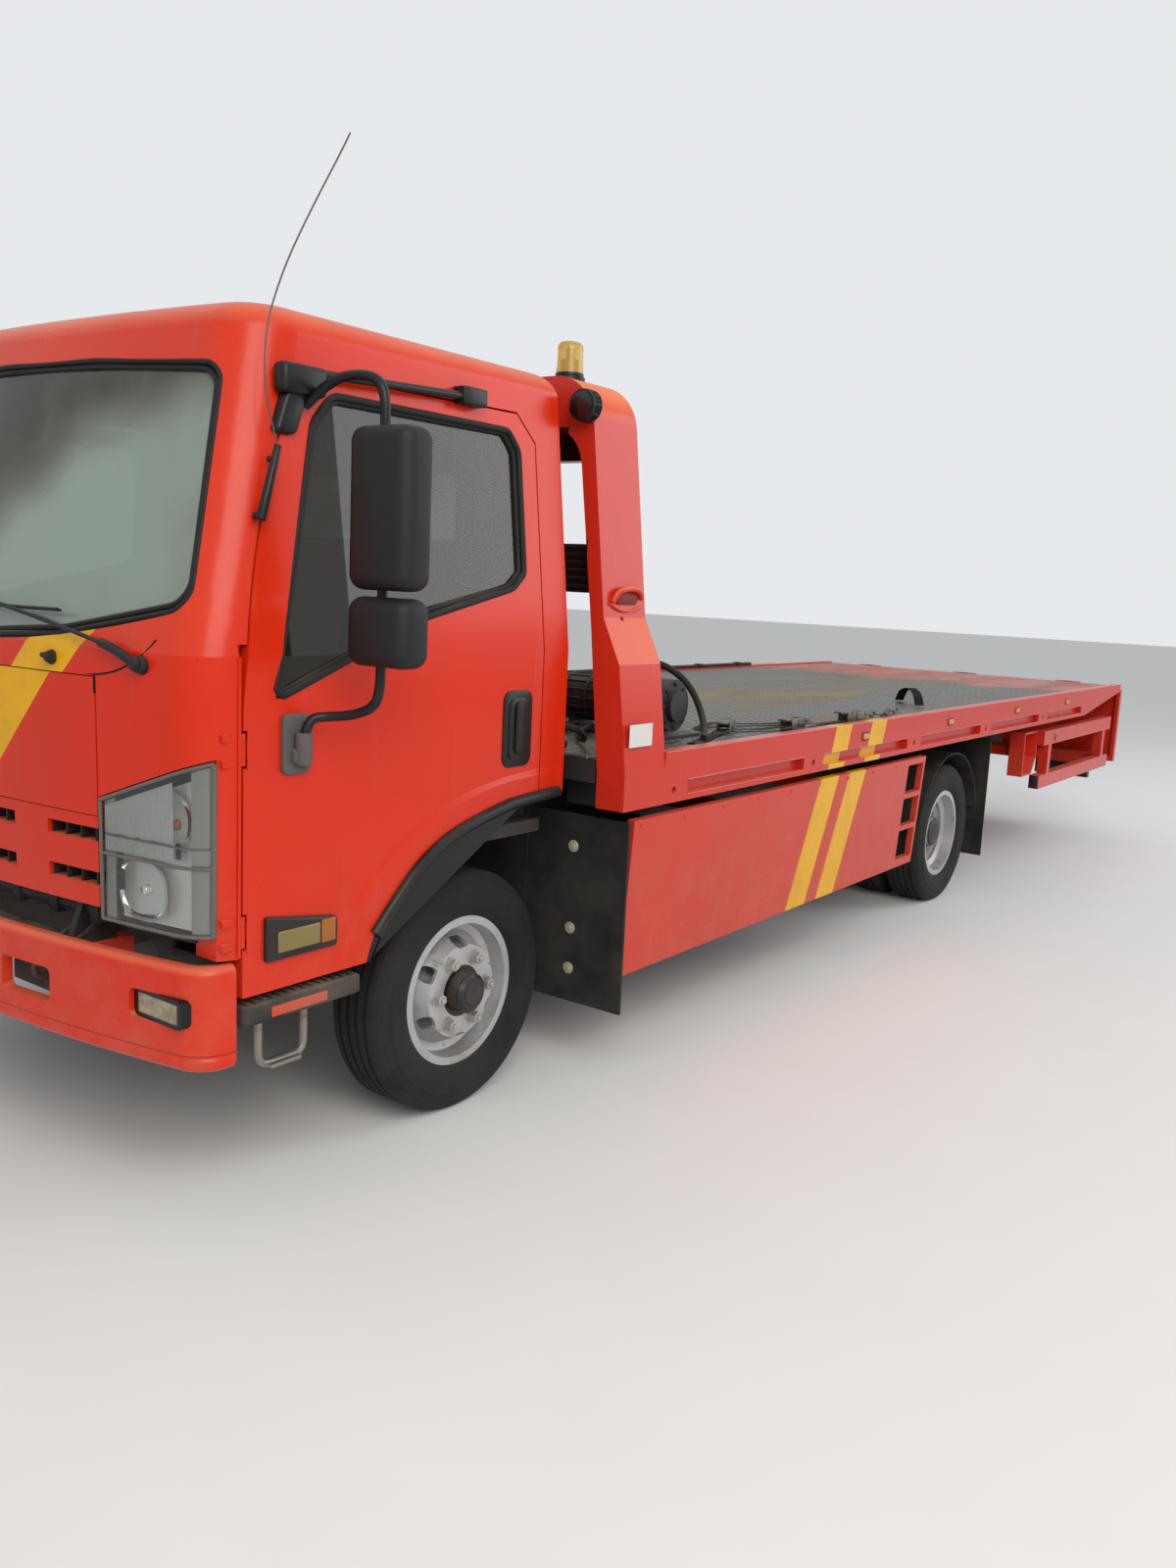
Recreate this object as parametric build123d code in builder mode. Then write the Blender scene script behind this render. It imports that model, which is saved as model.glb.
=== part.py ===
from build123d import *
import os
from math import cos, hypot, radians, sin

os.makedirs("parts", exist_ok=True)

# Slide-bed recovery truck, all sizes in millimetres.
# +X is forward, +Y the truck's left, +Z up. The origin is on the ground, midway between
# the bumper's nose and the back of the hanging tail flap.

# Running gear
WHEELBASE = 3815
FRONT_OVERHANG = 1120
REAR_OVERHANG = 3185
LENGTH = FRONT_OVERHANG + WHEELBASE + REAR_OVERHANG
FX = LENGTH / 2 - FRONT_OVERHANG
RX = FX - WHEELBASE
TAIL_X = -LENGTH / 2
AXLE_Z = 378
TYRE_R = 378
TYRE_WIDTH = 210
RIM_R = 235
RIM_WIDTH = 165
FRONT_WHEEL_Y = 845
DUAL_INNER_Y = 722
DUAL_SPACING = 240
DUAL_OUTER_Y = DUAL_INNER_Y + DUAL_SPACING
KINGPIN_Y = 700
STUB_R = 30
DUAL_STUB_R = 42

# Ladder frame
FRAME_HALF = 425
RAIL_TOP = 790
RAIL_HEIGHT = 200
RAIL_FLANGE = 60
RAIL_WALL = 8
FRAME_FRONT_X = FX + 940
FRAME_REAR_X = FX - 6725

# Cab
CAB_HALF = 1010
CAB_TOP_HALF = 925
CAB_BELT_Z = 1430
CAB_ROOF_Z = 2275
CAB_LOW_Z = 560
CAB_REAR_X = FX - 370
CAB_NOSE_X = FX + 1085
CAB_WALL = 45
SHUT_GAP = 6
CORNER_R = 135
ROOF_R = 80
FLOOR_Z = 845
FLOOR_THICK = 40
TILT_X = FX + 1000
TILT_Z = 640

# Doors
DOOR_FRONT_X = FX + 896
DOOR_REAR_X = FX - 243
DOOR_LOW_Z = 594
HINGE_X = DOOR_FRONT_X - 4
HINGE_Y = CAB_HALF - 12
HINGE_RELIEF = 18
DOOR_SWING_GAP = 10

# Load bed
DECK_HALF = 1190
DECK_RAIL_TOP = 1095
DECK_RAIL_LOW = 920
DECK_FRONT_X = FX - 460
DECK_PLATE_TOP = 1085
DECK_PLATE = 6
FLAP_THICK = 50
DECK_TAIL_X = TAIL_X + FLAP_THICK + 6
BEAM_Y = 380
PIVOT_X = FX - 6660
PIVOT_Z = 846
SUBRAIL_LOW = 800
SUBRAIL_TOP = 892
SUBRAIL_FLANGE = 90
SLIDE_SEAT = 0.3

# Side panels
SKIRT_TOP_Z = 883
SKIRT_LOW_Z = 345
SKIRT_FRONT_X = FX - 535
SKIRT_REAR_X = FX - 3105
SKIRT_LADDER = 235


# The cab's form
def cab_form(inset):
    """The cab's outer form moved in by an inset: lofted plan outlines with a rounded roof."""
    # columns: height, half width, nose x on the centre line, nose x at the side, corner radius
    levels = (
        (CAB_LOW_Z - inset, CAB_HALF, CAB_NOSE_X - 10, CAB_NOSE_X - 95, CORNER_R),
        (CAB_BELT_Z, CAB_HALF, CAB_NOSE_X, CAB_NOSE_X - 85, CORNER_R),
        (CAB_ROOF_Z - inset, CAB_TOP_HALF - 8, FX + 855, FX + 790, CORNER_R + 25),
    )
    with BuildPart() as form:
        for height, half, nose, side_nose, corner in levels:
            with BuildSketch(Plane.XY.offset(height)):
                with BuildLine():
                    rear = CAB_REAR_X + inset
                    w = half - inset
                    Polyline((side_nose - inset, -w), (rear, -w), (rear, w), (side_nose - inset, w))
                    ThreePointArc((side_nose - inset, w), (nose - inset, 0), (side_nose - inset, -w))
                face = make_face()
                front = face.vertices().group_by(Axis.X)[-1]
                back = face.vertices().group_by(Axis.X)[0]
                fillet(front, corner - inset)
                fillet(back, 60 - inset / 2)
        loft(ruled=True)
        fillet(form.faces().sort_by(Axis.Z)[-1].edges(), ROOF_R - inset / 2)
    return form.part


outer_form = cab_form(0)
inner_form = cab_form(CAB_WALL)
with BuildPart() as cab_wall:
    add(outer_form)
    add(inner_form, mode=Mode.SUBTRACT)
with BuildPart() as glass_layer:
    add(cab_form(14))
    add(cab_form(20), mode=Mode.SUBTRACT)
with BuildPart() as lamp_layer:
    add(outer_form)
    add(cab_form(120), mode=Mode.SUBTRACT)


def door_outline(grow):
    """Side view of a door, with its rear lower edge on the wheel arch."""
    with BuildSketch() as sketch:
        with BuildLine():
            Polyline(
                (FX + 650, 2116), (DOOR_REAR_X + 80, 2128), (DOOR_REAR_X, 2050),
                (DOOR_REAR_X, 975), (DOOR_REAR_X + 80, 972))
            ThreePointArc((DOOR_REAR_X + 80, 972), (FX + 195, 885), (FX + 390, 735))
            Polyline((FX + 390, 735), (FX + 470, DOOR_LOW_Z), (DOOR_FRONT_X, DOOR_LOW_Z),
                     (DOOR_FRONT_X, 1300))
            ThreePointArc((DOOR_FRONT_X, 1300), (FX + 834, 1683), (FX + 700, 2060))
            Line((FX + 700, 2060), (FX + 650, 2116))
        make_face()
        if grow:
            offset(amount=grow, kind=Kind.INTERSECTION)
    return sketch.sketch


def door_window_outline(grow):
    """Side view of the door glass: a sloping sill and a raked front edge."""
    with BuildSketch() as sketch:
        with BuildLine():
            Polyline(
                (FX + 800, 1325), (FX + 560, 1420), (FX + 260, 1530), (FX - 110, 1615),
                (FX - 165, 1660), (FX - 165, 2020), (FX - 120, 2075), (FX + 570, 2075),
                (FX + 640, 2000), (FX + 800, 1345), close=True)
        make_face()
        if grow:
            offset(amount=grow)
    return sketch.sketch


def screen_outline(grow):
    """Front view of the windscreen: its sill drops to the middle and its head is nearly level."""
    with BuildSketch() as sketch:
        with BuildLine():
            ThreePointArc((-920, 1535), (0, 1420), (920, 1535))
            Line((920, 1535), (850, 2120))
            ThreePointArc((850, 2120), (0, 2150), (-850, 2120))
            Line((-850, 2120), (-920, 1535))
        face = make_face()
        fillet(face.vertices(), 60)
        if grow:
            offset(amount=grow)
    return sketch.sketch


def lamp_outline(grow):
    """Front view of the left headlamp unit: its top edge rises outwards."""
    with BuildSketch() as sketch:
        with BuildLine():
            Polyline((648, 750), (CAB_HALF + 30, 752), (CAB_HALF + 30, 1205), (648, 1062), close=True)
        make_face()
        if grow:
            offset(amount=grow, kind=Kind.INTERSECTION)
    return sketch.sketch


PANEL_SEAM_Y = 640
PANEL_TOP_Z = 1362
GRILLE_TOP_Z = 1012
GRILLE_LOW_Z = 782
SIDE_CUT_Y = 700
SCREEN_CUT_X = FX + 760
BULKHEAD_X = FX + 940
BULKHEAD = 18
SEAT_GAP = 0.3
LAMP_REAR_X = BULKHEAD_X + BULKHEAD + SEAT_GAP

# Cab shell: pillars, roof, rear wall and corner panels
with BuildPart() as cab_shell:
    add(cab_wall.part)
    with BuildSketch(Plane.XZ):
        add(door_outline(SHUT_GAP))
    extrude(amount=CAB_HALF + 60, both=True, mode=Mode.SUBTRACT)
    with BuildSketch(Plane.YZ.offset(SCREEN_CUT_X)):
        add(screen_outline(0))
    extrude(amount=600, mode=Mode.SUBTRACT)
    with BuildSketch(Plane.YZ.offset(FX + 800)):
        with Locations((0, (PANEL_TOP_Z + CAB_LOW_Z) / 2 - 40)):
            Rectangle(2 * (PANEL_SEAM_Y + SHUT_GAP), PANEL_TOP_Z - CAB_LOW_Z + 80)
    extrude(amount=500, mode=Mode.SUBTRACT)
    with BuildSketch(Plane.YZ.offset(LAMP_REAR_X - 3)):
        add(lamp_outline(3))
        mirror(lamp_outline(3), about=Plane.YZ)
    extrude(amount=400, mode=Mode.SUBTRACT)
    # the strip under each lamp is open down to the bumper
    with BuildSketch(Plane.YZ.offset(LAMP_REAR_X - 3)):
        with Locations((0, 650)):
            Rectangle(2 * CAB_HALF + 100, 220)
    extrude(amount=400, mode=Mode.SUBTRACT)
    # lower edge of the side walls and the rear wall
    with BuildSketch(Plane.XZ):
        with BuildLine():
            Polyline(
                (CAB_REAR_X - 100, 400), (CAB_REAR_X - 100, 960), (DOOR_REAR_X + 60, 966),
                (FX + 480, DOOR_LOW_Z), (DOOR_FRONT_X, DOOR_LOW_Z), (DOOR_FRONT_X, 696),
                (FX + 1300, 696), (FX + 1300, 400), close=True)
        make_face()
    extrude(amount=CAB_HALF + 60, both=True, mode=Mode.SUBTRACT)
    # rear window
    with BuildSketch(Plane.YZ.offset(CAB_REAR_X - 50)):
        with Locations((0, 1790)):
            RectangleRounded(1100, 400, 60)
    extrude(amount=200, mode=Mode.SUBTRACT)
    for side in (-1, 1):
        # relief round the door hinges
        with Locations((HINGE_X, side * HINGE_Y, (CAB_LOW_Z + CAB_BELT_Z + 30) / 2)):
            Cylinder(HINGE_RELIEF, CAB_BELT_Z + 30 - CAB_LOW_Z, mode=Mode.SUBTRACT)
        for z in (760, 1210):
            for dz in (-30, 30):
                with Locations((HINGE_X, side * HINGE_Y, z + dz)):
                    Cylinder(10, 18)
                with Locations((HINGE_X + 30, side * HINGE_Y, z + dz)):
                    Box(60, 14, 18)
            with Locations((HINGE_X, side * HINGE_Y, z)):
                Cylinder(4, 60)
cab_shell.part.label = "cab_shell"
export_step(cab_shell.part, "parts/cab_shell.step")

# Cab floor: floor pan, engine cover and bulkhead inside the shell, sills and tilt arms below it
with BuildPart() as cab_floor:
    with BuildSketch(Plane.XY.offset(FLOOR_Z)):
        with Locations(((CAB_REAR_X + BULKHEAD_X) / 2, 0)):
            Rectangle(BULKHEAD_X - CAB_REAR_X, 2 * (CAB_HALF - CAB_WALL - DOOR_SWING_GAP))
    extrude(amount=FLOOR_THICK)
    with Locations((FX - 60, 0, FLOOR_Z + 140)):
        Box(530, 1780, 280)
    with Locations((BULKHEAD_X + BULKHEAD / 2, 0, (FLOOR_Z + 1400) / 2)):
        Box(BULKHEAD, 2 * CAB_HALF, 1400 - FLOOR_Z)
    # stays to the back of the lid and the grille
    with BuildSketch(Plane.YZ.offset(BULKHEAD_X)):
        with Locations(*[(side * 590, z) for side in (-1, 1) for z in (905, 1060, 1310)]):
            Rectangle(40, 26)
    extrude(amount=200)
    add(cab_form(CAB_WALL + SEAT_GAP), mode=Mode.INTERSECT)
    for side in (-1, 1):
        with Locations((FX + 690, side * (CAB_HALF - 130), (FLOOR_Z + DOOR_LOW_Z) / 2 + 30)):
            Box(380, 20, FLOOR_Z - DOOR_LOW_Z - 20)
        # hinge arms down to the tilt pivot
        with BuildSketch(Plane.XZ.offset(side * 470 - 12)):
            with BuildLine():
                Polyline((FX + 890, FLOOR_Z + 5), (FX + 956, FLOOR_Z + 5), (TILT_X + 28, TILT_Z + 12),
                         (TILT_X - 30, TILT_Z), close=True)
            make_face()
            with Locations((TILT_X, TILT_Z)):
                Circle(32)
                Circle(20.05, mode=Mode.SUBTRACT)
        extrude(amount=24)
cab_floor.part.label = "cab_floor"
export_step(cab_floor.part, "parts/cab_floor.step")

# Front lid between the corner panels
with BuildPart() as front_panel:
    add(cab_wall.part)
    with BuildSketch(Plane.YZ.offset(FX + 800)):
        with Locations((0, (PANEL_TOP_Z + GRILLE_TOP_Z) / 2)):
            Rectangle(2 * PANEL_SEAM_Y, PANEL_TOP_Z - GRILLE_TOP_Z - SHUT_GAP)
    extrude(amount=500, mode=Mode.INTERSECT)
front_panel.part.label = "front_panel"
export_step(front_panel.part, "parts/front_panel.step")

# Grille: two rows of slots between body-coloured bars
SLOT_ROWS = (965, 853)
SLOT_COLUMNS = (-560, -190, 190, 560)
with BuildPart() as grille:
    add(cab_wall.part)
    with BuildSketch(Plane.YZ.offset(FX + 800)):
        with Locations((0, (GRILLE_TOP_Z + GRILLE_LOW_Z) / 2)):
            Rectangle(2 * PANEL_SEAM_Y, GRILLE_TOP_Z - GRILLE_LOW_Z)
    extrude(amount=500, mode=Mode.INTERSECT)
    with BuildSketch(Plane.YZ.offset(FX + 800)):
        with Locations(*[(y, z) for y in SLOT_COLUMNS for z in SLOT_ROWS]):
            Rectangle(230, 36)
    extrude(amount=500, mode=Mode.SUBTRACT)
grille.part.label = "grille"
export_step(grille.part, "parts/grille.step")

# Windscreen and rear window
with BuildPart() as cab_glass:
    add(glass_layer.part)
    with BuildSketch(Plane.YZ.offset(SCREEN_CUT_X)):
        add(screen_outline(0))
    extrude(amount=600, mode=Mode.INTERSECT)
with BuildPart() as rear_window:
    with BuildSketch(Plane.YZ.offset(CAB_REAR_X + 14)):
        with Locations((0, 1790)):
            RectangleRounded(1100, 400, 60)
    extrude(amount=6)
with BuildPart() as cab_windows:
    add(cab_glass.part)
    add(rear_window.part)
cab_windows.part.label = "cab_windows"
export_step(cab_windows.part, "parts/cab_windows.step")

# Headlamp units, wrapping round the front corners
with BuildPart() as headlamps:
    add(lamp_layer.part)
    with BuildSketch(Plane.YZ.offset(LAMP_REAR_X)):
        add(lamp_outline(0))
        mirror(lamp_outline(0), about=Plane.YZ)
    extrude(amount=400, mode=Mode.INTERSECT)
headlamps.part.label = "headlamps"
export_step(headlamps.part, "parts/headlamps.step")

# Doors with their glass and mirrors
with BuildPart() as door_left:
    add(cab_wall.part)
    with BuildSketch(Plane.XZ.offset(-SIDE_CUT_Y)):
        add(door_outline(0))
    extrude(amount=-400, mode=Mode.INTERSECT)
    with BuildSketch(Plane.XZ.offset(-SIDE_CUT_Y)):
        add(door_window_outline(0))
    extrude(amount=-400, mode=Mode.SUBTRACT)
    # two hinge knuckles at the front edge, let into the door
    for z in (760, 1210):
        with Locations((HINGE_X, HINGE_Y, z)):
            Cylinder(HINGE_RELIEF, 92, mode=Mode.SUBTRACT)
        with Locations((HINGE_X, HINGE_Y, z)):
            Cylinder(10, 41.4)
        with Locations((HINGE_X - 30, HINGE_Y, z)):
            Box(60, 14, 41.4)
        with Locations((HINGE_X, HINGE_Y, z)):
            Cylinder(4.05, 60, mode=Mode.SUBTRACT)
door_left.part.label = "door_left"
export_step(door_left.part, "parts/door_left.step")

with BuildPart() as door_right:
    mirror(door_left.part, about=Plane.XZ)
door_right.part.label = "door_right"
export_step(door_right.part, "parts/door_right.step")

with BuildPart() as door_glass_left:
    add(glass_layer.part)
    with BuildSketch(Plane.XZ.offset(-SIDE_CUT_Y)):
        add(door_window_outline(0))
    extrude(amount=-400, mode=Mode.INTERSECT)
door_glass_left.part.label = "door_glass_left"
export_step(door_glass_left.part, "parts/door_glass_left.step")

with BuildPart() as door_glass_right:
    mirror(door_glass_left.part, about=Plane.XZ)
door_glass_right.part.label = "door_glass_right"
export_step(door_glass_right.part, "parts/door_glass_right.step")

# Mirrors: two housings on one bent tube between two door brackets
MIRROR_X = FX + 640
MIRROR_Y = 1200
MIRROR_TUBE_R = 12
# columns: centre height, width, height, depth
MIRROR_HOUSINGS = ((1790, 205, 385, 80), (1500, 205, 170, 80))
with BuildPart() as mirrors_left:
    with BuildLine() as tube_path:
        FilletPolyline(
            (FX + 660, 1000, 2010), (MIRROR_X, 1060, 2085), (MIRROR_X, MIRROR_Y, 2060),
            (MIRROR_X, MIRROR_Y, 1335), (MIRROR_X + 20, 1120, 1290), (FX + 740, 1025, 1230),
            radius=32)
    with BuildSketch(Plane(origin=tube_path.line @ 0, z_dir=tube_path.line % 0)):
        Circle(MIRROR_TUBE_R)
    sweep()
    for z, width, height, depth in MIRROR_HOUSINGS:
        with BuildSketch(Plane.YZ.offset(MIRROR_X - depth / 2)):
            with Locations((MIRROR_Y + 35, z)):
                RectangleRounded(width, height, 34)
        extrude(amount=depth)
    # door brackets
    with BuildSketch(Plane.XZ.offset(-CAB_HALF + 0)):
        with Locations((FX + 740, 1212)):
            RectangleRounded(92, 150, 16)
    extrude(amount=-40)
    with Locations((FX + 660, 970, 2006)):
        Box(60, 110, 70)
    add(outer_form, mode=Mode.SUBTRACT)
mirrors_left.part.label = "mirrors_left"
export_step(mirrors_left.part, "parts/mirrors_left.step")

with BuildPart() as mirrors_right:
    mirror(mirrors_left.part, about=Plane.XZ)
mirrors_right.part.label = "mirrors_right"
export_step(mirrors_right.part, "parts/mirrors_right.step")

# Seats on the engine cover
SEAT_BASE_Z = FLOOR_Z + 280
with BuildPart() as seats:
    # columns: side offset, width
    for y, width in ((560, 500), (-100, 380), (-600, 480)):
        with BuildSketch(Plane.XZ.offset(-y - width / 2)):
            with BuildLine():
                Polyline(
                    (FX + 240, SEAT_BASE_Z + 0.3), (FX + 250, SEAT_BASE_Z + 150),
                    (FX - 150, SEAT_BASE_Z + 120), (FX - 250, SEAT_BASE_Z + 640),
                    (FX - 315, SEAT_BASE_Z + 640), (FX - 300, SEAT_BASE_Z + 0.3), close=True)
            make_face()
        extrude(amount=width)
seats.part.label = "seats"
export_step(seats.part, "parts/seats.step")

# Dashboard on the bulkhead, with the binnacle on the driver's side
DASH_HALF = 930
with BuildPart() as dashboard:
    with BuildSketch(Plane.XZ.offset(-DASH_HALF)):
        with BuildLine():
            Polyline(
                (BULKHEAD_X - 0.3, 1050), (BULKHEAD_X - 0.3, 1385), (FX + 790, 1400), (FX + 720, 1330),
                (FX + 760, 1050), close=True)
        make_face()
    extrude(amount=2 * DASH_HALF)
    with Locations((FX + 760, 470, 1390)):
        Box(180, 420, 90)
    add(inner_form, mode=Mode.INTERSECT)
dashboard.part.label = "dashboard"
export_step(dashboard.part, "parts/dashboard.step")

# Steering wheel and column
WHEEL_TILT = 62
with BuildPart() as steering_wheel:
    column_top = Plane(origin=(FX + 560, 480, 1440), z_dir=(-cos(radians(WHEEL_TILT)), 0, sin(radians(WHEEL_TILT))))
    with BuildSketch(Plane(origin=column_top.origin, x_dir=column_top.z_dir, z_dir=column_top.x_dir)):
        with Locations((0, 200)):
            Circle(15)
    revolve(axis=Axis(column_top.origin, column_top.z_dir))
    with BuildSketch(column_top.offset(-25)):
        Circle(60)
    extrude(amount=40)
    with BuildSketch(column_top.offset(-8)):
        with PolarLocations(0, 3):
            with Locations((100, 0)):
                Rectangle(200, 34)
    extrude(amount=12)
    with BuildSketch(column_top.offset(-25)):
        Circle(32)
    extrude(amount=-420)
    add(dashboard.part, mode=Mode.SUBTRACT)
steering_wheel.part.label = "steering_wheel"
export_step(steering_wheel.part, "parts/steering_wheel.step")

# Whip antenna on the left front pillar
ANTENNA_FOOT = (FX + 838, 1000, 1760)
ANTENNA_TIP = (FX + 560, 985, 2690)
with BuildPart() as antenna:
    mast = Vector(*ANTENNA_TIP) - Vector(*ANTENNA_FOOT)
    with BuildSketch(Plane(origin=ANTENNA_FOOT, z_dir=mast)):
        Circle(3)
    extrude(amount=mast.length)
    with BuildSketch(Plane(origin=ANTENNA_FOOT, z_dir=mast)):
        Circle(10)
    extrude(amount=200)
    with Locations((ANTENNA_FOOT[0], ANTENNA_FOOT[1] - 12, ANTENNA_FOOT[2] + 20)):
        Box(16, 40, 40)
    add(outer_form, mode=Mode.SUBTRACT)
antenna.part.label = "antenna"
export_step(antenna.part, "parts/antenna.step")


# Ladder frame: two channels, and the tubes and brackets that they carry
def rail_profile(side):
    """Channel section of a frame rail, open towards the middle."""
    outer = side * FRAME_HALF
    with BuildSketch() as sketch:
        with Locations((outer - side * RAIL_FLANGE / 2, RAIL_TOP - RAIL_HEIGHT / 2)):
            Rectangle(RAIL_FLANGE, RAIL_HEIGHT)
        with Locations((outer - side * (RAIL_WALL + RAIL_FLANGE) / 2 - side * 1, RAIL_TOP - RAIL_HEIGHT / 2)):
            Rectangle(RAIL_FLANGE - RAIL_WALL + 2, RAIL_HEIGHT - 2 * RAIL_WALL, mode=Mode.SUBTRACT)
    return sketch.sketch


CROSS_TUBE_R = 45
CROSS_TUBE_Z = RAIL_TOP - 55
CROSS_TUBES = (FX + 895, FX - 950, FX - 1500, FX - 2600, FX - 3350, FX - 5600)
OUTRIGGERS = (SKIRT_FRONT_X - 90, (SKIRT_FRONT_X + SKIRT_REAR_X) / 2, SKIRT_REAR_X + SKIRT_LADDER + 60)
PIVOT_PIN_R = 20
TILT_BASE = (FX - 5000, 620)
TILT_EYE = (FX - 3900, 800)
TILT_BASE_R = 30
TILT_CYL_Y = 250
FIT = 0.05
END_PLATE = 12
WEB_IN = FRAME_HALF - RAIL_WALL - SEAT_GAP
with BuildPart() as frame_rails:
    for side in (-1, 1):
        with BuildSketch(Plane.YZ.offset(FRAME_REAR_X + END_PLATE + SEAT_GAP)):
            add(rail_profile(side))
        extrude(amount=FRAME_FRONT_X - FRAME_REAR_X - END_PLATE - SEAT_GAP)
frame_rails.part.label = "frame_rails"
export_step(frame_rails.part, "parts/frame_rails.step")

with BuildPart() as frame_brackets:
    for x in CROSS_TUBES:
        with BuildSketch(Plane.XZ.offset(-WEB_IN)):
            with Locations((x, CROSS_TUBE_Z)):
                Circle(CROSS_TUBE_R)
        extrude(amount=2 * WEB_IN)
    # tube that carries the tilt cylinders' base eyes, coped round the rails' lower flanges
    with BuildSketch(Plane.XZ.offset(-WEB_IN)):
        with Locations(TILT_BASE):
            Circle(TILT_BASE_R)
    extrude(amount=2 * WEB_IN)
    for side in (-1, 1):
        with Locations((TILT_BASE[0], side * (FRAME_HALF - RAIL_FLANGE / 2), RAIL_TOP - RAIL_HEIGHT)):
            Box(4 * TILT_BASE_R, RAIL_FLANGE + 2 * SEAT_GAP, 2 * (RAIL_WALL + SEAT_GAP), mode=Mode.SUBTRACT)
    # rear end plate
    with Locations((FRAME_REAR_X + END_PLATE / 2, 0, RAIL_TOP - RAIL_HEIGHT / 2)):
        Box(END_PLATE, 2 * FRAME_HALF, RAIL_HEIGHT)
    for side in (-1, 1):
        # lugs either side of the bed's tilt rails, with the pivot pin through them
        for y in (FRAME_HALF + 14, FRAME_HALF - 113):
            with BuildSketch(Plane.XZ.offset(-side * y - 6)):
                with BuildLine():
                    Polyline((PIVOT_X - 60, RAIL_TOP - 90), (PIVOT_X + 90, RAIL_TOP - 90),
                             (PIVOT_X + 38, PIVOT_Z), (PIVOT_X - 38, PIVOT_Z), close=True)
                make_face()
                with Locations((PIVOT_X, PIVOT_Z)):
                    Circle(40)
            extrude(amount=12)
        with Locations((PIVOT_X + 15, side * (FRAME_HALF - 113 + WEB_IN) / 2, RAIL_TOP - 60)):
            Box(150, WEB_IN - FRAME_HALF + 113, 12)
        with Locations((PIVOT_X + 15, side * (FRAME_HALF + SEAT_GAP + 5), RAIL_TOP - 60)):
            Box(150, 10, 60)
        with BuildSketch(Plane.XZ.offset(-side * (FRAME_HALF - 47) - 82)):
            with Locations((PIVOT_X, PIVOT_Z)):
                Circle(PIVOT_PIN_R)
        extrude(amount=164)
        # cab tilt brackets, with the pivot tube across them
        for y in (FRAME_HALF + 6 + SEAT_GAP, 500):
            with BuildSketch(Plane.XZ.offset(-side * y - 6)):
                with BuildLine():
                    Polyline((FRAME_FRONT_X - 60, RAIL_TOP - 20), (FRAME_FRONT_X - 60, RAIL_TOP - 190),
                             (TILT_X + 5, TILT_Z - 35), (TILT_X + 5, TILT_Z + 35), close=True)
                make_face()
                with Locations((TILT_X, TILT_Z)):
                    Circle(36)
            extrude(amount=12)
        with Locations((FRAME_FRONT_X - 40, side * (FRAME_HALF + 42), RAIL_TOP - 100)):
            Box(12, 76, 140)
    with BuildSketch(Plane.XZ.offset(-506)):
        with Locations((TILT_X, TILT_Z)):
            Circle(20)
    extrude(amount=1012)
frame_brackets.part.label = "frame_brackets"
export_step(frame_brackets.part, "parts/frame_brackets.step")

# Engine and gearbox as one plain block between the rails, and the radiator ahead of them
with BuildPart() as engine:
    with Locations((FX + 130, 0, 600)):
        Box(1000, 560, 400)
    with Locations((FX - 600, 0, 640)):
        Box(480, 340, 260)
    fillet(engine.edges().filter_by(Axis.X), 40)
    # mounts on the rails' webs
    for side in (-1, 1):
        with Locations((FX + 300, side * (280 + FRAME_HALF - RAIL_WALL) / 2, 670)):
            Box(80, FRAME_HALF - RAIL_WALL - 280, 60)
    with Locations((CROSS_TUBES[0] - CROSS_TUBE_R - SEAT_GAP - 45, 0, 640)):
        Box(90, 680, 380)
engine.part.label = "engine"
export_step(engine.part, "parts/engine.step")

# Axles: the front beam with its kingpin eyes, and the driven rear axle
with BuildPart() as axles:
    with BuildSketch(Plane.YZ.offset(FX - 35)):
        with BuildLine():
            Polyline(
                (30 - KINGPIN_Y, AXLE_Z + 45), (60 - KINGPIN_Y, AXLE_Z + 45), (-480, AXLE_Z - 40),
                (480, AXLE_Z - 40), (KINGPIN_Y - 60, AXLE_Z + 45), (KINGPIN_Y - 30, AXLE_Z + 45),
                (KINGPIN_Y - 30, AXLE_Z - 45), (KINGPIN_Y - 60, AXLE_Z - 45), (480, AXLE_Z - 120),
                (-480, AXLE_Z - 120), (60 - KINGPIN_Y, AXLE_Z - 45), (30 - KINGPIN_Y, AXLE_Z - 45),
                close=True)
        make_face()
    extrude(amount=70)
    for side in (-1, 1):
        with Locations((FX, side * KINGPIN_Y, AXLE_Z)):
            Cylinder(38, 90)
            Cylinder(20.05, 90, mode=Mode.SUBTRACT)
    # rear axle: tube, differential and stub ends
    for y, radius, width in ((600, 65, 1200), (20, 170, 150), (980, DUAL_STUB_R, 1960)):
        with BuildSketch(Plane.XZ.offset(-y)):
            with Locations((RX, AXLE_Z)):
                Circle(radius)
        extrude(amount=width)
    with Locations((RX + 160, -30, AXLE_Z + 15)):
        Box(240, 130, 130)
axles.part.label = "axles"
export_step(axles.part, "parts/axles.step")


# Leaf springs, each pack an arc between two frame hangers
def leaf_pack(axle_x, y, half_span, seat_z, eye_z, thick):
    """Side view of a spring pack extruded to its width, with the hangers at its eyes."""
    with BuildSketch(Plane.XZ.offset(-y - 35)) as sketch:
        with BuildLine():
            ThreePointArc((axle_x - half_span, eye_z), (axle_x, seat_z + 20), (axle_x + half_span, eye_z))
            Line((axle_x + half_span, eye_z), (axle_x + half_span, eye_z - 14))
            ThreePointArc((axle_x + half_span, eye_z - 14), (axle_x, seat_z + 20 - thick),
                          (axle_x - half_span, eye_z - 14))
            Line((axle_x - half_span, eye_z - 14), (axle_x - half_span, eye_z))
        make_face()
    return sketch.sketch


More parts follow.
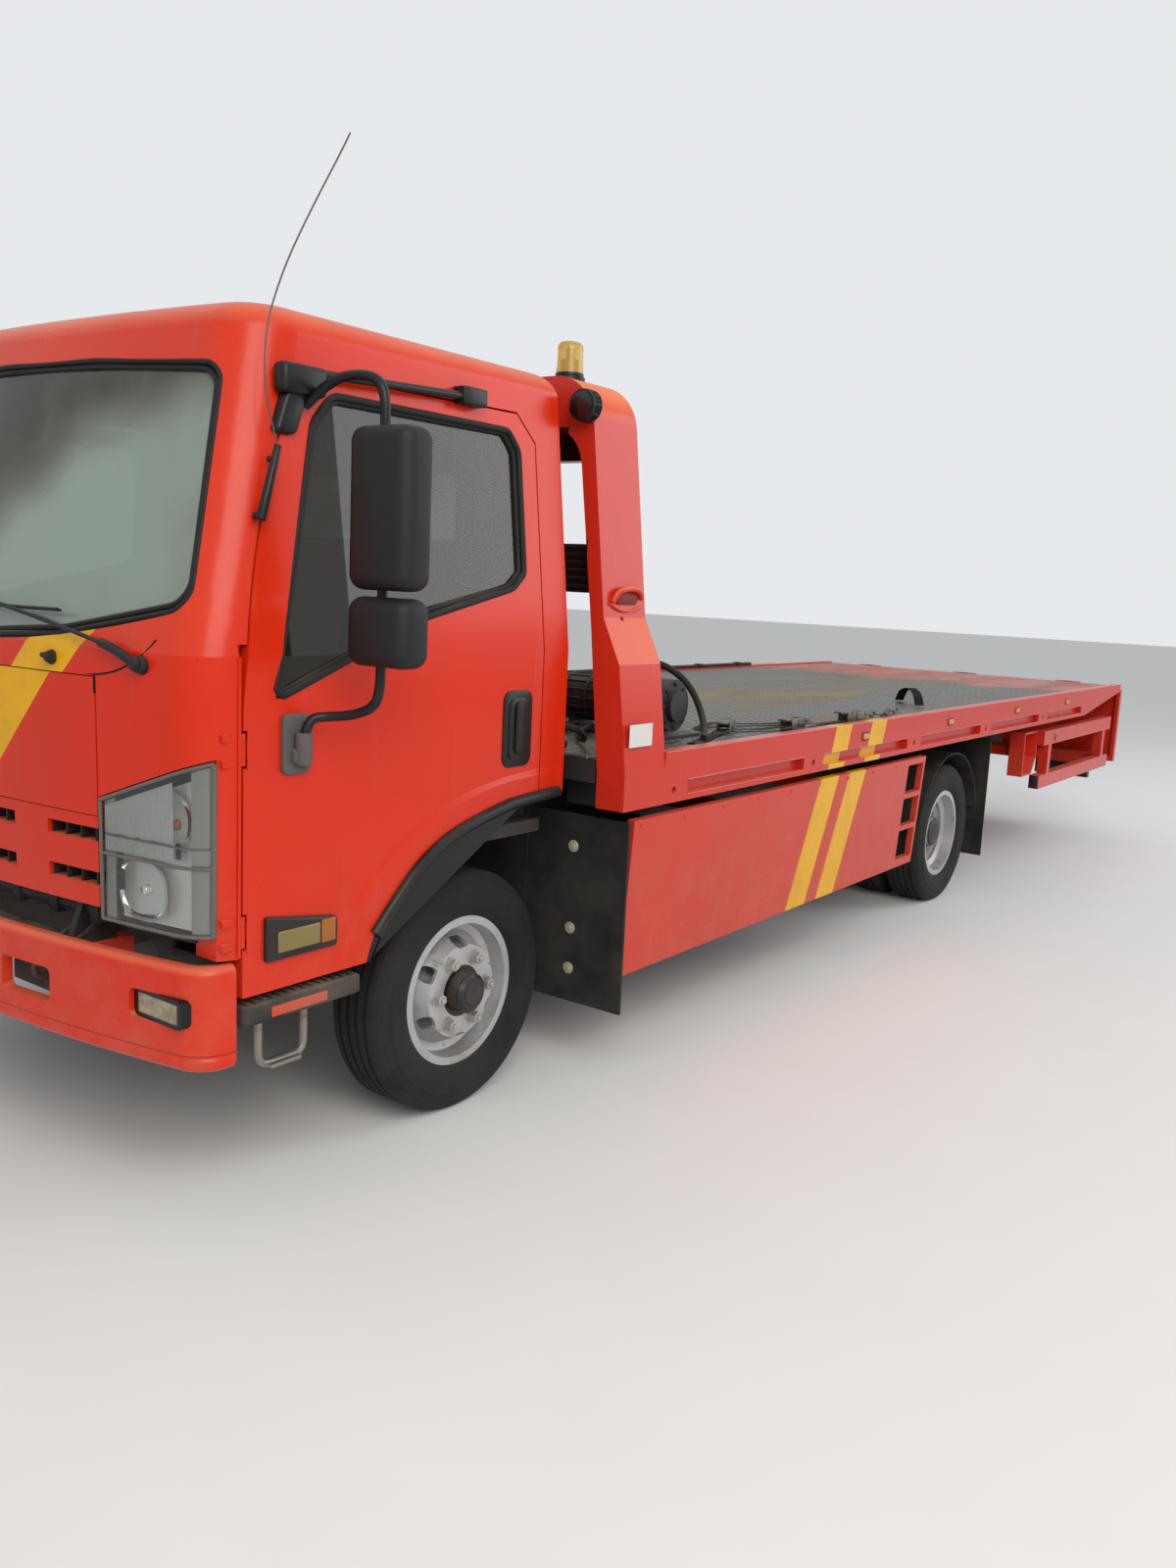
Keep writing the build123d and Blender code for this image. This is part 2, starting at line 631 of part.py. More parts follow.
# columns: axle x, spring y, half span, seat height, eye height, thickness
SPRINGS = (
    (FX, 392, 560, AXLE_Z + 20, 520, 60),
    (RX, 470, 620, AXLE_Z + 150, 600, 80),
)
with BuildPart() as leaf_springs:
    for side in (-1, 1):
        for axle_x, y, half_span, seat_z, eye_z, thick in SPRINGS:
            add(extrude(leaf_pack(axle_x, side * y, half_span, seat_z, eye_z, thick), amount=70))
            low = AXLE_Z - 40 if axle_x == FX else AXLE_Z + 65
            with Locations((axle_x, side * y, (seat_z - 20 + low) / 2)):
                Box(110, 70, seat_z - 20 - low)
            # hangers: under the rail in front, on its side at the rear
            hanger_top = RAIL_TOP - RAIL_HEIGHT if axle_x == FX else eye_z + 50
            hanger_in = y - 35 if axle_x == FX else FRAME_HALF
            for end in (-1, 1):
                with Locations((axle_x + end * half_span, side * (hanger_in + y + 35) / 2,
                                (eye_z - 24 + hanger_top) / 2)):
                    Box(70, y + 35 - hanger_in, hanger_top - eye_z + 24)
leaf_springs.part.label = "leaf_springs"
export_step(leaf_springs.part, "parts/leaf_springs.step")

# Propeller shaft
with BuildPart() as prop_shaft:
    with BuildLine() as shaft_line:
        Line((FX - 844, 0, 620), (RX + 284, -30, AXLE_Z + 30))
    with BuildSketch(Plane(origin=shaft_line.line @ 0, z_dir=shaft_line.line % 0)):
        Circle(45)
    sweep()
prop_shaft.part.label = "prop_shaft"
export_step(prop_shaft.part, "parts/prop_shaft.step")

# Tanks and boxes behind the side skirts
with BuildPart() as side_tanks:
    with Locations((FX - 1400, 700, 510)):
        Box(740, 400, 320)
    with Locations((FX - 1300, -700, 510)):
        Box(700, 400, 320)
    fillet(side_tanks.edges().filter_by(Axis.X), 50)
    for x in (FX - 1150, FX - 1650):
        with Locations((x, 468, 625)):
            Box(50, 86, 60)
    for x in (FX - 1050, FX - 1550):
        with Locations((x, -468, 625)):
            Box(50, 86, 60)
side_tanks.part.label = "side_tanks"
export_step(side_tanks.part, "parts/side_tanks.step")

# Front bumper: a bowed shell with openings for the tow eyes and the lamps, and returned ends
BUMPER_TOP = 686
BUMPER_LOW = 418
BUMPER_WALL = 30
BUMPER_END_X = FX + 915
BUMPER_CORNER_R = 100


def bumper_outline(inset):
    """Plan of the bumper moved in by an inset, open at the rear when it is inset."""
    with BuildSketch() as sketch:
        with BuildLine():
            half = CAB_HALF - inset
            side_nose = FX + 1010 - inset
            rear = BUMPER_END_X - (10 if inset else 0)
            Polyline((side_nose, -half), (rear, -half), (rear, half), (side_nose, half))
            ThreePointArc((side_nose, half), (FX + FRONT_OVERHANG - inset, 0), (side_nose, -half))
        face = make_face()
        fillet(face.vertices().group_by(Axis.X)[-1], BUMPER_CORNER_R - inset)
    return sketch.sketch


with BuildPart() as front_bumper:
    with BuildSketch(Plane.XY.offset(BUMPER_LOW)):
        add(bumper_outline(0))
    extrude(amount=BUMPER_TOP - BUMPER_LOW)
    fillet(front_bumper.faces().sort_by(Axis.Z)[-1].edges().sort_by(Axis.X)[1:], BUMPER_WALL - 6)
    fillet(front_bumper.faces().sort_by(Axis.Z)[0].edges().sort_by(Axis.X)[1:], BUMPER_WALL - 2)
    with BuildSketch(Plane.XY.offset(BUMPER_LOW - 1)):
        add(bumper_outline(BUMPER_WALL))
    extrude(amount=BUMPER_TOP - BUMPER_LOW + 2, mode=Mode.SUBTRACT)
    with BuildSketch(Plane.YZ.offset(BUMPER_END_X + 45)):
        with Locations((-390, 555), (390, 555)):
            RectangleRounded(200, 90, 18)
        with Locations((-870, 572), (870, 572)):
            RectangleRounded(190, 74, 18)
    extrude(amount=400, mode=Mode.SUBTRACT)
    # stays back to the frame
    for side in (-1, 1):
        with Locations((FX + 985, side * 560, 620)):
            Box(170, 12, 90)
        with Locations((FX + 905, side * 536, 620)):
            Box(12, 60, 90)
front_bumper.part.label = "front_bumper"
export_step(front_bumper.part, "parts/front_bumper.step")

# Steps below the doors, with a U-shaped foot loop under each
with BuildPart() as cab_steps:
    for side in (-1, 1):
        with Locations((FX + 695, side * 920, 540)):
            Box(400, 176, 58)
        with Locations((FX + 640, side * (860 + FRAME_HALF) / 2, 545)):
            Box(90, 860 - FRAME_HALF, 30)
        with Locations((FX + 640, side * (FRAME_HALF + 6), 585)):
            Box(90, 12, 110)
        with BuildLine() as loop_path:
            FilletPolyline(
                (FX + 800, side * 950, 515), (FX + 800, side * 950, 375),
                (FX + 650, side * 950, 375), (FX + 650, side * 950, 515), radius=30)
        with BuildSketch(Plane(origin=loop_path.line @ 0, z_dir=loop_path.line % 0)):
            Circle(11)
        sweep()
cab_steps.part.label = "cab_steps"
export_step(cab_steps.part, "parts/cab_steps.step")

# Side skirts: flat panels leaning in at the bottom, with an open ladder at the rear
SKIRT_LEAN = 3.5
SKIRT_THICK = 28
LADDER_POST = 22
# columns: lower edge, upper edge of each ladder opening, down from the skirt's top
LADDER_OPENINGS = ((30, 170), (195, 330), (355, 500))
with BuildPart() as side_skirts:
    skirt_plane = Plane(
        origin=(SKIRT_REAR_X, DECK_HALF - 2, SKIRT_TOP_Z), x_dir=(1, 0, 0),
        z_dir=(0, -cos(radians(SKIRT_LEAN)), sin(radians(SKIRT_LEAN))))
    skirt_height = (SKIRT_TOP_Z - SKIRT_LOW_Z) / cos(radians(SKIRT_LEAN))
    skirt_length = SKIRT_FRONT_X - SKIRT_REAR_X
    with BuildSketch(skirt_plane):
        with Locations((skirt_length / 2, -skirt_height / 2)):
            Rectangle(skirt_length, skirt_height)
        for low, high in LADDER_OPENINGS:
            with Locations((SKIRT_LADDER / 2, -(low + high) / 2)):
                Rectangle(SKIRT_LADDER - 2 * LADDER_POST, high - low, mode=Mode.SUBTRACT)
    extrude(amount=SKIRT_THICK)
    for x in OUTRIGGERS:
        with Locations((x, (FRAME_HALF + DECK_HALF - 42) / 2 + 0.2, 720)):
            Box(60, DECK_HALF - 42 - FRAME_HALF, 60)
    mirror(about=Plane.XZ)
side_skirts.part.label = "side_skirts"
export_step(side_skirts.part, "parts/side_skirts.step")

# Rubber flaps behind the front and rear wheels, and mudguards over the twin wheels
# columns: x, inner y, outer y, lower z, upper z
FLAPS = (
    (FX - 505, 690, 1188, 230, 880),
    (FX - 4300, 640, 1120, 190, 880),
)
GUARD_R = TYRE_R + 72
with BuildPart() as mudguards:
    for side in (-1, 1):
        for x, inner, outer, low, high in FLAPS:
            with Locations((x, side * (inner + outer) / 2, (low + high) / 2)):
                Box(10, outer - inner, high - low)
            with Locations((x - 12, side * (inner + 10 + FRAME_HALF) / 2, 765)):
                Box(34, inner + 10 - FRAME_HALF, 40)
        with BuildSketch(Plane.XZ.offset(-side * (DUAL_INNER_Y + DUAL_OUTER_Y) / 2 - 240)):
            with Locations((RX, AXLE_Z)):
                Circle(GUARD_R)
                Circle(GUARD_R - 8, mode=Mode.SUBTRACT)
            with Locations((RX, AXLE_Z - 400)):
                Rectangle(1200, 1000, mode=Mode.SUBTRACT)
        extrude(amount=480)
        for dx in (-250, 250):
            with Locations((RX + dx, side * (FRAME_HALF + 100), 760)):
                Box(40, 200, 30)
mudguards.part.label = "mudguards"
export_step(mudguards.part, "parts/mudguards.step")


def bracket_outline(grow):
    """Side view of the bracket behind the rear flap."""
    with BuildSketch() as sketch:
        with BuildLine():
            Polyline((FX - 4860, 870), (FX - 5120, 870), (FX - 5120, 700), (FX - 5050, 600),
                     (FX - 4860, 600), close=True)
        make_face()
        if grow:
            offset(amount=grow, kind=Kind.INTERSECTION)
    return sketch.sketch


# Rear guard: a welded cage along both sides and across the back, below the bed's tail
GUARD_FRONT_X = FX - 5150
GUARD_REAR_X = FX - 6800
GUARD_Y = 1150
GUARD_LOW_Z = 503
with BuildPart() as rear_guard:
    for side in (-1, 1):
        with Locations(((GUARD_FRONT_X + GUARD_REAR_X) / 2, side * GUARD_Y, 820)):
            Box(GUARD_FRONT_X - GUARD_REAR_X, 60, 90)
        with Locations(((GUARD_FRONT_X + GUARD_REAR_X) / 2 + 20, side * GUARD_Y, 545)):
            Box(GUARD_FRONT_X - GUARD_REAR_X + 40, 60, 84)
        for x in (GUARD_FRONT_X - 140, GUARD_REAR_X + 170):
            with Locations((x, side * GUARD_Y, 680)):
                Box(60, 60, 230)
        with Locations((GUARD_FRONT_X - 140, side * 780, 720)):
            Box(80, 2 * (780 - FRAME_HALF), 60)
    for z, height in ((740, 70), (545, 84)):
        with Locations((GUARD_REAR_X + 30, 0, z)):
            Box(60, 2 * GUARD_Y, height)
    for side in (-1, 1):
        with Locations((GUARD_REAR_X + 30, side * 380, 640)):
            Box(60, 60, 200)
        with Locations(((GUARD_REAR_X + 60 + FRAME_REAR_X) / 2, side * 380, 690)):
            Box(FRAME_REAR_X - GUARD_REAR_X - 60, 90, 160)
        # bracket ahead of the cage: a shallow box open outwards, one lower corner cut off
        with BuildSketch(Plane.XZ.offset(-side * 1100 - 45)):
            add(bracket_outline(0))
        extrude(amount=90)
        with BuildSketch(Plane.XZ.offset(-side * (1100 + 10) - 45)):
            add(bracket_outline(-10))
        extrude(amount=90, mode=Mode.SUBTRACT)
        with Locations((FX - 5000, side * (1055 + FRAME_HALF) / 2, 740)):
            Box(80, 1055 - FRAME_HALF, 60)
rear_guard.part.label = "rear_guard"
export_step(rear_guard.part, "parts/rear_guard.step")

# Lamps on the chassis: fog lamps in the bumper's recesses, rear lamps under the guard
with BuildPart() as chassis_lamps:
    for side in (-1, 1):
        with BuildSketch(Plane.YZ.offset(FX + 980)):
            with Locations((side * 870, 572)):
                RectangleRounded(189, 73, 18)
        extrude(amount=60)
        with Locations((GUARD_REAR_X + 30, side * 880, GUARD_LOW_Z - 50)):
            Box(60, 380, 100)
    add(front_bumper.part, mode=Mode.SUBTRACT)
chassis_lamps.part.label = "chassis_lamps"
export_step(chassis_lamps.part, "parts/chassis_lamps.step")

# Exhaust silencer and tailpipe under the frame
with BuildPart() as exhaust:
    with BuildSketch(Plane.YZ.offset(FX - 2350)):
        with Locations((-250, 480)):
            Circle(105)
    extrude(amount=700)
    with BuildSketch(Plane.YZ.offset(FX - 3250)):
        with Locations((-250, 480)):
            Circle(36)
    extrude(amount=2200)
    for x in (FX - 1750, FX - 2250):
        with Locations((x, -320, 585)):
            Box(30, 180, 9)
exhaust.part.label = "exhaust"
export_step(exhaust.part, "parts/exhaust.step")

# Steering knuckles: fork arms above and below the axle's eye, the kingpin and the stub
with BuildPart() as knuckle_left:
    for dz in (-1, 1):
        with Locations((FX, KINGPIN_Y, AXLE_Z + dz * 63.3)):
            Cylinder(38, 36)
        with Locations((FX, KINGPIN_Y + 32, AXLE_Z + dz * 63.3)):
            Box(70, 64, 36)
    with Locations((FX, KINGPIN_Y, AXLE_Z)):
        Cylinder(20, 160)
    with Locations((FX, KINGPIN_Y + 52, AXLE_Z)):
        Box(80, 26, 162)
    with BuildSketch(Plane.XZ.offset(-KINGPIN_Y - 60)):
        with Locations((FX, AXLE_Z)):
            Circle(STUB_R)
    extrude(amount=-120)
knuckle_left.part.label = "knuckle_left"
export_step(knuckle_left.part, "parts/knuckle_left.step")

with BuildPart() as knuckle_right:
    mirror(knuckle_left.part, about=Plane.XZ)
knuckle_right.part.label = "knuckle_right"
export_step(knuckle_right.part, "parts/knuckle_right.step")


# Wheel sections as (radius, across), across measured outwards from the tyre's middle
def tyre_section():
    """A tyre's section, with bulged walls, seated on the rim's flanges."""
    half = TYRE_WIDTH / 2
    rim_half = RIM_WIDTH / 2
    with BuildSketch() as sketch:
        with BuildLine():
            for across in (-1, 1):
                Polyline((RIM_R - 16, across * (rim_half - 16)), (RIM_R, across * (rim_half - 10)),
                         (RIM_R, across * rim_half), (RIM_R + 12, across * (rim_half + 2)))
                ThreePointArc((RIM_R + 12, across * (rim_half + 2)), (RIM_R + 60, across * half),
                              (TYRE_R - 24, across * (half - 10)))
                Line((TYRE_R - 24, across * (half - 10)), (TYRE_R, across * (half - 34)))
            Line((TYRE_R, 34 - half), (TYRE_R, half - 34))
            Line((RIM_R - 16, 16 - rim_half), (RIM_R - 16, rim_half - 16))
        make_face()
    return sketch.sketch


def rim_section(dish):
    """A rim's section: flanges and well, with a disc whose face stands at the dish."""
    half = RIM_WIDTH / 2
    with BuildSketch() as sketch:
        with BuildLine():
            Polyline(
                (RIM_R, -half), (RIM_R, -half + 10), (RIM_R - 16, -half + 16),
                (RIM_R - 22, -half + 50), (RIM_R - 50, -half + 62), (RIM_R - 50, half - 62),
                (RIM_R - 22, half - 50), (RIM_R - 16, half - 16), (RIM_R, half - 10),
                (RIM_R, half), (RIM_R - 24, half), (RIM_R - 32, half - 54), (RIM_R - 60, half - 66),
                (RIM_R - 60, -half + 66), (RIM_R - 32, -half + 54), (RIM_R - 24, -half), close=True)
        make_face()
        with BuildLine():
            Polyline(
                (HUB_R, dish), (HUB_R, dish - 12), (140, dish - 12), (RIM_R - 62, 2),
                (RIM_R - 56, 2), (RIM_R - 56, 20), (146, dish), close=True)
        make_face()
    return sketch.sketch


HUB_R = 82
FRONT_DRUM_R = 150
REAR_DRUM_R = 160
FRONT_DISH = 86
DUAL_DISH = DUAL_SPACING / 2
HAND_HOLES = 6
HAND_HOLE_R = 152
HAND_HOLE_LONG = 52
HAND_HOLE_SHORT = 30
front_section = Plane(origin=(FX, FRONT_WHEEL_Y, AXLE_Z), x_dir=(0, 0, 1), z_dir=(-1, 0, 0))
front_axis = Axis((FX, FRONT_WHEEL_Y, AXLE_Z), (0, 1, 0))
inner_section = Plane(origin=(RX, DUAL_INNER_Y, AXLE_Z), x_dir=(0, 0, 1), z_dir=(-1, 0, 0))
outer_section = Plane(origin=(RX, DUAL_OUTER_Y, AXLE_Z), x_dir=(0, 0, 1), z_dir=(1, 0, 0))
rear_axis = Axis((RX, DUAL_INNER_Y, AXLE_Z), (0, 1, 0))

# Front wheels: the disc bulges out to the rim's edge, with the drum behind and the cap in front
with BuildPart() as front_rim_left:
    with BuildSketch(front_section):
        add(rim_section(FRONT_DISH))
        with BuildLine():
            Polyline(
                (STUB_R + FIT, -72), (HUB_R, -72), (HUB_R, -60), (FRONT_DRUM_R, -60),
                (FRONT_DRUM_R, -5), (HUB_R, -5), (HUB_R, FRONT_DISH), (62, FRONT_DISH),
                (62, FRONT_DISH + 40), (50, FRONT_DISH + 50), (0, FRONT_DISH + 50), (0, 36),
                (STUB_R + FIT, 36), close=True)
        make_face()
    revolve(axis=front_axis)
    with BuildSketch(Plane.XZ.offset(-FRONT_WHEEL_Y - 2)):
        with Locations((FX, AXLE_Z)):
            with PolarLocations(HAND_HOLE_R, HAND_HOLES, 30):
                SlotOverall(HAND_HOLE_LONG, HAND_HOLE_SHORT, rotation=90)
    extrude(amount=-120, mode=Mode.SUBTRACT)
front_rim_left.part.label = "front_rim_left"
export_step(front_rim_left.part, "parts/front_rim_left.step")

with BuildPart() as front_rim_right:
    mirror(front_rim_left.part, about=Plane.XZ)
front_rim_right.part.label = "front_rim_right"
export_step(front_rim_right.part, "parts/front_rim_right.step")

with BuildPart() as front_tyre_left:
    with BuildSketch(front_section):
        add(tyre_section())
    revolve(axis=front_axis)
front_tyre_left.part.label = "front_tyre_left"
export_step(front_tyre_left.part, "parts/front_tyre_left.step")

with BuildPart() as front_tyre_right:
    mirror(front_tyre_left.part, about=Plane.XZ)
front_tyre_right.part.label = "front_tyre_right"
export_step(front_tyre_right.part, "parts/front_tyre_right.step")

# Twin rear wheels: the two discs stand face to face, so the outer one is deeply dished
with BuildPart() as rear_rims_left:
    with BuildSketch(inner_section):
        add(rim_section(DUAL_DISH))
        with BuildLine():
            Polyline(
                (DUAL_STUB_R + FIT, -82), (REAR_DRUM_R, -82), (REAR_DRUM_R, 4), (HUB_R, 4),
                (HUB_R, 276), (72, 288), (0, 288), (0, 259), (DUAL_STUB_R + FIT, 259), close=True)
        make_face()
    revolve(axis=rear_axis)
    with BuildSketch(outer_section):
        add(rim_section(DUAL_DISH))
    revolve(axis=rear_axis)
    with BuildSketch(Plane.XZ.offset(-DUAL_INNER_Y - 6)):
        with Locations((RX, AXLE_Z)):
            with PolarLocations(HAND_HOLE_R, HAND_HOLES, 30):
                SlotOverall(HAND_HOLE_LONG, HAND_HOLE_SHORT, rotation=90)
    extrude(amount=-DUAL_SPACING + 8, mode=Mode.SUBTRACT)
rear_rims_left.part.label = "rear_rims_left"
export_step(rear_rims_left.part, "parts/rear_rims_left.step")

with BuildPart() as rear_rims_right:
    mirror(rear_rims_left.part, about=Plane.XZ)
rear_rims_right.part.label = "rear_rims_right"
export_step(rear_rims_right.part, "parts/rear_rims_right.step")

with BuildPart() as rear_tyres_left:
    with BuildSketch(inner_section):
        add(tyre_section())
    revolve(axis=rear_axis)
    with BuildSketch(outer_section):
        add(tyre_section())
    revolve(axis=rear_axis)
rear_tyres_left.part.label = "rear_tyres_left"
export_step(rear_tyres_left.part, "parts/rear_tyres_left.step")

with BuildPart() as rear_tyres_right:
    mirror(rear_tyres_left.part, about=Plane.XZ)
rear_tyres_right.part.label = "rear_tyres_right"
export_step(rear_tyres_right.part, "parts/rear_tyres_right.step")

# Tilt frame: two I-section rails on the pivot with the cylinder lugs, and their cross members
SUBRAIL_WALL = 10
SUBRAIL_MID = (SUBRAIL_LOW + SUBRAIL_TOP) / 2
SUBRAIL_HEIGHT = SUBRAIL_TOP - SUBRAIL_LOW
TILT_FRONT_X = FX - 520
TILT_CROSS = (FX - 580, FX - 1500, FX - 2300, FX - 3100, FX - 4500, FX - 5400, FX - 6300)
TILT_CROSS_TOP = 845
EYE_HALF = 20
LUG_GAP = 12
LUG_THICK = 12
with BuildPart() as tilt_rails:
    for side in (-1, 1):
        with BuildSketch(Plane.YZ.offset(PIVOT_X)):
            with Locations((side * BEAM_Y, SUBRAIL_MID)):
                Rectangle(SUBRAIL_FLANGE, SUBRAIL_HEIGHT)
            for edge in (-1, 1):
                with Locations((side * BEAM_Y + edge * (SUBRAIL_FLANGE + SUBRAIL_WALL) / 4, SUBRAIL_MID)):
                    Rectangle((SUBRAIL_FLANGE - SUBRAIL_WALL) / 2, SUBRAIL_HEIGHT - 2 * SUBRAIL_WALL,
                              mode=Mode.SUBTRACT)
        extrude(amount=TILT_FRONT_X - PIVOT_X)
        # rounded rear end with the pivot's bore
        with BuildSketch(Plane.XZ.offset(-side * BEAM_Y - 30)):
            with Locations((PIVOT_X + 60, SUBRAIL_MID)):
                Rectangle(120, SUBRAIL_HEIGHT)
            with Locations((PIVOT_X, PIVOT_Z)):
                Circle(SUBRAIL_HEIGHT / 2)
        extrude(amount=60)
        with BuildSketch(Plane.XZ.offset(-side * BEAM_Y - 50)):
            with Locations((PIVOT_X, PIVOT_Z)):
                Circle(PIVOT_PIN_R + FIT)
        extrude(amount=100, mode=Mode.SUBTRACT)
        # lugs either side of each tilt rod's eye, on an arm from the rail
        for edge in (-1, 1):
            lug_y = side * TILT_CYL_Y + edge * (EYE_HALF + LUG_GAP + LUG_THICK / 2)
            with BuildSketch(Plane.XZ.offset(-lug_y - LUG_THICK / 2)):
                with BuildLine():
                    Polyline((TILT_EYE[0] - 60, SUBRAIL_TOP - 10), (TILT_EYE[0] + 60, SUBRAIL_TOP - 10),
                             (TILT_EYE[0] + 34, TILT_EYE[1]), (TILT_EYE[0] - 34, TILT_EYE[1]), close=True)
                make_face()
                with Locations(TILT_EYE):
                    Circle(34)
            extrude(amount=LUG_THICK)
        with Locations((TILT_EYE[0], side * (TILT_CYL_Y + BEAM_Y - 43) / 2, SUBRAIL_TOP - 26)):
            Box(100, BEAM_Y - TILT_CYL_Y + 33, 32)
tilt_rails.part.label = "tilt_rails"
export_step(tilt_rails.part, "parts/tilt_rails.step")

with BuildPart() as tilt_cross:
    cross_seat_z = SUBRAIL_LOW + SUBRAIL_WALL + SEAT_GAP
    for x in TILT_CROSS:
        with Locations((x, 0, (cross_seat_z + TILT_CROSS_TOP) / 2)):
            Box(80, 2 * BEAM_Y - SUBRAIL_WALL - 2 * SEAT_GAP, TILT_CROSS_TOP - cross_seat_z)
tilt_cross.part.label = "tilt_cross"
export_step(tilt_cross.part, "parts/tilt_cross.step")

# Slide cylinder: the barrel on the tilt frame, the rod on the bed
SLIDE_Z = 897
SLIDE_FRONT_X = FX - 1050
SLIDE_REAR_X = FX - 4300
SLIDE_LUG_X = FX - 4450
SLIDE_BARREL_R = 48
SLIDE_BORE_R = 38
SLIDE_ROD_R = 30
SLIDE_GLAND = 100
with BuildPart() as slide_barrel:
    with BuildSketch(Plane.YZ.offset(SLIDE_REAR_X)):
        with Locations((0, SLIDE_Z)):
            Circle(SLIDE_BARREL_R)
    extrude(amount=SLIDE_FRONT_X - SLIDE_REAR_X)
    for x in (TILT_CROSS[1], TILT_CROSS[3]):
        with Locations((x, 0, (TILT_CROSS_TOP + SLIDE_Z) / 2)):
            Box(60, 70, SLIDE_Z - TILT_CROSS_TOP)
    with BuildSketch(Plane.YZ.offset(SLIDE_REAR_X)):
        with Locations((0, SLIDE_Z)):
            Circle(SLIDE_ROD_R + FIT)
    extrude(amount=SLIDE_GLAND, mode=Mode.SUBTRACT)
    with BuildSketch(Plane.YZ.offset(SLIDE_REAR_X + SLIDE_GLAND)):
        with Locations((0, SLIDE_Z)):
            Circle(SLIDE_BORE_R)
    extrude(amount=SLIDE_FRONT_X - SLIDE_REAR_X - SLIDE_GLAND - 40, mode=Mode.SUBTRACT)
slide_barrel.part.label = "slide_barrel"
export_step(slide_barrel.part, "parts/slide_barrel.step")

CROSS_LOW = 1000
with BuildPart() as slide_rod:
    with BuildSketch(Plane.YZ.offset(SLIDE_LUG_X)):
        with Locations((0, SLIDE_Z)):
            Circle(SLIDE_ROD_R)
    extrude(amount=SLIDE_FRONT_X - 100 - SLIDE_LUG_X)
    with Locations((SLIDE_LUG_X, 0, (CROSS_LOW + SLIDE_Z - 37) / 2)):
        Box(50, 90, CROSS_LOW - SLIDE_Z + 37)
slide_rod.part.label = "slide_rod"
export_step(slide_rod.part, "parts/slide_rod.step")

# Tilt cylinders: a pair of barrels on the chassis tube, their rods reaching the frame's lugs
tilt_reach = hypot(TILT_EYE[0] - TILT_BASE[0], TILT_EYE[1] - TILT_BASE[1])
TILT_DIR = ((TILT_EYE[0] - TILT_BASE[0]) / tilt_reach, 0, (TILT_EYE[1] - TILT_BASE[1]) / tilt_reach)
TILT_BARREL_R = 50
TILT_BORE_R = 38
TILT_ROD_R = 28
TILT_BARREL_END = 950
TILT_GLAND = 80
with BuildPart() as tilt_barrels:
    for side in (-1, 1):
        barrel_plane = Plane(origin=(TILT_BASE[0], side * TILT_CYL_Y, TILT_BASE[1]), x_dir=(0, 1, 0), z_dir=TILT_DIR)
        with BuildSketch(barrel_plane.offset(30)):
            Circle(TILT_BARREL_R)
        extrude(amount=TILT_BARREL_END - 30)
        with BuildSketch(barrel_plane.offset(100)):
            Circle(TILT_BORE_R)
        extrude(amount=TILT_BARREL_END - TILT_GLAND - 100, mode=Mode.SUBTRACT)
        with BuildSketch(barrel_plane.offset(TILT_BARREL_END - TILT_GLAND)):
            Circle(TILT_ROD_R + FIT)
        extrude(amount=TILT_GLAND, mode=Mode.SUBTRACT)
        with BuildSketch(Plane.XZ.offset(-side * TILT_CYL_Y - 50)):
            with Locations(TILT_BASE):
                Circle(52)
        extrude(amount=100)
        with BuildSketch(Plane.XZ.offset(-side * TILT_CYL_Y - 50)):
            with Locations(TILT_BASE):
                Circle(TILT_BASE_R + FIT)
        extrude(amount=100, mode=Mode.SUBTRACT)
tilt_barrels.part.label = "tilt_barrels"
export_step(tilt_barrels.part, "parts/tilt_barrels.step")

with BuildPart() as tilt_rods:
    for side in (-1, 1):
        rod_plane = Plane(origin=(TILT_BASE[0], side * TILT_CYL_Y, TILT_BASE[1]), x_dir=(0, 1, 0), z_dir=TILT_DIR)
        with BuildSketch(rod_plane.offset(500)):
            Circle(TILT_ROD_R)
        extrude(amount=tilt_reach - 500)
        with BuildSketch(Plane.XZ.offset(-side * TILT_CYL_Y - EYE_HALF)):
            with Locations(TILT_EYE):
                Circle(34)
        extrude(amount=2 * EYE_HALF)
        with BuildSketch(Plane.XZ.offset(-side * TILT_CYL_Y - EYE_HALF - 3)):
            with Locations(TILT_EYE):
                Circle(20)
        extrude(amount=2 * EYE_HALF + 6)
tilt_rods.part.label = "tilt_rods"
export_step(tilt_rods.part, "parts/tilt_rods.step")

# Bed frame: side rails with long pockets, beams with hold-down hooks, cross members and hinges
HEAD_REAR_X = FX - 700
RAIL_INNER = DECK_HALF - 60
RAIL_CHANNEL = 20
CHANNEL_LOW = DECK_RAIL_LOW + 25
CHANNEL_TOP = DECK_PLATE_TOP - DECK_PLATE + SEAT_GAP
CHANNEL_REAR_X = FX - 5900
BEAM_WIDTH = 70
BED_CROSS = (FX - 1000, FX - 1600, FX - 2200, FX - 2800, FX - 3400, FX - 3950, SLIDE_LUG_X, FX - 5050,
             FX - 5650)
TAIL_CROSS = (FX - 6250, DECK_TAIL_X + 25)
POCKET_ENDS = (
    (FX - 850, FX - 1745), (FX - 1920, FX - 2838), (FX - 3010, FX - 3876), (FX - 4048, FX - 4937),
    (FX - 5109, FX - 5900),
)
KEYHOLES = (FX - 762, FX - 1832, FX - 2924, FX - 3962, FX - 5023)
HOOKS = (FX - 900, FX - 1900, FX - 3300)
FLAP_HINGE_X = TAIL_X + FLAP_THICK / 2
FLAP_HINGE_Z = 1076
FLAP_HINGES = (-800, 0, 800)
FLAP_PIN_R = 8
FLAP_KNUCKLE_R = 15
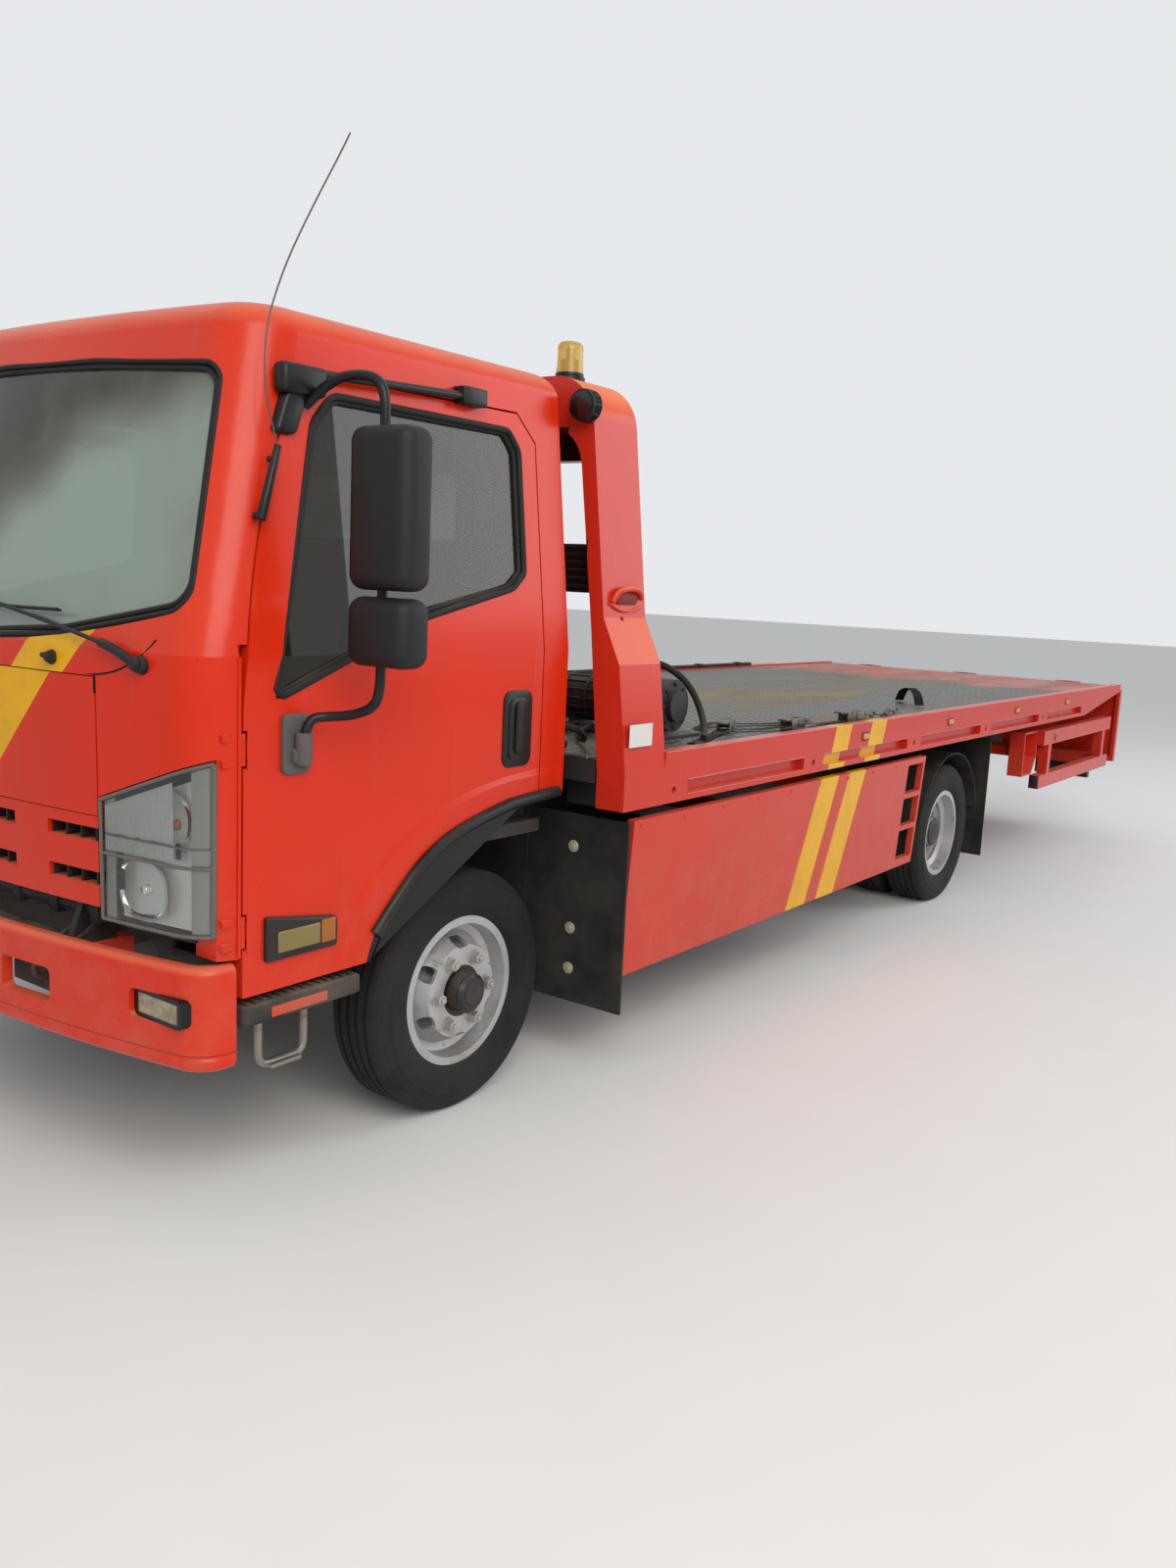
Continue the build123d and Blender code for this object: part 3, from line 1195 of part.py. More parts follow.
with BuildPart() as bed_rails:
    for side in (-1, 1):
        with BuildSketch(Plane.XZ.offset(-side * (DECK_HALF + RAIL_INNER) / 2 - 30)):
            with BuildLine():
                Polyline(
                    (HEAD_REAR_X, DECK_RAIL_LOW), (FX - 6000, DECK_RAIL_LOW), (FX - 6893, 1038),
                    (DECK_TAIL_X, 1044), (DECK_TAIL_X, DECK_RAIL_TOP), (HEAD_REAR_X, DECK_RAIL_TOP),
                    close=True)
            make_face()
        extrude(amount=60)
        for front, rear in POCKET_ENDS:
            with Locations(((front + rear) / 2, side * (DECK_HALF - 15), 965)):
                Box(front - rear, 30, 50, mode=Mode.SUBTRACT)
        # the rail is a channel, open inwards, that holds the cross members' ends
        with Locations(((HEAD_REAR_X + CHANNEL_REAR_X) / 2, side * (RAIL_INNER + RAIL_CHANNEL / 2),
                        (CHANNEL_LOW + CHANNEL_TOP) / 2)):
            Box(HEAD_REAR_X - CHANNEL_REAR_X, RAIL_CHANNEL, CHANNEL_TOP - CHANNEL_LOW, mode=Mode.SUBTRACT)
        with BuildSketch(Plane.XZ.offset(-side * (DECK_HALF + RAIL_INNER) / 2 - 40)):
            with Locations(*[(x, 962) for x in KEYHOLES]):
                Circle(13)
        extrude(amount=80, mode=Mode.SUBTRACT)
bed_rails.part.label = "bed_rails"
export_step(bed_rails.part, "parts/bed_rails.step")

with BuildPart() as bed_beams:
    for side in (-1, 1):
        with Locations(((DECK_FRONT_X + DECK_TAIL_X) / 2, side * BEAM_Y,
                        (SUBRAIL_TOP + SLIDE_SEAT + CROSS_LOW) / 2)):
            Box(DECK_FRONT_X - DECK_TAIL_X, BEAM_WIDTH, CROSS_LOW - SUBRAIL_TOP - SLIDE_SEAT)
        for x in HOOKS:
            with Locations((x, side * 438, (865 + 960) / 2)):
                Box(120, 12, 95)
            with Locations((x, side * 422, 871)):
                Box(120, 44, 12)
            with Locations((x, side * 428, 930)):
                Box(120, 30, 60)
bed_beams.part.label = "bed_beams"
export_step(bed_beams.part, "parts/bed_beams.step")

FRONT_PLATE_HALF = 1070
with BuildPart() as bed_cross:
    cross_z = (CROSS_LOW + DECK_PLATE_TOP - DECK_PLATE) / 2
    cross_height = DECK_PLATE_TOP - DECK_PLATE - CROSS_LOW
    for x in BED_CROSS:
        with Locations((x, 0, cross_z)):
            Box(50, 2 * (RAIL_INNER + RAIL_CHANNEL - SEAT_GAP), cross_height)
    for x in TAIL_CROSS:
        with Locations((x, 0, cross_z)):
            Box(50, 2 * (RAIL_INNER - SEAT_GAP), cross_height)
    with Locations((DECK_FRONT_X - 30, 0, cross_z)):
        Box(60, 2 * FRONT_PLATE_HALF, cross_height)
    for y in FLAP_HINGES:
        with Locations(((FLAP_HINGE_X + DECK_TAIL_X + 10) / 2, y, FLAP_HINGE_Z - 5)):
            Box(DECK_TAIL_X + 10 - FLAP_HINGE_X, 58, 16)
        with BuildSketch(Plane.XZ.offset(-y - 29)):
            with Locations((FLAP_HINGE_X, FLAP_HINGE_Z)):
                Circle(FLAP_KNUCKLE_R)
        extrude(amount=58)
        with BuildSketch(Plane.XZ.offset(-y - 90)):
            with Locations((FLAP_HINGE_X, FLAP_HINGE_Z)):
                Circle(FLAP_PIN_R)
        extrude(amount=180)
bed_cross.part.label = "bed_cross"
export_step(bed_cross.part, "parts/bed_cross.step")

# Bed floor of tread plate between the side rails, with a seam between load platform and winch floor
DECK_SEAM_X = FX - 1400
with BuildPart() as deck_plate:
    with BuildSketch(Plane.XY.offset(DECK_PLATE_TOP - DECK_PLATE)):
        with Locations(((HEAD_REAR_X + DECK_TAIL_X) / 2, 0)):
            Rectangle(HEAD_REAR_X - DECK_TAIL_X, 2 * RAIL_INNER)
        with Locations(((HEAD_REAR_X + DECK_FRONT_X) / 2, 0)):
            Rectangle(DECK_FRONT_X - HEAD_REAR_X, 2 * FRONT_PLATE_HALF)
    extrude(amount=DECK_PLATE)
    with Locations((DECK_SEAM_X, 0, DECK_PLATE_TOP)):
        Box(6, 2 * RAIL_INNER, 4, mode=Mode.SUBTRACT)
deck_plate.part.label = "deck_plate"
export_step(deck_plate.part, "parts/deck_plate.step")

# Headboard: folded box columns leaning in above their fold, an arched cross bar and two dark bars
HEAD_TOP_Z = 2290
with BuildPart() as headboard:
    with BuildSketch(Plane.YZ.offset(HEAD_REAR_X)):
        with BuildLine():
            Polyline((0, HEAD_TOP_Z - 160), (0, HEAD_TOP_Z), (845, HEAD_TOP_Z))
            ThreePointArc((845, HEAD_TOP_Z), (956, 2244), (1004, 2140))
            Polyline((1004, 2140), (1076, 1537), (1146, 1389), (DECK_HALF, 1040), (DECK_HALF, DECK_RAIL_LOW),
                     (1080, DECK_RAIL_LOW), (1080, 1030), (1028, 1509), (962, 2010))
            ThreePointArc((962, 2010), (920, 2096), (830, HEAD_TOP_Z - 160))
            Line((830, HEAD_TOP_Z - 160), (0, HEAD_TOP_Z - 160))
        make_face()
        mirror(about=Plane.YZ)
    extrude(amount=DECK_FRONT_X - HEAD_REAR_X)
    # columns: bar middle height, bar height, half width inside the columns
    for z, height, half in ((1690, 160, 1030), (2090, 100, 940)):
        with Locations((FX - 630, 0, z)):
            Box(60, 2 * half, height)
headboard.part.label = "headboard"
export_step(headboard.part, "parts/headboard.step")

# Lamps on the headboard: a beacon over the left column and a finned work lamp on each side
with BuildPart() as headboard_lamps:
    with Locations((FX - 580, 806, HEAD_TOP_Z + 11)):
        Cylinder(50, 22)
    with Locations((FX - 580, 806, HEAD_TOP_Z + 76)):
        Cylinder(44, 110)
    for side in (-1, 1):
        with BuildSketch(Plane.YZ.offset(DECK_FRONT_X)):
            with Locations((side * 984, 2189)):
                Circle(50)
        extrude(amount=48)
headboard_lamps.part.label = "headboard_lamps"
export_step(headboard_lamps.part, "parts/headboard_lamps.step")

# Winch behind the headboard: frame, gearbox and motor, and the drum between the side plates
WINCH_X = FX - 1150
WINCH_Z = 1205
WINCH_PLATES = (-230, 330)
WINCH_JOURNAL_R = 25
with BuildPart() as winch_frame:
    with Locations((WINCH_X, 315, DECK_PLATE_TOP + 6)):
        Box(300, 1290, 12)
    for y in WINCH_PLATES:
        with BuildSketch(Plane.XZ.offset(-y - 6)):
            with BuildLine():
                Polyline((WINCH_X - 130, DECK_PLATE_TOP + 2), (WINCH_X + 130, DECK_PLATE_TOP + 2),
                         (WINCH_X + 90, 1310), (WINCH_X - 90, 1310), close=True)
            make_face()
        extrude(amount=12)
    with BuildSketch(Plane.XZ.offset(-WINCH_PLATES[1])):
        with Locations((WINCH_X - 70, 1295), (WINCH_X + 70, 1295)):
            Circle(9)
    extrude(amount=WINCH_PLATES[1] - WINCH_PLATES[0])
    # columns: outer y, radius, length
    for y, radius, length in ((-236, 92, 110), (786, 88, 450), (930, 98, 150), (952, 60, 40)):
        with BuildSketch(Plane.XZ.offset(-y)):
            with Locations((WINCH_X, WINCH_Z)):
                Circle(radius)
        extrude(amount=length)
    for y in (500, 850):
        with Locations((WINCH_X, y, (DECK_PLATE_TOP + WINCH_Z) / 2)):
            Box(120, 30, WINCH_Z - DECK_PLATE_TOP)
    with BuildSketch(Plane.XZ.offset(-WINCH_PLATES[1] - 6)):
        with Locations((WINCH_X, WINCH_Z)):
            Circle(WINCH_JOURNAL_R + FIT)
    extrude(amount=WINCH_PLATES[1] - WINCH_PLATES[0] + 12, mode=Mode.SUBTRACT)
winch_frame.part.label = "winch_frame"
export_step(winch_frame.part, "parts/winch_frame.step")

with BuildPart() as winch_drum:
    # columns: outer y, radius, length
    for y, radius, length in ((320, 100, 12), (-208, 100, 12), (310, 82, 520), (335, WINCH_JOURNAL_R, 570)):
        with BuildSketch(Plane.XZ.offset(-y)):
            with Locations((WINCH_X, WINCH_Z)):
                Circle(radius)
        extrude(amount=length)
winch_drum.part.label = "winch_drum"
export_step(winch_drum.part, "parts/winch_drum.step")

# Tail flap: a full-width tray hanging from the hinges at the bed's tail
FLAP_LOW_Z = 520
FLAP_TOP_Z = 1058
FLAP_PANELS = 4
with BuildPart() as tail_flap:
    with Locations((TAIL_X + FLAP_THICK / 2, 0, (FLAP_LOW_Z + FLAP_TOP_Z) / 2)):
        Box(FLAP_THICK, 2 * DECK_HALF, FLAP_TOP_Z - FLAP_LOW_Z)
    with Locations((TAIL_X + 6 + FLAP_THICK / 2, 0, (FLAP_LOW_Z + FLAP_TOP_Z) / 2)):
        with GridLocations(0, 2 * DECK_HALF / FLAP_PANELS, 1, FLAP_PANELS):
            Box(FLAP_THICK, 2 * DECK_HALF / FLAP_PANELS - 50, FLAP_TOP_Z - FLAP_LOW_Z - 80, mode=Mode.SUBTRACT)
    for y in FLAP_HINGES:
        for edge in (-1, 1):
            knuckle_y = y + edge * 60
            with BuildSketch(Plane.XZ.offset(-knuckle_y - 30)):
                with Locations((FLAP_HINGE_X, FLAP_HINGE_Z)):
                    Circle(FLAP_KNUCKLE_R)
                with Locations((FLAP_HINGE_X, (FLAP_TOP_Z + FLAP_HINGE_Z) / 2 - 5)):
                    Rectangle(16, FLAP_HINGE_Z - FLAP_TOP_Z + 10)
            extrude(amount=60)
            with BuildSketch(Plane.XZ.offset(-knuckle_y - 30)):
                with Locations((FLAP_HINGE_X, FLAP_HINGE_Z)):
                    Circle(FLAP_PIN_R + FIT)
            extrude(amount=60, mode=Mode.SUBTRACT)
tail_flap.part.label = "tail_flap"
export_step(tail_flap.part, "parts/tail_flap.step")
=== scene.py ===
from math import atan2, cos, pi, radians, sin, sqrt, tau

import bmesh
import bpy
from mathutils import Matrix, Vector


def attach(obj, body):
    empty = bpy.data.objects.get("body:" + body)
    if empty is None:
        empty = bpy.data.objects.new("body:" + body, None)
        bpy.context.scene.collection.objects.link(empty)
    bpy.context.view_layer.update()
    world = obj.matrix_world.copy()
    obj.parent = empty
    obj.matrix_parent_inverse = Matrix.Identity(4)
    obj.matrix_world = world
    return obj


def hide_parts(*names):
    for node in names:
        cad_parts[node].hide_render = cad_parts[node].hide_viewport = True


# Slide-bed recovery truck. Metres, +X forward, +Y the truck's left, +Z up.
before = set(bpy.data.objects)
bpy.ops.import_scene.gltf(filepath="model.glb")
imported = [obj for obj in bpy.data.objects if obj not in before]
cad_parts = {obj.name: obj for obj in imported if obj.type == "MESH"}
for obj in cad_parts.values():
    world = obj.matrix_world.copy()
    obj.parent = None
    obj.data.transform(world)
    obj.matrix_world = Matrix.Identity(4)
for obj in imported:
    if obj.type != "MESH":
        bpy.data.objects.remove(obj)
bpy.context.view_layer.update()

# Studio: a pale floor, a plain pale surround, two wide soft lamps and the camera.
# The camera stands where the photograph was taken from, at the same angle and lens.
PALE = (0.86, 0.86, 0.85, 1)
PALE_PATCH = (0.82, 0.82, 0.81, 1)
BACKDROP = (0.80, 0.82, 0.84, 1)
SKY_LIGHT = (0.94, 0.97, 1, 1)
SKY_STRENGTH = 0.56
FLOOR_HALF = 60


def shade(tree, kind, feeds=(), **settings):
    """Adds a shader node with its settings, and feeds its sockets with values or other sockets."""
    made = tree.nodes.new("ShaderNode" + kind)
    for name, value in settings.items():
        setattr(made, name, value)
    for socket, feed in dict(feeds).items():
        if isinstance(feed, bpy.types.NodeSocket):
            tree.links.new(feed, made.inputs[socket])
        else:
            made.inputs[socket].default_value = feed
    return made


def calculate(tree, operation, first, second=0.0):
    """One operation on one or two values."""
    return shade(tree, "Math", {0: first, 1: second}, operation=operation).outputs[0]


def times(tree, first, second):
    """One value multiplied by another."""
    return calculate(tree, "MULTIPLY", first, second)


def plus(tree, first, second):
    """The sum of two values."""
    return calculate(tree, "ADD", first, second)


def minus(tree, first, second):
    """The first value less the second."""
    return calculate(tree, "SUBTRACT", first, second)


def spans(tree, value, low, high):
    """A smooth mask: 0 at the low value, 1 at the high one."""
    made = shade(tree, "MapRange", {"Value": value, "From Min": low, "From Max": high},
                 interpolation_type="SMOOTHSTEP")
    return made.outputs["Result"]


def layer(tree, mask, under, over):
    """One colour laid over another where the mask is 1."""
    return shade(tree, "Mix", {0: mask, 6: under, 7: over}, data_type="RGBA").outputs[2]


world = bpy.data.worlds.new("studio")
bpy.context.scene.world = world
world.use_nodes = True
sky = world.node_tree
sky.nodes.clear()
rays = shade(sky, "LightPath")
seen = calculate(sky, "MAXIMUM", rays.outputs["Is Camera Ray"], rays.outputs["Is Glossy Ray"])
seen = calculate(sky, "MAXIMUM", seen, rays.outputs["Is Transmission Ray"])
light = shade(sky, "Background", {"Color": SKY_LIGHT, "Strength": SKY_STRENGTH})
backdrop = shade(sky, "Background", {"Color": BACKDROP, "Strength": 1.0})
mixed = shade(sky, "MixShader", {0: seen, 1: light.outputs[0], 2: backdrop.outputs[0]})
shade(sky, "OutputWorld", {0: mixed.outputs[0]})

floor_paint = bpy.data.materials.new("studio_floor")
floor_paint.use_nodes = True
tree = floor_paint.node_tree
coordinates = shade(tree, "TexCoord")
grit = shade(tree, "TexNoise", {"Vector": coordinates.outputs["Object"], "Scale": 3.0, "Detail": 4.0})
tree.nodes["Principled BSDF"].inputs["Roughness"].default_value = 0.9
tree.links.new(layer(tree, grit.outputs["Fac"], PALE, PALE_PATCH),
               tree.nodes["Principled BSDF"].inputs["Base Color"])
form = bmesh.new()
bmesh.ops.create_grid(form, x_segments=1, y_segments=1, size=FLOOR_HALF)
mesh = bpy.data.meshes.new("floor")
form.to_mesh(mesh)
form.free()
mesh.materials.append(floor_paint)
floor = bpy.data.objects.new("floor", mesh)
bpy.context.scene.collection.objects.link(floor)

# columns: name, place, aimed at, size, watts, colour
LAMPS = (
    ("key", (7.5, 7.5, 6.5), (0.8, 0.6, 0.9), 6.0, 560, (1.0, 0.94, 0.86)),
    ("fill", (-6.5, 7.0, 5.0), (-1.5, 0.5, 0.8), 6.0, 260, (0.93, 0.96, 1.0)),
)
for name, place_at, aim, size, watts, colour in LAMPS:
    lamp = bpy.data.lights.new(name, "AREA")
    lamp.size = size
    lamp.energy = watts
    lamp.color = colour
    holder = bpy.data.objects.new(name, lamp)
    holder.location = place_at
    holder.rotation_euler = (Vector(aim) - Vector(place_at)).to_track_quat("-Z", "Y").to_euler()
    bpy.context.scene.collection.objects.link(holder)

EYE = (5.7149, 3.3709, 1.6366)
YAW = radians(215.7024)
PITCH = radians(9.1489)
ROLL = radians(2.7412)
LENS = 28.37
ahead = Vector((cos(PITCH) * cos(YAW), cos(PITCH) * sin(YAW), -sin(PITCH)))
level = ahead.cross(Vector((0, 0, 1))).normalized()
upright = level.cross(ahead)
across = level * cos(ROLL) + upright * sin(ROLL)
upward = upright * cos(ROLL) - level * sin(ROLL)
camera_data = bpy.data.cameras.new("camera")
camera_data.sensor_width = 36
camera_data.lens = LENS
camera = bpy.data.objects.new("camera", camera_data)
camera.matrix_world = Matrix.Translation(EYE) @ Matrix((across, upward, -ahead)).transposed().to_4x4()
bpy.context.scene.collection.objects.link(camera)
bpy.context.scene.camera = camera
bpy.context.scene.view_settings.view_transform = "Standard"

# Chassis: ladder frame, axles, springs, tanks, shaft, silencer and knuckles.
# Pressed and welded steel under black paint, grey with road dust and brown where it has rusted.
FRONT_AXLE_X = 2.940
REAR_AXLE_X = -0.875
AXLE_Z = 0.378


def tone(red, green, blue):
    """A colour given as it shows on a screen, 0 to 255, in linear light."""
    parts = [value / 255 for value in (red, green, blue)]
    return (*[p / 12.92 if p < 0.04045 else ((p + 0.055) / 1.055) ** 2.4 for p in parts], 1)


def new_group(name, takes, gives):
    """An empty shader group with its named sockets, and its two end nodes."""
    tree = bpy.data.node_groups.new(name, "ShaderNodeTree")
    for label, kind, value in takes:
        socket = tree.interface.new_socket(label, in_out="INPUT", socket_type="NodeSocket" + kind)
        socket.default_value = value
    for label, kind in gives:
        tree.interface.new_socket(label, in_out="OUTPUT", socket_type="NodeSocket" + kind)
    return tree, tree.nodes.new("NodeGroupInput").outputs, tree.nodes.new("NodeGroupOutput").inputs


def cloud(tree, place, scale, detail=4.0, stretch=(1, 1, 1)):
    """Soft random patches of a size, drawn out where the stretch is under 1."""
    stretched = shade(tree, "Mapping", {"Vector": place, "Scale": stretch})
    made = shade(tree, "TexNoise", {"Vector": stretched.outputs[0], "Scale": scale, "Detail": detail,
                                    "Roughness": 0.62})
    return made.outputs["Fac"]


# Grime: what lies on metal, plastic and rubber alike. Dust settles low down and on upward faces, rust
# comes in small patches, and a fine grain breaks up the surface.
grime, given, result = new_group(
    "grime",
    (("Base", "Color", tone(40, 40, 42)), ("Dirt", "Color", tone(120, 108, 92)),
     ("Dirt Amount", "Float", 0.4), ("Rust Amount", "Float", 0.1), ("Grain Size", "Float", 260.0),
     ("Grain Depth", "Float", 0.3), ("Smooth", "Float", 0.5)),
    (("Colour", "Color"), ("Roughness", "Float"), ("Normal", "Vector")))
spot = shade(grime, "TexCoord")
up = shade(grime, "SeparateXYZ", {0: spot.outputs["Normal"]}).outputs["Z"]
height = shade(grime, "SeparateXYZ", {0: spot.outputs["Object"]}).outputs["Z"]
patches = cloud(grime, spot.outputs["Object"], 5.0, 8.0)
low_dirt = times(grime, spans(grime, height, 1.3, 0.25), 0.7)
top_dirt = times(grime, spans(grime, up, 0.3, 1.0), 0.8)
dirt = times(grime, plus(grime, low_dirt, top_dirt), spans(grime, patches, 0.3, 0.68))
dirt = times(grime, dirt, given["Dirt Amount"])
rust_spots = spans(grime, cloud(grime, spot.outputs["Object"], 14.0, 9.0), 0.56, 0.66)
rust = times(grime, rust_spots, given["Rust Amount"])
dusty = layer(grime, calculate(grime, "MINIMUM", dirt, 1.0), given["Base"], given["Dirt"])
grime.links.new(layer(grime, rust, dusty, tone(104, 62, 38)), result["Colour"])
rough = plus(grime, given["Smooth"], times(grime, dirt, 0.4))
grime.links.new(plus(grime, rough, times(grime, rust, 0.3)), result["Roughness"])
grain = shade(grime, "TexNoise", {"Vector": spot.outputs["Object"], "Scale": given["Grain Size"],
                                  "Detail": 3.0}).outputs["Fac"]
bump = shade(grime, "Bump", {"Strength": given["Grain Depth"], "Distance": 0.0008,
                             "Height": plus(grime, grain, times(grime, rust, 2.0))})
grime.links.new(bump.outputs[0], result["Normal"])


def finish(name, group, metallic=0.0, coat=0.0, **values):
    """A material whose colour, roughness and normal come from a shared effect with its own values."""
    made = bpy.data.materials.new(name)
    made.use_nodes = True
    tree = made.node_tree
    shader = tree.nodes["Principled BSDF"]
    shader.inputs["Metallic"].default_value = metallic
    shader.inputs["Coat Weight"].default_value = coat
    shader.inputs["Specular IOR Level"].default_value = 0.5 if metallic else 0.3
    shader.inputs["Coat Roughness"].default_value = 0.12
    effect = tree.nodes.new("ShaderNodeGroup")
    effect.node_tree = group
    effect.name = "effect"
    for label, value in values.items():
        effect.inputs[label.replace("_", " ")].default_value = value
    tree.links.new(effect.outputs["Colour"], shader.inputs["Base Color"])
    tree.links.new(effect.outputs["Roughness"], shader.inputs["Roughness"])
    tree.links.new(effect.outputs["Normal"], shader.inputs["Normal"])
    return made


def dress(material, *nodes):
    """Gives a material to carried-over pieces."""
    for name in nodes:
        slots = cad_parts[name].material_slots
        for slot in slots:
            slot.material = material
        if not slots:
            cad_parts[name].data.materials.append(material)


chassis_black = finish("chassis_black", grime, Base=tone(38, 38, 41), Dirt_Amount=0.75, Rust_Amount=0.35)
cast_grey = finish("cast_grey", grime, metallic=0.5, Base=tone(82, 80, 78), Dirt_Amount=0.7, Rust_Amount=0.5)
galvanised = finish("galvanised", grime, metallic=0.8, Base=tone(128, 126, 122), Dirt_Amount=0.6,
                    Rust_Amount=0.5)
polished_rod = finish("polished_rod", grime, metallic=1.0, Base=tone(196, 198, 202), Dirt_Amount=0.15,
                      Rust_Amount=0.0, Smooth=0.12)
tank_black = finish("tank_black", grime, coat=0.2, Base=tone(48, 48, 50), Dirt_Amount=0.9, Rust_Amount=0.2)
dress(chassis_black, "frame_rails", "frame_brackets", "axles", "leaf_springs", "prop_shaft", "tilt_rails",
      "tilt_cross", "slide_barrel", "tilt_barrels")
dress(cast_grey, "engine", "knuckle_left", "knuckle_right")
dress(galvanised, "exhaust")
dress(tank_black, "side_tanks")
dress(polished_rod, "slide_rod", "tilt_rods")


def slab(low, high, edge=0.004, steps=2, corner=0, along=1):
    """A block between two corners with its edges rounded, and wider corners seen along one axis."""
    form = bmesh.new()
    size = Vector(high) - Vector(low)
    middle = (Vector(high) + Vector(low)) / 2
    bmesh.ops.create_cube(form, size=1, matrix=Matrix.Translation(middle) @ Matrix.Diagonal((*size, 1)))
    if corner:
        runs = {e: abs((e.verts[0].co - e.verts[1].co).normalized()[along]) for e in form.edges}
        upright = [e for e in form.edges if runs[e] > 0.9]
        bmesh.ops.bevel(form, geom=upright, offset=corner, segments=6, profile=0.5, affect="EDGES",
                        material=-1)
        rims = [e for e in form.edges if abs((e.verts[0].co - e.verts[1].co).normalized()[along]) < 0.1]
        bmesh.ops.bevel(form, geom=rims, offset=edge, segments=steps, profile=0.5, affect="EDGES",
                        material=-1)
    elif edge:
        bmesh.ops.bevel(form, geom=form.edges[:], offset=edge, segments=steps, profile=0.5,
                        affect="EDGES", material=-1, clamp_overlap=True)
    return form


def bar(start, end, radius, tip=None, sides=24, edge=0.0):
    """A round or many-sided bar between two points, tapered where the tip differs."""
    form = bmesh.new()
    line = Vector(end) - Vector(start)
    turn = Vector((0, 0, 1)).rotation_difference(line).to_matrix().to_4x4()
    seat = Matrix.Translation((Vector(start) + Vector(end)) / 2) @ turn
    bmesh.ops.create_cone(form, cap_ends=True, cap_tris=False, segments=sides, radius1=radius,
                          radius2=radius if tip is None else tip, depth=line.length, matrix=seat)
    if edge:
        rims = [e for e in form.edges if any(len(f.verts) > 4 for f in e.link_faces)]
        bmesh.ops.bevel(form, geom=rims, offset=edge, segments=2, profile=0.5, affect="EDGES",
                        material=-1, clamp_overlap=True)
    return form


def turned(profile, centre, axis=(0, 1, 0), steps=64):
    """A form spun about an axis through a centre, from a (radius, along) outline."""
    form = bmesh.new()
    ring = [form.verts.new((radius, 0, along)) for radius, along in profile]
    for first, second in zip(ring, ring[1:]):
        form.edges.new((first, second))
    bmesh.ops.spin(form, geom=form.verts[:] + form.edges[:], cent=(0, 0, 0), axis=(0, 0, 1), angle=tau,
                   steps=steps, use_merge=True)
    bmesh.ops.remove_doubles(form, verts=form.verts[:], dist=1e-5)
    bmesh.ops.recalc_face_normals(form, faces=form.faces[:])
    turn = Vector((0, 0, 1)).rotation_difference(Vector(axis)).to_matrix().to_4x4()
    bmesh.ops.transform(form, matrix=Matrix.Translation(centre) @ turn, verts=form.verts[:])
    return form


def tube(points, radius, closed=False, fine=6):
    """A round tube along a smooth line through a few control points."""
    line = bpy.data.curves.new("line", "CURVE")
    line.dimensions = "3D"
    line.bevel_depth = radius
    line.bevel_resolution = 4
    line.use_fill_caps = not closed
    spline = line.splines.new("NURBS")
    spline.points.add(len(points) - 1)
    for point, spot in zip(spline.points, points):
        point.co = (*spot, 1)
    spline.use_cyclic_u = closed
    spline.order_u = 3
    spline.use_endpoint_u = not closed
    spline.resolution_u = fine
    holder = bpy.data.objects.new("line", line)
    mesh = bpy.data.meshes.new_from_object(holder)
    form = bmesh.new()
    form.from_mesh(mesh)
    bmesh.ops.remove_doubles(form, verts=form.verts[:], dist=1e-5)
    bmesh.ops.recalc_face_normals(form, faces=form.faces[:])
    bpy.data.meshes.remove(mesh)
    bpy.data.objects.remove(holder)
    bpy.data.curves.remove(line)
    return form


def facing(form, side):
    """The form itself on the left, or turned into its mirror image on the right."""
    if side < 0:
        bmesh.ops.scale(form, vec=(1, -1, 1), verts=form.verts[:])
        bmesh.ops.reverse_faces(form, faces=form.faces[:])
    return form


def pair(*forms):
    """Forms of the left side, each with its mirror image on the right before it."""
    return [twin for form in forms for twin in (facing(form.copy(), -1), form)]


def place(name, body, slot, material, *forms, side=1, angle=38):
    """Joins forms into one piece, turned to its side, finished and fixed to its body."""
    whole = bmesh.new()
    for form in forms:
        facing(form, side)
        scrap = bpy.data.meshes.new("scrap")
        form.to_mesh(scrap)
        form.free()
        whole.from_mesh(scrap)
        bpy.data.meshes.remove(scrap)
    mesh = bpy.data.meshes.new(name)
    whole.to_mesh(mesh)
    whole.free()
    mesh.shade_smooth()
    mesh.set_sharp_from_angle(angle=radians(angle))
    mesh.materials.append(material)
    piece = bpy.data.objects.new(name, mesh)
    bpy.context.scene.collection.objects.link(piece)
    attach(piece, body)
    return piece


# Pipes along the frame rails: rubber hoses and brake lines, clipped to the rails' webs one above the
# other, from behind the cab to beyond the back axle
hose_rubber = finish("hose_rubber", grime, Base=tone(30, 30, 31), Dirt_Amount=0.5, Rust_Amount=0.0,
                     Smooth=0.7)
pipes = []
# columns: height, radius
for z, radius in ((0.740, 0.009), (0.715, 0.007), (0.685, 0.012)):
    pipes.append(tube([(2.2, 0.440, z), (0.6, 0.437, z - 0.010), (-0.2, 0.438, z - 0.005),
                       (-1.9, 0.440, z)], radius))
place("frame_pipes", "chassis", "rubber", hose_rubber, *pair(*pipes))

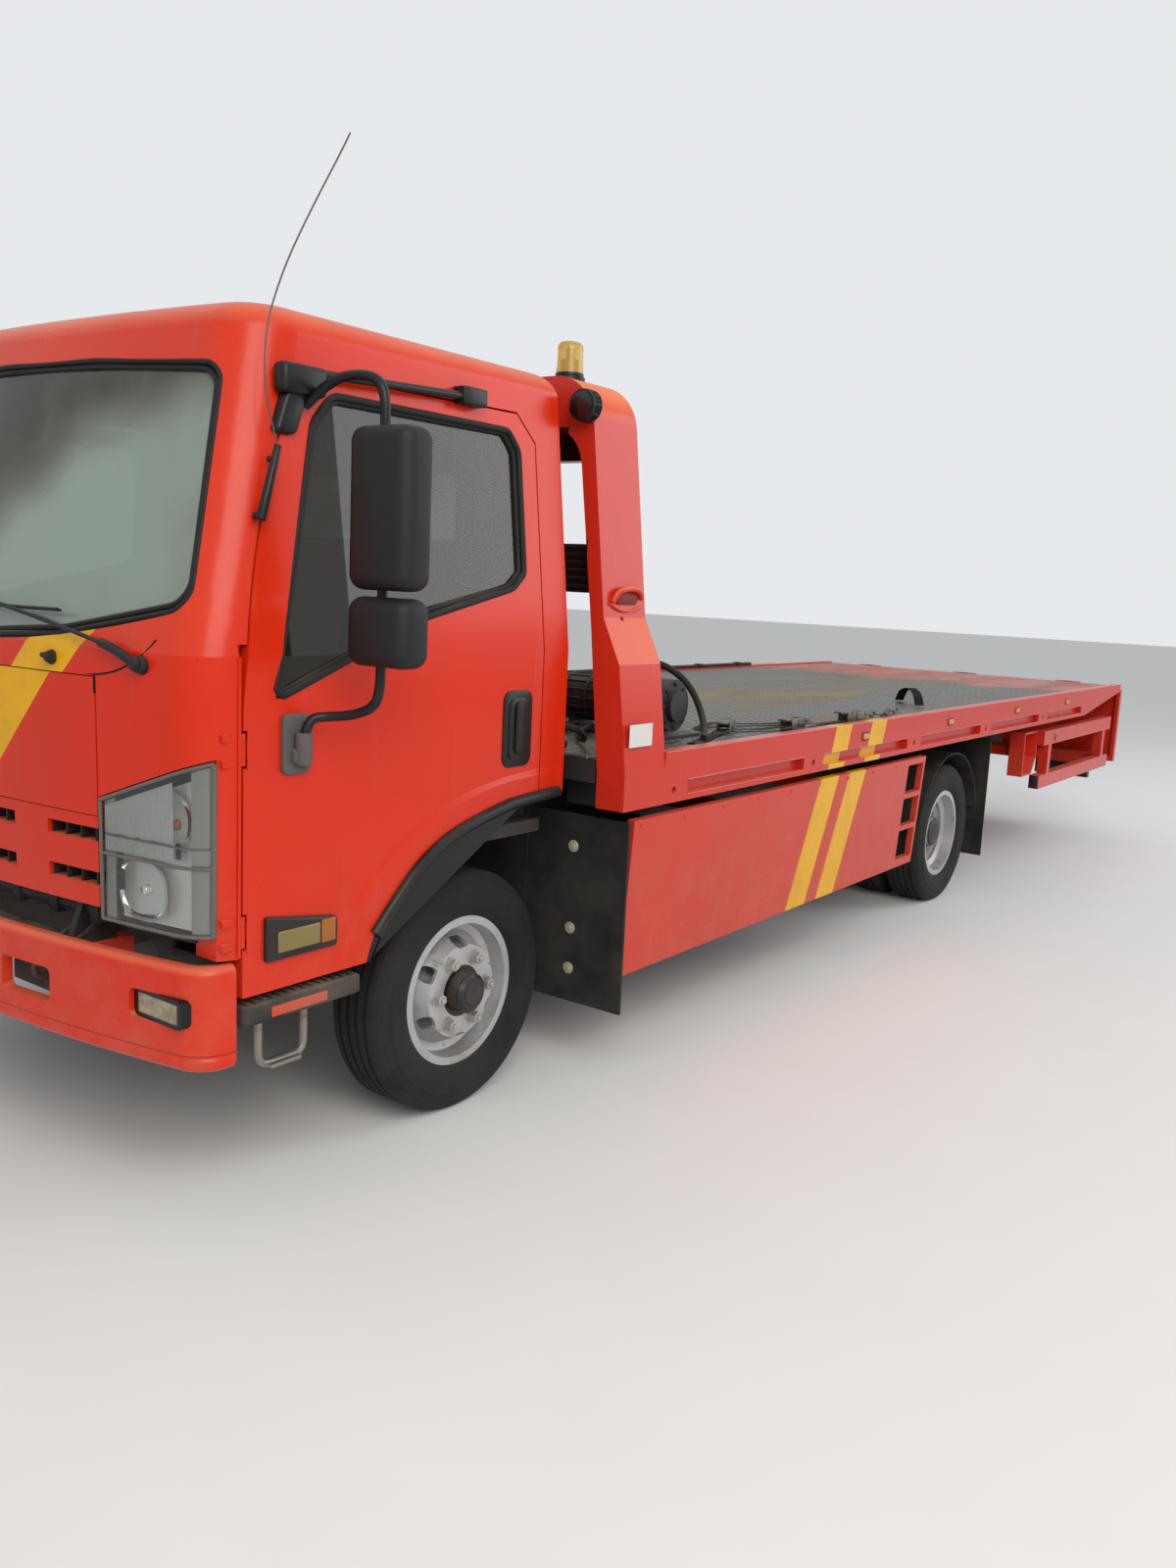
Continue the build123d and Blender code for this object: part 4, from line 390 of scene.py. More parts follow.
# Wheels: pressed steel discs in silver paint with six nuts, and rib-tread tyres.
# Brake dust and a few rust marks lie in the hand holes and round the nuts.
NUT_CIRCLE_R = 0.1111
NUTS = 6
NUT_R = 0.0185
WASHER_R = 0.0235
STUD_R = 0.0095
FRONT_WHEEL_Y = 0.845
DUAL_INNER_Y = 0.722
DUAL_OUTER_Y = 0.962
silver_paint = finish("silver_paint", grime, metallic=0.6, coat=0.2, Base=tone(196, 197, 199),
                      Dirt=tone(128, 116, 100), Dirt_Amount=0.45, Rust_Amount=0.25, Smooth=0.36)
HUB_EDGE_R = 0.081
tree = silver_paint.node_tree
place_at = shade(tree, "SeparateXYZ", {0: shade(tree, "TexCoord").outputs["Object"]})
from_axles = [calculate(tree, "ABSOLUTE", minus(tree, place_at.outputs["X"], axle))
              for axle in (FRONT_AXLE_X, REAR_AXLE_X)]
sides = shade(tree, "CombineXYZ", {"X": calculate(tree, "MINIMUM", *from_axles),
                                   "Z": minus(tree, place_at.outputs["Z"], AXLE_Z)}).outputs[0]
from_hub = shade(tree, "VectorMath", {0: sides}, operation="LENGTH").outputs["Value"]
hub_mask = calculate(tree, "LESS_THAN", from_hub, HUB_EDGE_R)
shader = tree.nodes["Principled BSDF"]
tree.links.new(layer(tree, hub_mask, tree.nodes["effect"].outputs["Colour"], tone(14, 14, 15)),
               shader.inputs["Base Color"])
tree.links.new(times(tree, minus(tree, 1.0, hub_mask), 0.6), shader.inputs["Metallic"])
dress(silver_paint, "front_rim_left", "front_rim_right", "rear_rims_left", "rear_rims_right")
nut_steel = finish("nut_steel", grime, metallic=0.8, Base=tone(190, 188, 184), Dirt_Amount=0.4,
                   Rust_Amount=0.35)
cap_black = finish("cap_black", grime, Base=tone(24, 24, 26), Dirt_Amount=0.45, Rust_Amount=0.05,
                   Smooth=0.45)

# half of a tyre's section: radius, distance from the middle
TYRE_WALL = (
    (0.222, 0.060), (0.236, 0.072), (0.237, 0.083), (0.247, 0.0925), (0.262, 0.0985), (0.280, 0.1030),
    (0.297, 0.1045), (0.312, 0.1037), (0.315, 0.1049), (0.319, 0.1049), (0.322, 0.1029), (0.343, 0.0985),
    (0.346, 0.0993), (0.350, 0.0970), (0.358, 0.0925), (0.362, 0.0925), (0.3665, 0.0865), (0.3705, 0.0845),
    (0.3745, 0.0780), (0.3778, 0.0715))
TREAD_CUTS = 150
RING_RATE = 1400.0
TYRE_TREAD = (
    (0.3779, 0.0560), (0.3690, 0.0550), (0.3690, 0.0475), (0.3779, 0.0465), (0.3780, 0.0215),
    (0.3690, 0.0205), (0.3690, 0.0130), (0.3780, 0.0120))


def tyre_rubber(name, axle_x):
    """Worn rubber: dusty walls, fine cuts across the tread and rings of fine lines on the shoulder."""
    made = finish(name, grime, Base=tone(16, 17, 19), Dirt=tone(82, 78, 70), Dirt_Amount=0.3,
                  Rust_Amount=0.0, Grain_Size=420.0, Grain_Depth=0.25, Smooth=0.72)
    tree = made.node_tree
    place_at = shade(tree, "SeparateXYZ", {0: shade(tree, "TexCoord").outputs["Object"]})
    ahead_x = minus(tree, place_at.outputs["X"], axle_x)
    up_z = minus(tree, place_at.outputs["Z"], AXLE_Z)
    angle = calculate(tree, "ARCTAN2", up_z, ahead_x)
    radius = calculate(tree, "SQRT", plus(tree, times(tree, ahead_x, ahead_x), times(tree, up_z, up_z)))
    turn = calculate(tree, "FRACT", times(tree, angle, TREAD_CUTS / tau))
    cuts = times(tree, calculate(tree, "LESS_THAN", turn, 0.14), spans(tree, radius, 0.352, 0.36))
    rings = times(tree, calculate(tree, "SINE", times(tree, radius, RING_RATE)),
                  times(tree, spans(tree, radius, 0.27, 0.30), 0.25))
    deep = minus(tree, rings, times(tree, cuts, 1.6))
    bump = shade(tree, "Bump", {"Strength": 0.5, "Distance": 0.002, "Height": deep,
                                "Normal": tree.nodes["effect"].outputs["Normal"]})
    tree.links.new(bump.outputs[0], tree.nodes["Principled BSDF"].inputs["Normal"])
    return made


def tyre(axle_x, middle_y):
    """A tyre spun from its section, with the tread's grooves cut into it."""
    half = list(TYRE_WALL) + list(TYRE_TREAD)
    outline = half + [(radius, -reach) for radius, reach in reversed(half)]
    return turned(outline + outline[:1], (axle_x, middle_y, AXLE_Z), steps=120)


front_rubber = tyre_rubber("front_tyre_rubber", FRONT_AXLE_X)
rear_rubber = tyre_rubber("rear_tyre_rubber", REAR_AXLE_X)
for side, word in ((1, "left"), (-1, "right")):
    front_body = "front_" + word + "_wheel"
    rear_body = "rear_" + word + "_wheels"
    made = place("road_tyre_front_" + word, front_body, "tyre", front_rubber,
                 tyre(FRONT_AXLE_X, side * FRONT_WHEEL_Y))
    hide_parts("front_tyre_" + word)
    made = place("road_tyres_rear_" + word, rear_body, "tyre", rear_rubber,
                 tyre(REAR_AXLE_X, side * DUAL_INNER_Y), tyre(REAR_AXLE_X, side * DUAL_OUTER_Y))
    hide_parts("rear_tyres_" + word)
    # columns: body, axle x, disc face y, cap radius, cap foot y, cap end y
    for body, axle_x, disc_y, cap_r, foot_y, end_y in (
            (front_body, FRONT_AXLE_X, 0.931, 0.0635, 0.930, 0.9825),
            (rear_body, REAR_AXLE_X, 0.854, 0.084, 0.985, 1.011)):
        nuts = []
        for step in range(NUTS):
            turn = tau * step / NUTS
            x = axle_x + NUT_CIRCLE_R * cos(turn)
            z = AXLE_Z + NUT_CIRCLE_R * sin(turn)
            nuts += [bar((x, disc_y - 0.002, z), (x, disc_y + 0.006, z), WASHER_R),
                     bar((x, disc_y, z), (x, disc_y + 0.026, z), NUT_R, sides=6, edge=0.002),
                     bar((x, disc_y, z), (x, disc_y + 0.034, z), STUD_R, edge=0.002)]
        place("wheel_nuts_" + body, body, "brushed", nut_steel, *nuts, side=side)
        deep = end_y - foot_y
        cap = turned(((0, deep + 0.0012), (cap_r * 0.55, deep + 0.001), (cap_r * 0.60, deep - 0.004),
                      (cap_r * 0.80, deep - 0.006), (cap_r * 0.97, deep - 0.016),
                      (cap_r + 0.001, deep - 0.024), (cap_r + 0.002, 0)), (axle_x, foot_y, AXLE_Z))
        place("hub_cap_" + body, body, "black_plastic", cap_black, cap, side=side)
    # valve and balance weight on the front rim
    valve = bar((FRONT_AXLE_X + 0.13, 0.925, AXLE_Z + 0.13), (FRONT_AXLE_X + 0.118, 0.958, AXLE_Z + 0.118),
                0.0045)
    weight = slab((FRONT_AXLE_X - 0.034, 0.924, AXLE_Z - 0.2335),
                  (FRONT_AXLE_X + 0.034, 0.9305, AXLE_Z - 0.215), 0.003)
    place("valve_and_weight_" + word, front_body, "brushed", nut_steel, valve, weight, side=side)

# Cab: pressed steel panels in red-orange enamel, lighter pink on upward faces, partly sun-bleached paint and
# partly painted sky light.
# Shell, lid, grille, doors and bumper share the paint, and a yellow stripe runs down cowl and lid.
aged_paint, given, result = new_group(
    "aged_paint",
    (("Paint", "Color", tone(214, 56, 36)), ("Bleached", "Color", tone(236, 104, 92)),
     ("Bleaching", "Float", 0.7), ("Dust Amount", "Float", 0.3), ("Chips", "Float", 0.3)),
    (("Colour", "Color"), ("Roughness", "Float"), ("Normal", "Vector")))
spot = shade(aged_paint, "TexCoord")
where = spot.outputs["Object"]
up = shade(aged_paint, "SeparateXYZ", {0: spot.outputs["Normal"]}).outputs["Z"]
height = shade(aged_paint, "SeparateXYZ", {0: where}).outputs["Z"]
wide = cloud(aged_paint, where, 1.6, 3.0)
# Upward faces are lighter: partly sun-bleached paint, partly painted sky light.
fade_and_skylight = times(aged_paint, spans(aged_paint, up, 0.1, 0.85), given["Bleaching"])
fade_and_skylight = times(aged_paint, fade_and_skylight, plus(aged_paint, wide, 0.45))
fade_and_skylight = calculate(aged_paint, "MINIMUM", fade_and_skylight, 1.0)
coat_colour = layer(aged_paint, fade_and_skylight, given["Paint"], given["Bleached"])
tint = shade(aged_paint, "HueSaturation",
             {"Color": coat_colour, "Value": plus(aged_paint, times(aged_paint, wide, 0.2), 0.9)})
low_dust = times(aged_paint, spans(aged_paint, height, 1.05, 0.35), 0.55)
top_dust = times(aged_paint, spans(aged_paint, up, 0.55, 1.0), 0.3)
dust = times(aged_paint, plus(aged_paint, low_dust, top_dust),
             spans(aged_paint, cloud(aged_paint, where, 7.0, 8.0), 0.35, 0.75))
streaks = cloud(aged_paint, where, 16.0, 4.0, (1, 1, 0.06))
runs = times(aged_paint, spans(aged_paint, streaks, 0.56, 0.76), 0.22)
dust = times(aged_paint, plus(aged_paint, dust, runs), given["Dust Amount"])
dusty = layer(aged_paint, dust, tint.outputs[0], tone(168, 132, 112))
chip_spots = times(aged_paint, spans(aged_paint, cloud(aged_paint, where, 60.0, 3.0), 0.70, 0.73),
                   spans(aged_paint, cloud(aged_paint, where, 3.1, 2.0), 0.52, 0.60))
chip_spots = times(aged_paint, chip_spots, given["Chips"])
aged_paint.links.new(layer(aged_paint, chip_spots, dusty, tone(52, 34, 30)), result["Colour"])
rough = plus(aged_paint, 0.24, times(aged_paint, dust, 0.5))
aged_paint.links.new(plus(aged_paint, rough, times(aged_paint, fade_and_skylight, 0.12)), result["Roughness"])
dents = cloud(aged_paint, where, 2.4, 2.0)
peel = shade(aged_paint, "TexNoise", {"Vector": where, "Scale": 420.0, "Detail": 1.0}).outputs["Fac"]
fine = plus(aged_paint, times(aged_paint, peel, 0.012), times(aged_paint, chip_spots, -0.3))
uneven = plus(aged_paint, dents, fine)
bump = shade(aged_paint, "Bump", {"Strength": 0.25, "Distance": 0.003, "Height": uneven})
aged_paint.links.new(bump.outputs[0], result["Normal"])

# A slanted stripe: yellow paint over the enamel. Its two edges are straight and parallel and lean with
# height, and the mask is 1 between them.
slanted, given, result = new_group(
    "slanted_stripe",
    (("Along", "Float", 0.0), ("Height", "Float", 0.0), ("Level", "Float", 1.0), ("Middle", "Float", 0.0),
     ("Lean", "Float", 0.0), ("Width", "Float", 0.16)),
    (("Mask", "Float"),))
rise = minus(slanted, given["Height"], given["Level"])
middle = plus(slanted, given["Middle"], times(slanted, rise, given["Lean"]))
away = calculate(slanted, "ABSOLUTE", minus(slanted, given["Along"], middle))
slanted.links.new(calculate(slanted, "LESS_THAN", away, times(slanted, given["Width"], 0.5)),
                  result["Mask"])
YELLOW = tone(230, 170, 0)
OLD_YELLOW = tone(214, 158, 14)


def add_stripes(material, run, stripes, limits=(), outside_only=False):
    """Lays yellow stripes over a paint. Each stripe has its level, its middle there, its lean and width."""
    tree = material.node_tree
    shader = tree.nodes["Principled BSDF"]
    paint_colour = shader.inputs["Base Color"].links[0].from_socket
    place_at = shade(tree, "SeparateXYZ", {0: shade(tree, "TexCoord").outputs["Object"]})
    worn = cloud(tree, shade(tree, "TexCoord").outputs["Object"], 9.0, 6.0)
    yellow = layer(tree, spans(tree, worn, 0.35, 0.8), YELLOW, OLD_YELLOW)
    mask = 0.0
    for level, middle, lean, width in stripes:
        stripe = tree.nodes.new("ShaderNodeGroup")
        stripe.node_tree = slanted
        tree.links.new(place_at.outputs[run], stripe.inputs["Along"])
        tree.links.new(place_at.outputs["Z"], stripe.inputs["Height"])
        for label, value in (("Level", level), ("Middle", middle), ("Lean", lean), ("Width", width)):
            stripe.inputs[label].default_value = value
        mask = calculate(tree, "MAXIMUM", stripe.outputs[0], mask)
    mask = times(tree, mask, calculate(tree, "LESS_THAN", worn, 0.74))
    for axis, test, limit in limits:
        mask = times(tree, mask, calculate(tree, test, place_at.outputs[axis], limit))
    if outside_only:
        sideways = shade(tree, "SeparateXYZ", {0: shade(tree, "TexCoord").outputs["Normal"]}).outputs["Y"]
        outward = times(tree, sideways, place_at.outputs["Y"])
        mask = times(tree, mask, calculate(tree, "GREATER_THAN", outward, -0.05))
    tree.links.new(layer(tree, mask, paint_colour, yellow), shader.inputs["Base Color"])


CAB_PAINT = tone(208, 42, 10)
CAB_FADED_AND_LIT = tone(224, 112, 78)
cab_paint = finish("cab_paint", aged_paint, Paint=CAB_PAINT, Bleached=CAB_FADED_AND_LIT, Bleaching=0.9,
                   Dust_Amount=0.35, Chips=0.4)
lid_paint = finish("lid_paint", aged_paint, Paint=CAB_PAINT, Bleached=CAB_FADED_AND_LIT, Bleaching=0.4,
                   Dust_Amount=0.35, Chips=0.3)
LID_TOP_Z = 1.37
add_stripes(lid_paint, "Y", ((LID_TOP_Z, 0.377, 0.91, 0.21),))
add_stripes(cab_paint, "Y", ((1.428, 0.483, 1.0, 0.21),),
            limits=(("X", "GREATER_THAN", 3.85), ("Z", "GREATER_THAN", 1.35), ("Z", "LESS_THAN", 1.50)))

# Wheel arch and belt: pressed into the same panels. It is black inside the arch's lip, and the crease
# at the belt is eased, as pressed steel bends. The bumper's lower lip carries a pressed fold.
ARCH_REAR_X = 2.620
ARCH_LOW_Z = 0.450
ARCH_REACH = 0.822
ARCH_RISE = 0.527
ARCH_POWER = 2.3
BELT_Z = 1.430
BELT_BEND = 0.055
tree = cab_paint.node_tree
shader = tree.nodes["Principled BSDF"]
place_at = shade(tree, "SeparateXYZ", {0: shade(tree, "TexCoord").outputs["Object"]})
forwards = calculate(tree, "MAXIMUM", minus(tree, place_at.outputs["X"], ARCH_REAR_X), 0.0)
forwards = calculate(tree, "POWER", calculate(tree, "DIVIDE", forwards, ARCH_REACH), ARCH_POWER)
upwards = calculate(tree, "MAXIMUM", minus(tree, place_at.outputs["Z"], ARCH_LOW_Z), 0.0)
upwards = calculate(tree, "POWER", calculate(tree, "DIVIDE", upwards, ARCH_RISE), ARCH_POWER)
from_arch = plus(tree, forwards, upwards)
inside = calculate(tree, "LESS_THAN", from_arch, 1.0)
under = shader.inputs["Base Color"].links[0].from_socket
tree.links.new(layer(tree, inside, under, tone(22, 22, 24)), shader.inputs["Base Color"])
above = calculate(tree, "GREATER_THAN", place_at.outputs["Z"], BELT_Z)
share = calculate(tree, "MINIMUM", spans(tree, place_at.outputs["Z"], BELT_Z - 0.2, BELT_Z),
                  spans(tree, place_at.outputs["Z"], BELT_Z + 0.2, BELT_Z))
turn = times(tree, minus(tree, 0.5, above), 2 * BELT_BEND)
bend = shade(tree, "CombineXYZ", {"Z": times(tree, share, turn)}).outputs[0]
bent = shade(tree, "VectorMath", {0: tree.nodes["effect"].outputs["Normal"], 1: bend},
             operation="ADD").outputs[0]
eased = shade(tree, "VectorMath", {0: bent}, operation="NORMALIZE").outputs[0]
flare = shade(tree, "Bump", {"Strength": 0.7, "Distance": 0.014, "Normal": eased,
                             "Height": spans(tree, from_arch, 1.42, 1.30)})
tree.links.new(flare.outputs[0], shader.inputs["Normal"])
dress(cab_paint, "cab_shell", "door_left", "door_right", "grille")
dress(lid_paint, "front_panel")
bumper_paint = finish("bumper_paint", aged_paint, Paint=tone(210, 44, 12), Bleached=CAB_FADED_AND_LIT,
                      Bleaching=0.7, Dust_Amount=0.4, Chips=0.9)
LIP_FOLD_Z = 0.462
tree = bumper_paint.node_tree
height = shade(tree, "SeparateXYZ", {0: shade(tree, "TexCoord").outputs["Object"]}).outputs["Z"]
fold = calculate(tree, "MINIMUM", spans(tree, height, LIP_FOLD_Z - 0.012, LIP_FOLD_Z),
                 spans(tree, height, LIP_FOLD_Z + 0.006, LIP_FOLD_Z))
pressed = shade(tree, "Bump", {"Strength": 0.8, "Distance": -0.006, "Height": fold,
                               "Normal": tree.nodes["effect"].outputs["Normal"]})
tree.links.new(pressed.outputs[0], tree.nodes["Principled BSDF"].inputs["Normal"])
dress(bumper_paint, "front_bumper")
dress(chassis_black, "cab_floor")

# The cab's skin, which seals, seams, wipers and lamps follow. It comes from three plan outlines.
# columns: height, half width, nose x, side x, corner radius
CAB_LEVELS = (
    (0.560, 1.010, 4.015, 3.930, 0.135), (1.430, 1.010, 4.025, 3.940, 0.135),
    (2.275, 0.917, 3.795, 3.730, 0.160))


def cab_plan(height):
    """Half width, nose x, radius of the bowed front, corner radius and corner centre at a height."""
    lower, upper = CAB_LEVELS[:2] if height < CAB_LEVELS[1][0] else CAB_LEVELS[1:]
    share = (height - lower[0]) / (upper[0] - lower[0])
    half, nose, side_x, corner = [a + (b - a) * share for a, b in zip(lower[1:], upper[1:])]
    sag = nose - side_x
    bow = (half * half + sag * sag) / (2 * sag)
    centre_y = half - corner
    centre_x = nose - bow + sqrt((bow - corner) ** 2 - centre_y ** 2)
    return half, nose, bow, corner, centre_x, centre_y


def front_skin(y, z, inset=0.0):
    """The point of the cab's front skin at a place across and a height, moved in by an inset."""
    _, nose, bow, corner, centre_x, centre_y = cab_plan(z)
    reach = abs(y)
    edge = centre_y + corner * centre_y / (bow - corner)
    if reach <= edge:
        x = nose - bow + sqrt(max((bow - inset) ** 2 - reach * reach, 0))
    else:
        radius = corner - inset
        x = centre_x + sqrt(max(radius * radius - min(reach - centre_y, radius) ** 2, 0))
    return Vector((x, y, z))


def side_skin(x, z, proud=0.0):
    """The point of the cab's flat side at a place along and a height, moved out by an amount."""
    return Vector((x, cab_plan(z)[0] + proud, z))


def rounded_outline(corners, radii, fine=6):
    """Points round a closed outline in a plane, with an arc at each corner."""
    points = []
    count = len(corners)
    for index in range(count):
        before, corner, after = (Vector(corners[(index + k) % count]) for k in (-1, 0, 1))
        to_before, to_after = (before - corner).normalized(), (after - corner).normalized()
        half_turn = to_before.angle(to_after) / 2
        radius = radii[index] if hasattr(radii, "__len__") else radii
        reach = radius / max(0.05, abs(sin(half_turn) / cos(half_turn)))
        centre = corner + (to_before + to_after).normalized() * radius / sin(half_turn)
        start, end = corner + to_before * reach - centre, corner + to_after * reach - centre
        for step in range(fine + 1):
            points.append(centre + start.lerp(end, step / fine).normalized() * radius)
    return points


# Window seals: black rubber beads, gone tan with dust, pressed into the gap round the windscreen, the
# rear window and each door's glass
seal_rubber = finish("seal_rubber", grime, Base=tone(22, 22, 23), Dirt=tone(120, 102, 70), Dirt_Amount=0.5,
                     Rust_Amount=0.0, Smooth=0.6)


def screen_edge(grow):
    """Points round the windscreen's edge on the cab's skin."""
    corners = ((-0.920 - grow, 1.535 - grow), (-0.5, 1.455 - grow), (0, 1.420 - grow), (0.5, 1.455 - grow),
               (0.920 + grow, 1.535 - grow), (0.850 + grow, 2.120 + grow), (0.4, 2.144 + grow),
               (0, 2.150 + grow), (-0.4, 2.144 + grow), (-0.850 - grow, 2.120 + grow))
    radii = (0.06, 0.3, 0.3, 0.3, 0.06, 0.06, 0.3, 0.3, 0.3, 0.06)
    return rounded_outline(corners, radii)


def bead(points, radius):
    """A closed bead along surface points."""
    return tube(points, radius, closed=True, fine=2)


front_seal = [bead([front_skin(p[0], p[1], 0.004) for p in screen_edge(-0.002)], 0.007),
              bead([front_skin(p[0], p[1], 0.014) for p in screen_edge(-0.016)], 0.008)]
rear_frame = rounded_outline(((-0.55, 1.59), (0.55, 1.59), (0.55, 1.99), (-0.55, 1.99)), 0.06)
front_seal.append(bead([(2.577, p[0], p[1]) for p in rear_frame], 0.012))
place("screen_seals", "cab", "rubber", seal_rubber, *front_seal)

WINDOW = ((3.740, 1.325), (3.500, 1.420), (3.200, 1.530), (2.830, 1.615), (2.775, 1.660), (2.775, 2.020),
          (2.820, 2.075), (3.510, 2.075), (3.580, 2.000), (3.738, 1.350))
WINDOW_R = (0.02, 0.3, 0.3, 0.08, 0.03, 0.05, 0.03, 0.06, 0.08, 0.03)
for side, word in ((1, "left"), (-1, "right")):
    rings = []
    for proud, shrink, radius in ((-0.002, 0.0, 0.010), (-0.012, 0.014, 0.009)):
        points = []
        for x, z in rounded_outline(WINDOW, WINDOW_R, 4):
            pull = Vector((3.25 - x, 1.75 - z)).normalized() * shrink
            points.append(side_skin(x + pull[0], z + pull[1], proud))
        rings.append(bead(points, radius))
    place("door_seal_" + word, word + "_door", "rubber", seal_rubber, *rings, side=side)

# Glass: a laminated windscreen and toughened side glass with a grey tint, held in the seals above.
# A film of dust lies on it, and the windscreen carries a painted reflection, pale green and darker towards
# the top of its right side.
glass_film, given, result = new_group(
    "glass_film", (("Tint", "Color", tone(150, 162, 160)), ("Film", "Float", 0.25)),
    (("Colour", "Color"), ("Roughness", "Float"), ("Normal", "Vector")))
spot = shade(glass_film, "TexCoord")
smear = spans(glass_film, cloud(glass_film, spot.outputs["Object"], 3.0, 6.0, (1, 1, 0.5)), 0.42, 0.8)
smear = times(glass_film, smear, given["Film"])
glass_film.links.new(layer(glass_film, smear, given["Tint"], tone(176, 170, 156)), result["Colour"])
glass_film.links.new(times(glass_film, smear, 0.1), result["Roughness"])
waves = shade(glass_film, "Bump", {"Strength": 0.05, "Distance": 0.002,
                                   "Height": cloud(glass_film, spot.outputs["Object"], 2.0, 1.0)})
glass_film.links.new(waves.outputs[0], result["Normal"])


def glass(name, tint, film, clearness=0.9):
    """Tinted glass with a film of dust."""
    made = finish(name, glass_film, Tint=tint, Film=film)
    shader = made.node_tree.nodes["Principled BSDF"]
    shader.inputs["Transmission Weight"].default_value = clearness
    shader.inputs["IOR"].default_value = 1.45
    return made


screen_glass = glass("screen_glass", tone(196, 214, 202), 0.5, 0.66)
# Painted reflection on the windscreen: pale green from the sky, dark brown towards its upper right.
tree = screen_glass.node_tree
where = shade(tree, "TexCoord").outputs["Object"]
place_at = shade(tree, "SeparateXYZ", {0: where})
slope = minus(tree, times(tree, place_at.outputs["Y"], 0.55), place_at.outputs["Z"])
slope = plus(tree, slope, times(tree, cloud(tree, where, 1.6, 2.0), 0.5))
reflection_mask = spans(tree, slope, -1.62, -1.28)
screen_reflection = layer(tree, reflection_mask, tone(78, 76, 62), tone(196, 214, 202))
tree.links.new(screen_reflection, tree.nodes["effect"].inputs["Tint"])
dress(screen_glass, "cab_windows")
dress(glass("door_glass", tone(112, 108, 94), 0.2, 0.92), "door_glass_left", "door_glass_right")

# Lid and cowl: dark seams where the panels meet, two washer jets, two wipers with their arms on posts
# through the cowl, and plastic cells behind the grille's slots
black_trim = finish("black_trim", grime, Base=tone(30, 30, 32), Dirt=tone(104, 98, 90), Dirt_Amount=0.5,
                    Rust_Amount=0.0, Grain_Size=700.0, Grain_Depth=0.5, Smooth=0.55)
seam_black = finish("seam_black", grime, Base=tone(14, 12, 12), Dirt_Amount=0.2, Rust_Amount=0.0, Smooth=0.9)
COWL_ENDS = ((0.845, 1.462), (0.825, 1.435), (0.770, 1.400), (0.700, 1.372), (0.640, 1.3655))
seams = []
for side in (-1, 1):
    seams.append(tube([front_skin(side * y, z, 0.001) for y, z in COWL_ENDS], 0.0028))
    seams.append(tube([front_skin(side * 0.640, z, 0.0005) for z in (1.368, 1.345, 1.32)], 0.0028))
seams.append(tube([front_skin(y, 1.3655, 0.002) for y in (-0.64, -0.3, 0, 0.3, 0.64)], 0.0028))
place("cowl_seams", "cab", "black_plastic", seam_black, *seams)

fittings = []
for pivot_y, tip_y, blade_y in ((0.807, 0.20, (0.50, -0.10)), (-0.060, -0.62, (-0.32, -0.90))):
    foot = front_skin(pivot_y, 1.399) + Vector((0.004, 0, 0))
    elbow = front_skin(pivot_y - 0.05, 1.432) + Vector((0.022, 0, 0))
    mid = front_skin((pivot_y + tip_y) / 2, 1.488) + Vector((0.034, 0, 0))
    tip = front_skin(tip_y, 1.530) + Vector((0.030, 0, 0))
    start, end = (front_skin(y, 1.515) + Vector((0.016, 0, 0)) for y in blade_y)
    middle = front_skin(sum(blade_y) / 2, 1.512) + Vector((0.018, 0, 0))
    behind = Vector((-0.008, 0, -0.002))
    fittings += [
        bar(foot - Vector((0.012, 0, 0)), foot + Vector((0.012, 0, 0.004)), 0.024, 0.020, edge=0.003),
        bar(foot + Vector((0.010, 0, 0.004)), foot + Vector((0.026, 0, 0.006)), 0.018, 0.015, edge=0.004),
        tube([foot + Vector((0.014, 0, 0.002)), elbow, elbow + (mid - elbow) * 0.25], 0.0115),
        tube([elbow, mid, tip], 0.0055), tube([start, middle, end], 0.0045),
        tube([start + behind, middle + behind, end + behind], 0.0035), bar(tip, middle.lerp(tip, 0.1), 0.009)]
for side in (-1, 1):
    jet = front_skin(side * 0.486, 1.397)
    fittings.append(bar(jet, jet + Vector((0.020, 0, 0.002)), 0.020, 0.011, edge=0.003))
    fittings.append(bar(jet + Vector((0.014, -0.024, 0.004)), jet + Vector((0.016, 0.018, 0.006)), 0.007,
                        edge=0.002))
place("wipers_and_jets", "cab", "black_plastic", black_trim, *fittings)

SLOT_ROWS = (0.965, 0.853)
SLOT_MIDDLES = (-0.56, -0.19, 0.19, 0.56)
SLOT_HALF = 0.115
cells = []
for middle in SLOT_MIDDLES:
    for z in SLOT_ROWS:
        for step in range(5):
            y = middle - SLOT_HALF + 2 * SLOT_HALF * step / 4
            x = front_skin(y, z).x
            cells.append(slab((x - 0.045, y - 0.003, z - 0.018), (x - 0.012, y + 0.003, z + 0.018), 0.001, 1))
        x = front_skin(middle, z).x
        cells.append(slab((x - 0.052, middle - SLOT_HALF - 0.01, z - 0.024),
                          (x - 0.042, middle + SLOT_HALF + 0.01, z + 0.024), 0.001, 1))
place("grille_cells", "cab", "black_plastic", black_trim, *cells)

# Front opening: a round black bar across it under the grille, with six small brackets behind the
# cab's skin
opening = [tube([front_skin(y, 0.735, 0.09) for y in (-0.62, -0.3, 0, 0.3, 0.62)], 0.022)]
for side in (-1, 1):
    for step in range(3):
        y = side * (0.18 + 0.17 * step)
        x = front_skin(y, 0.735).x - 0.09
        opening.append(slab((x - 0.01, y - 0.02, 0.705), (x + 0.022, y + 0.02, 0.765), 0.004))
place("opening_bar", "cab", "black_plastic", black_trim, *opening)

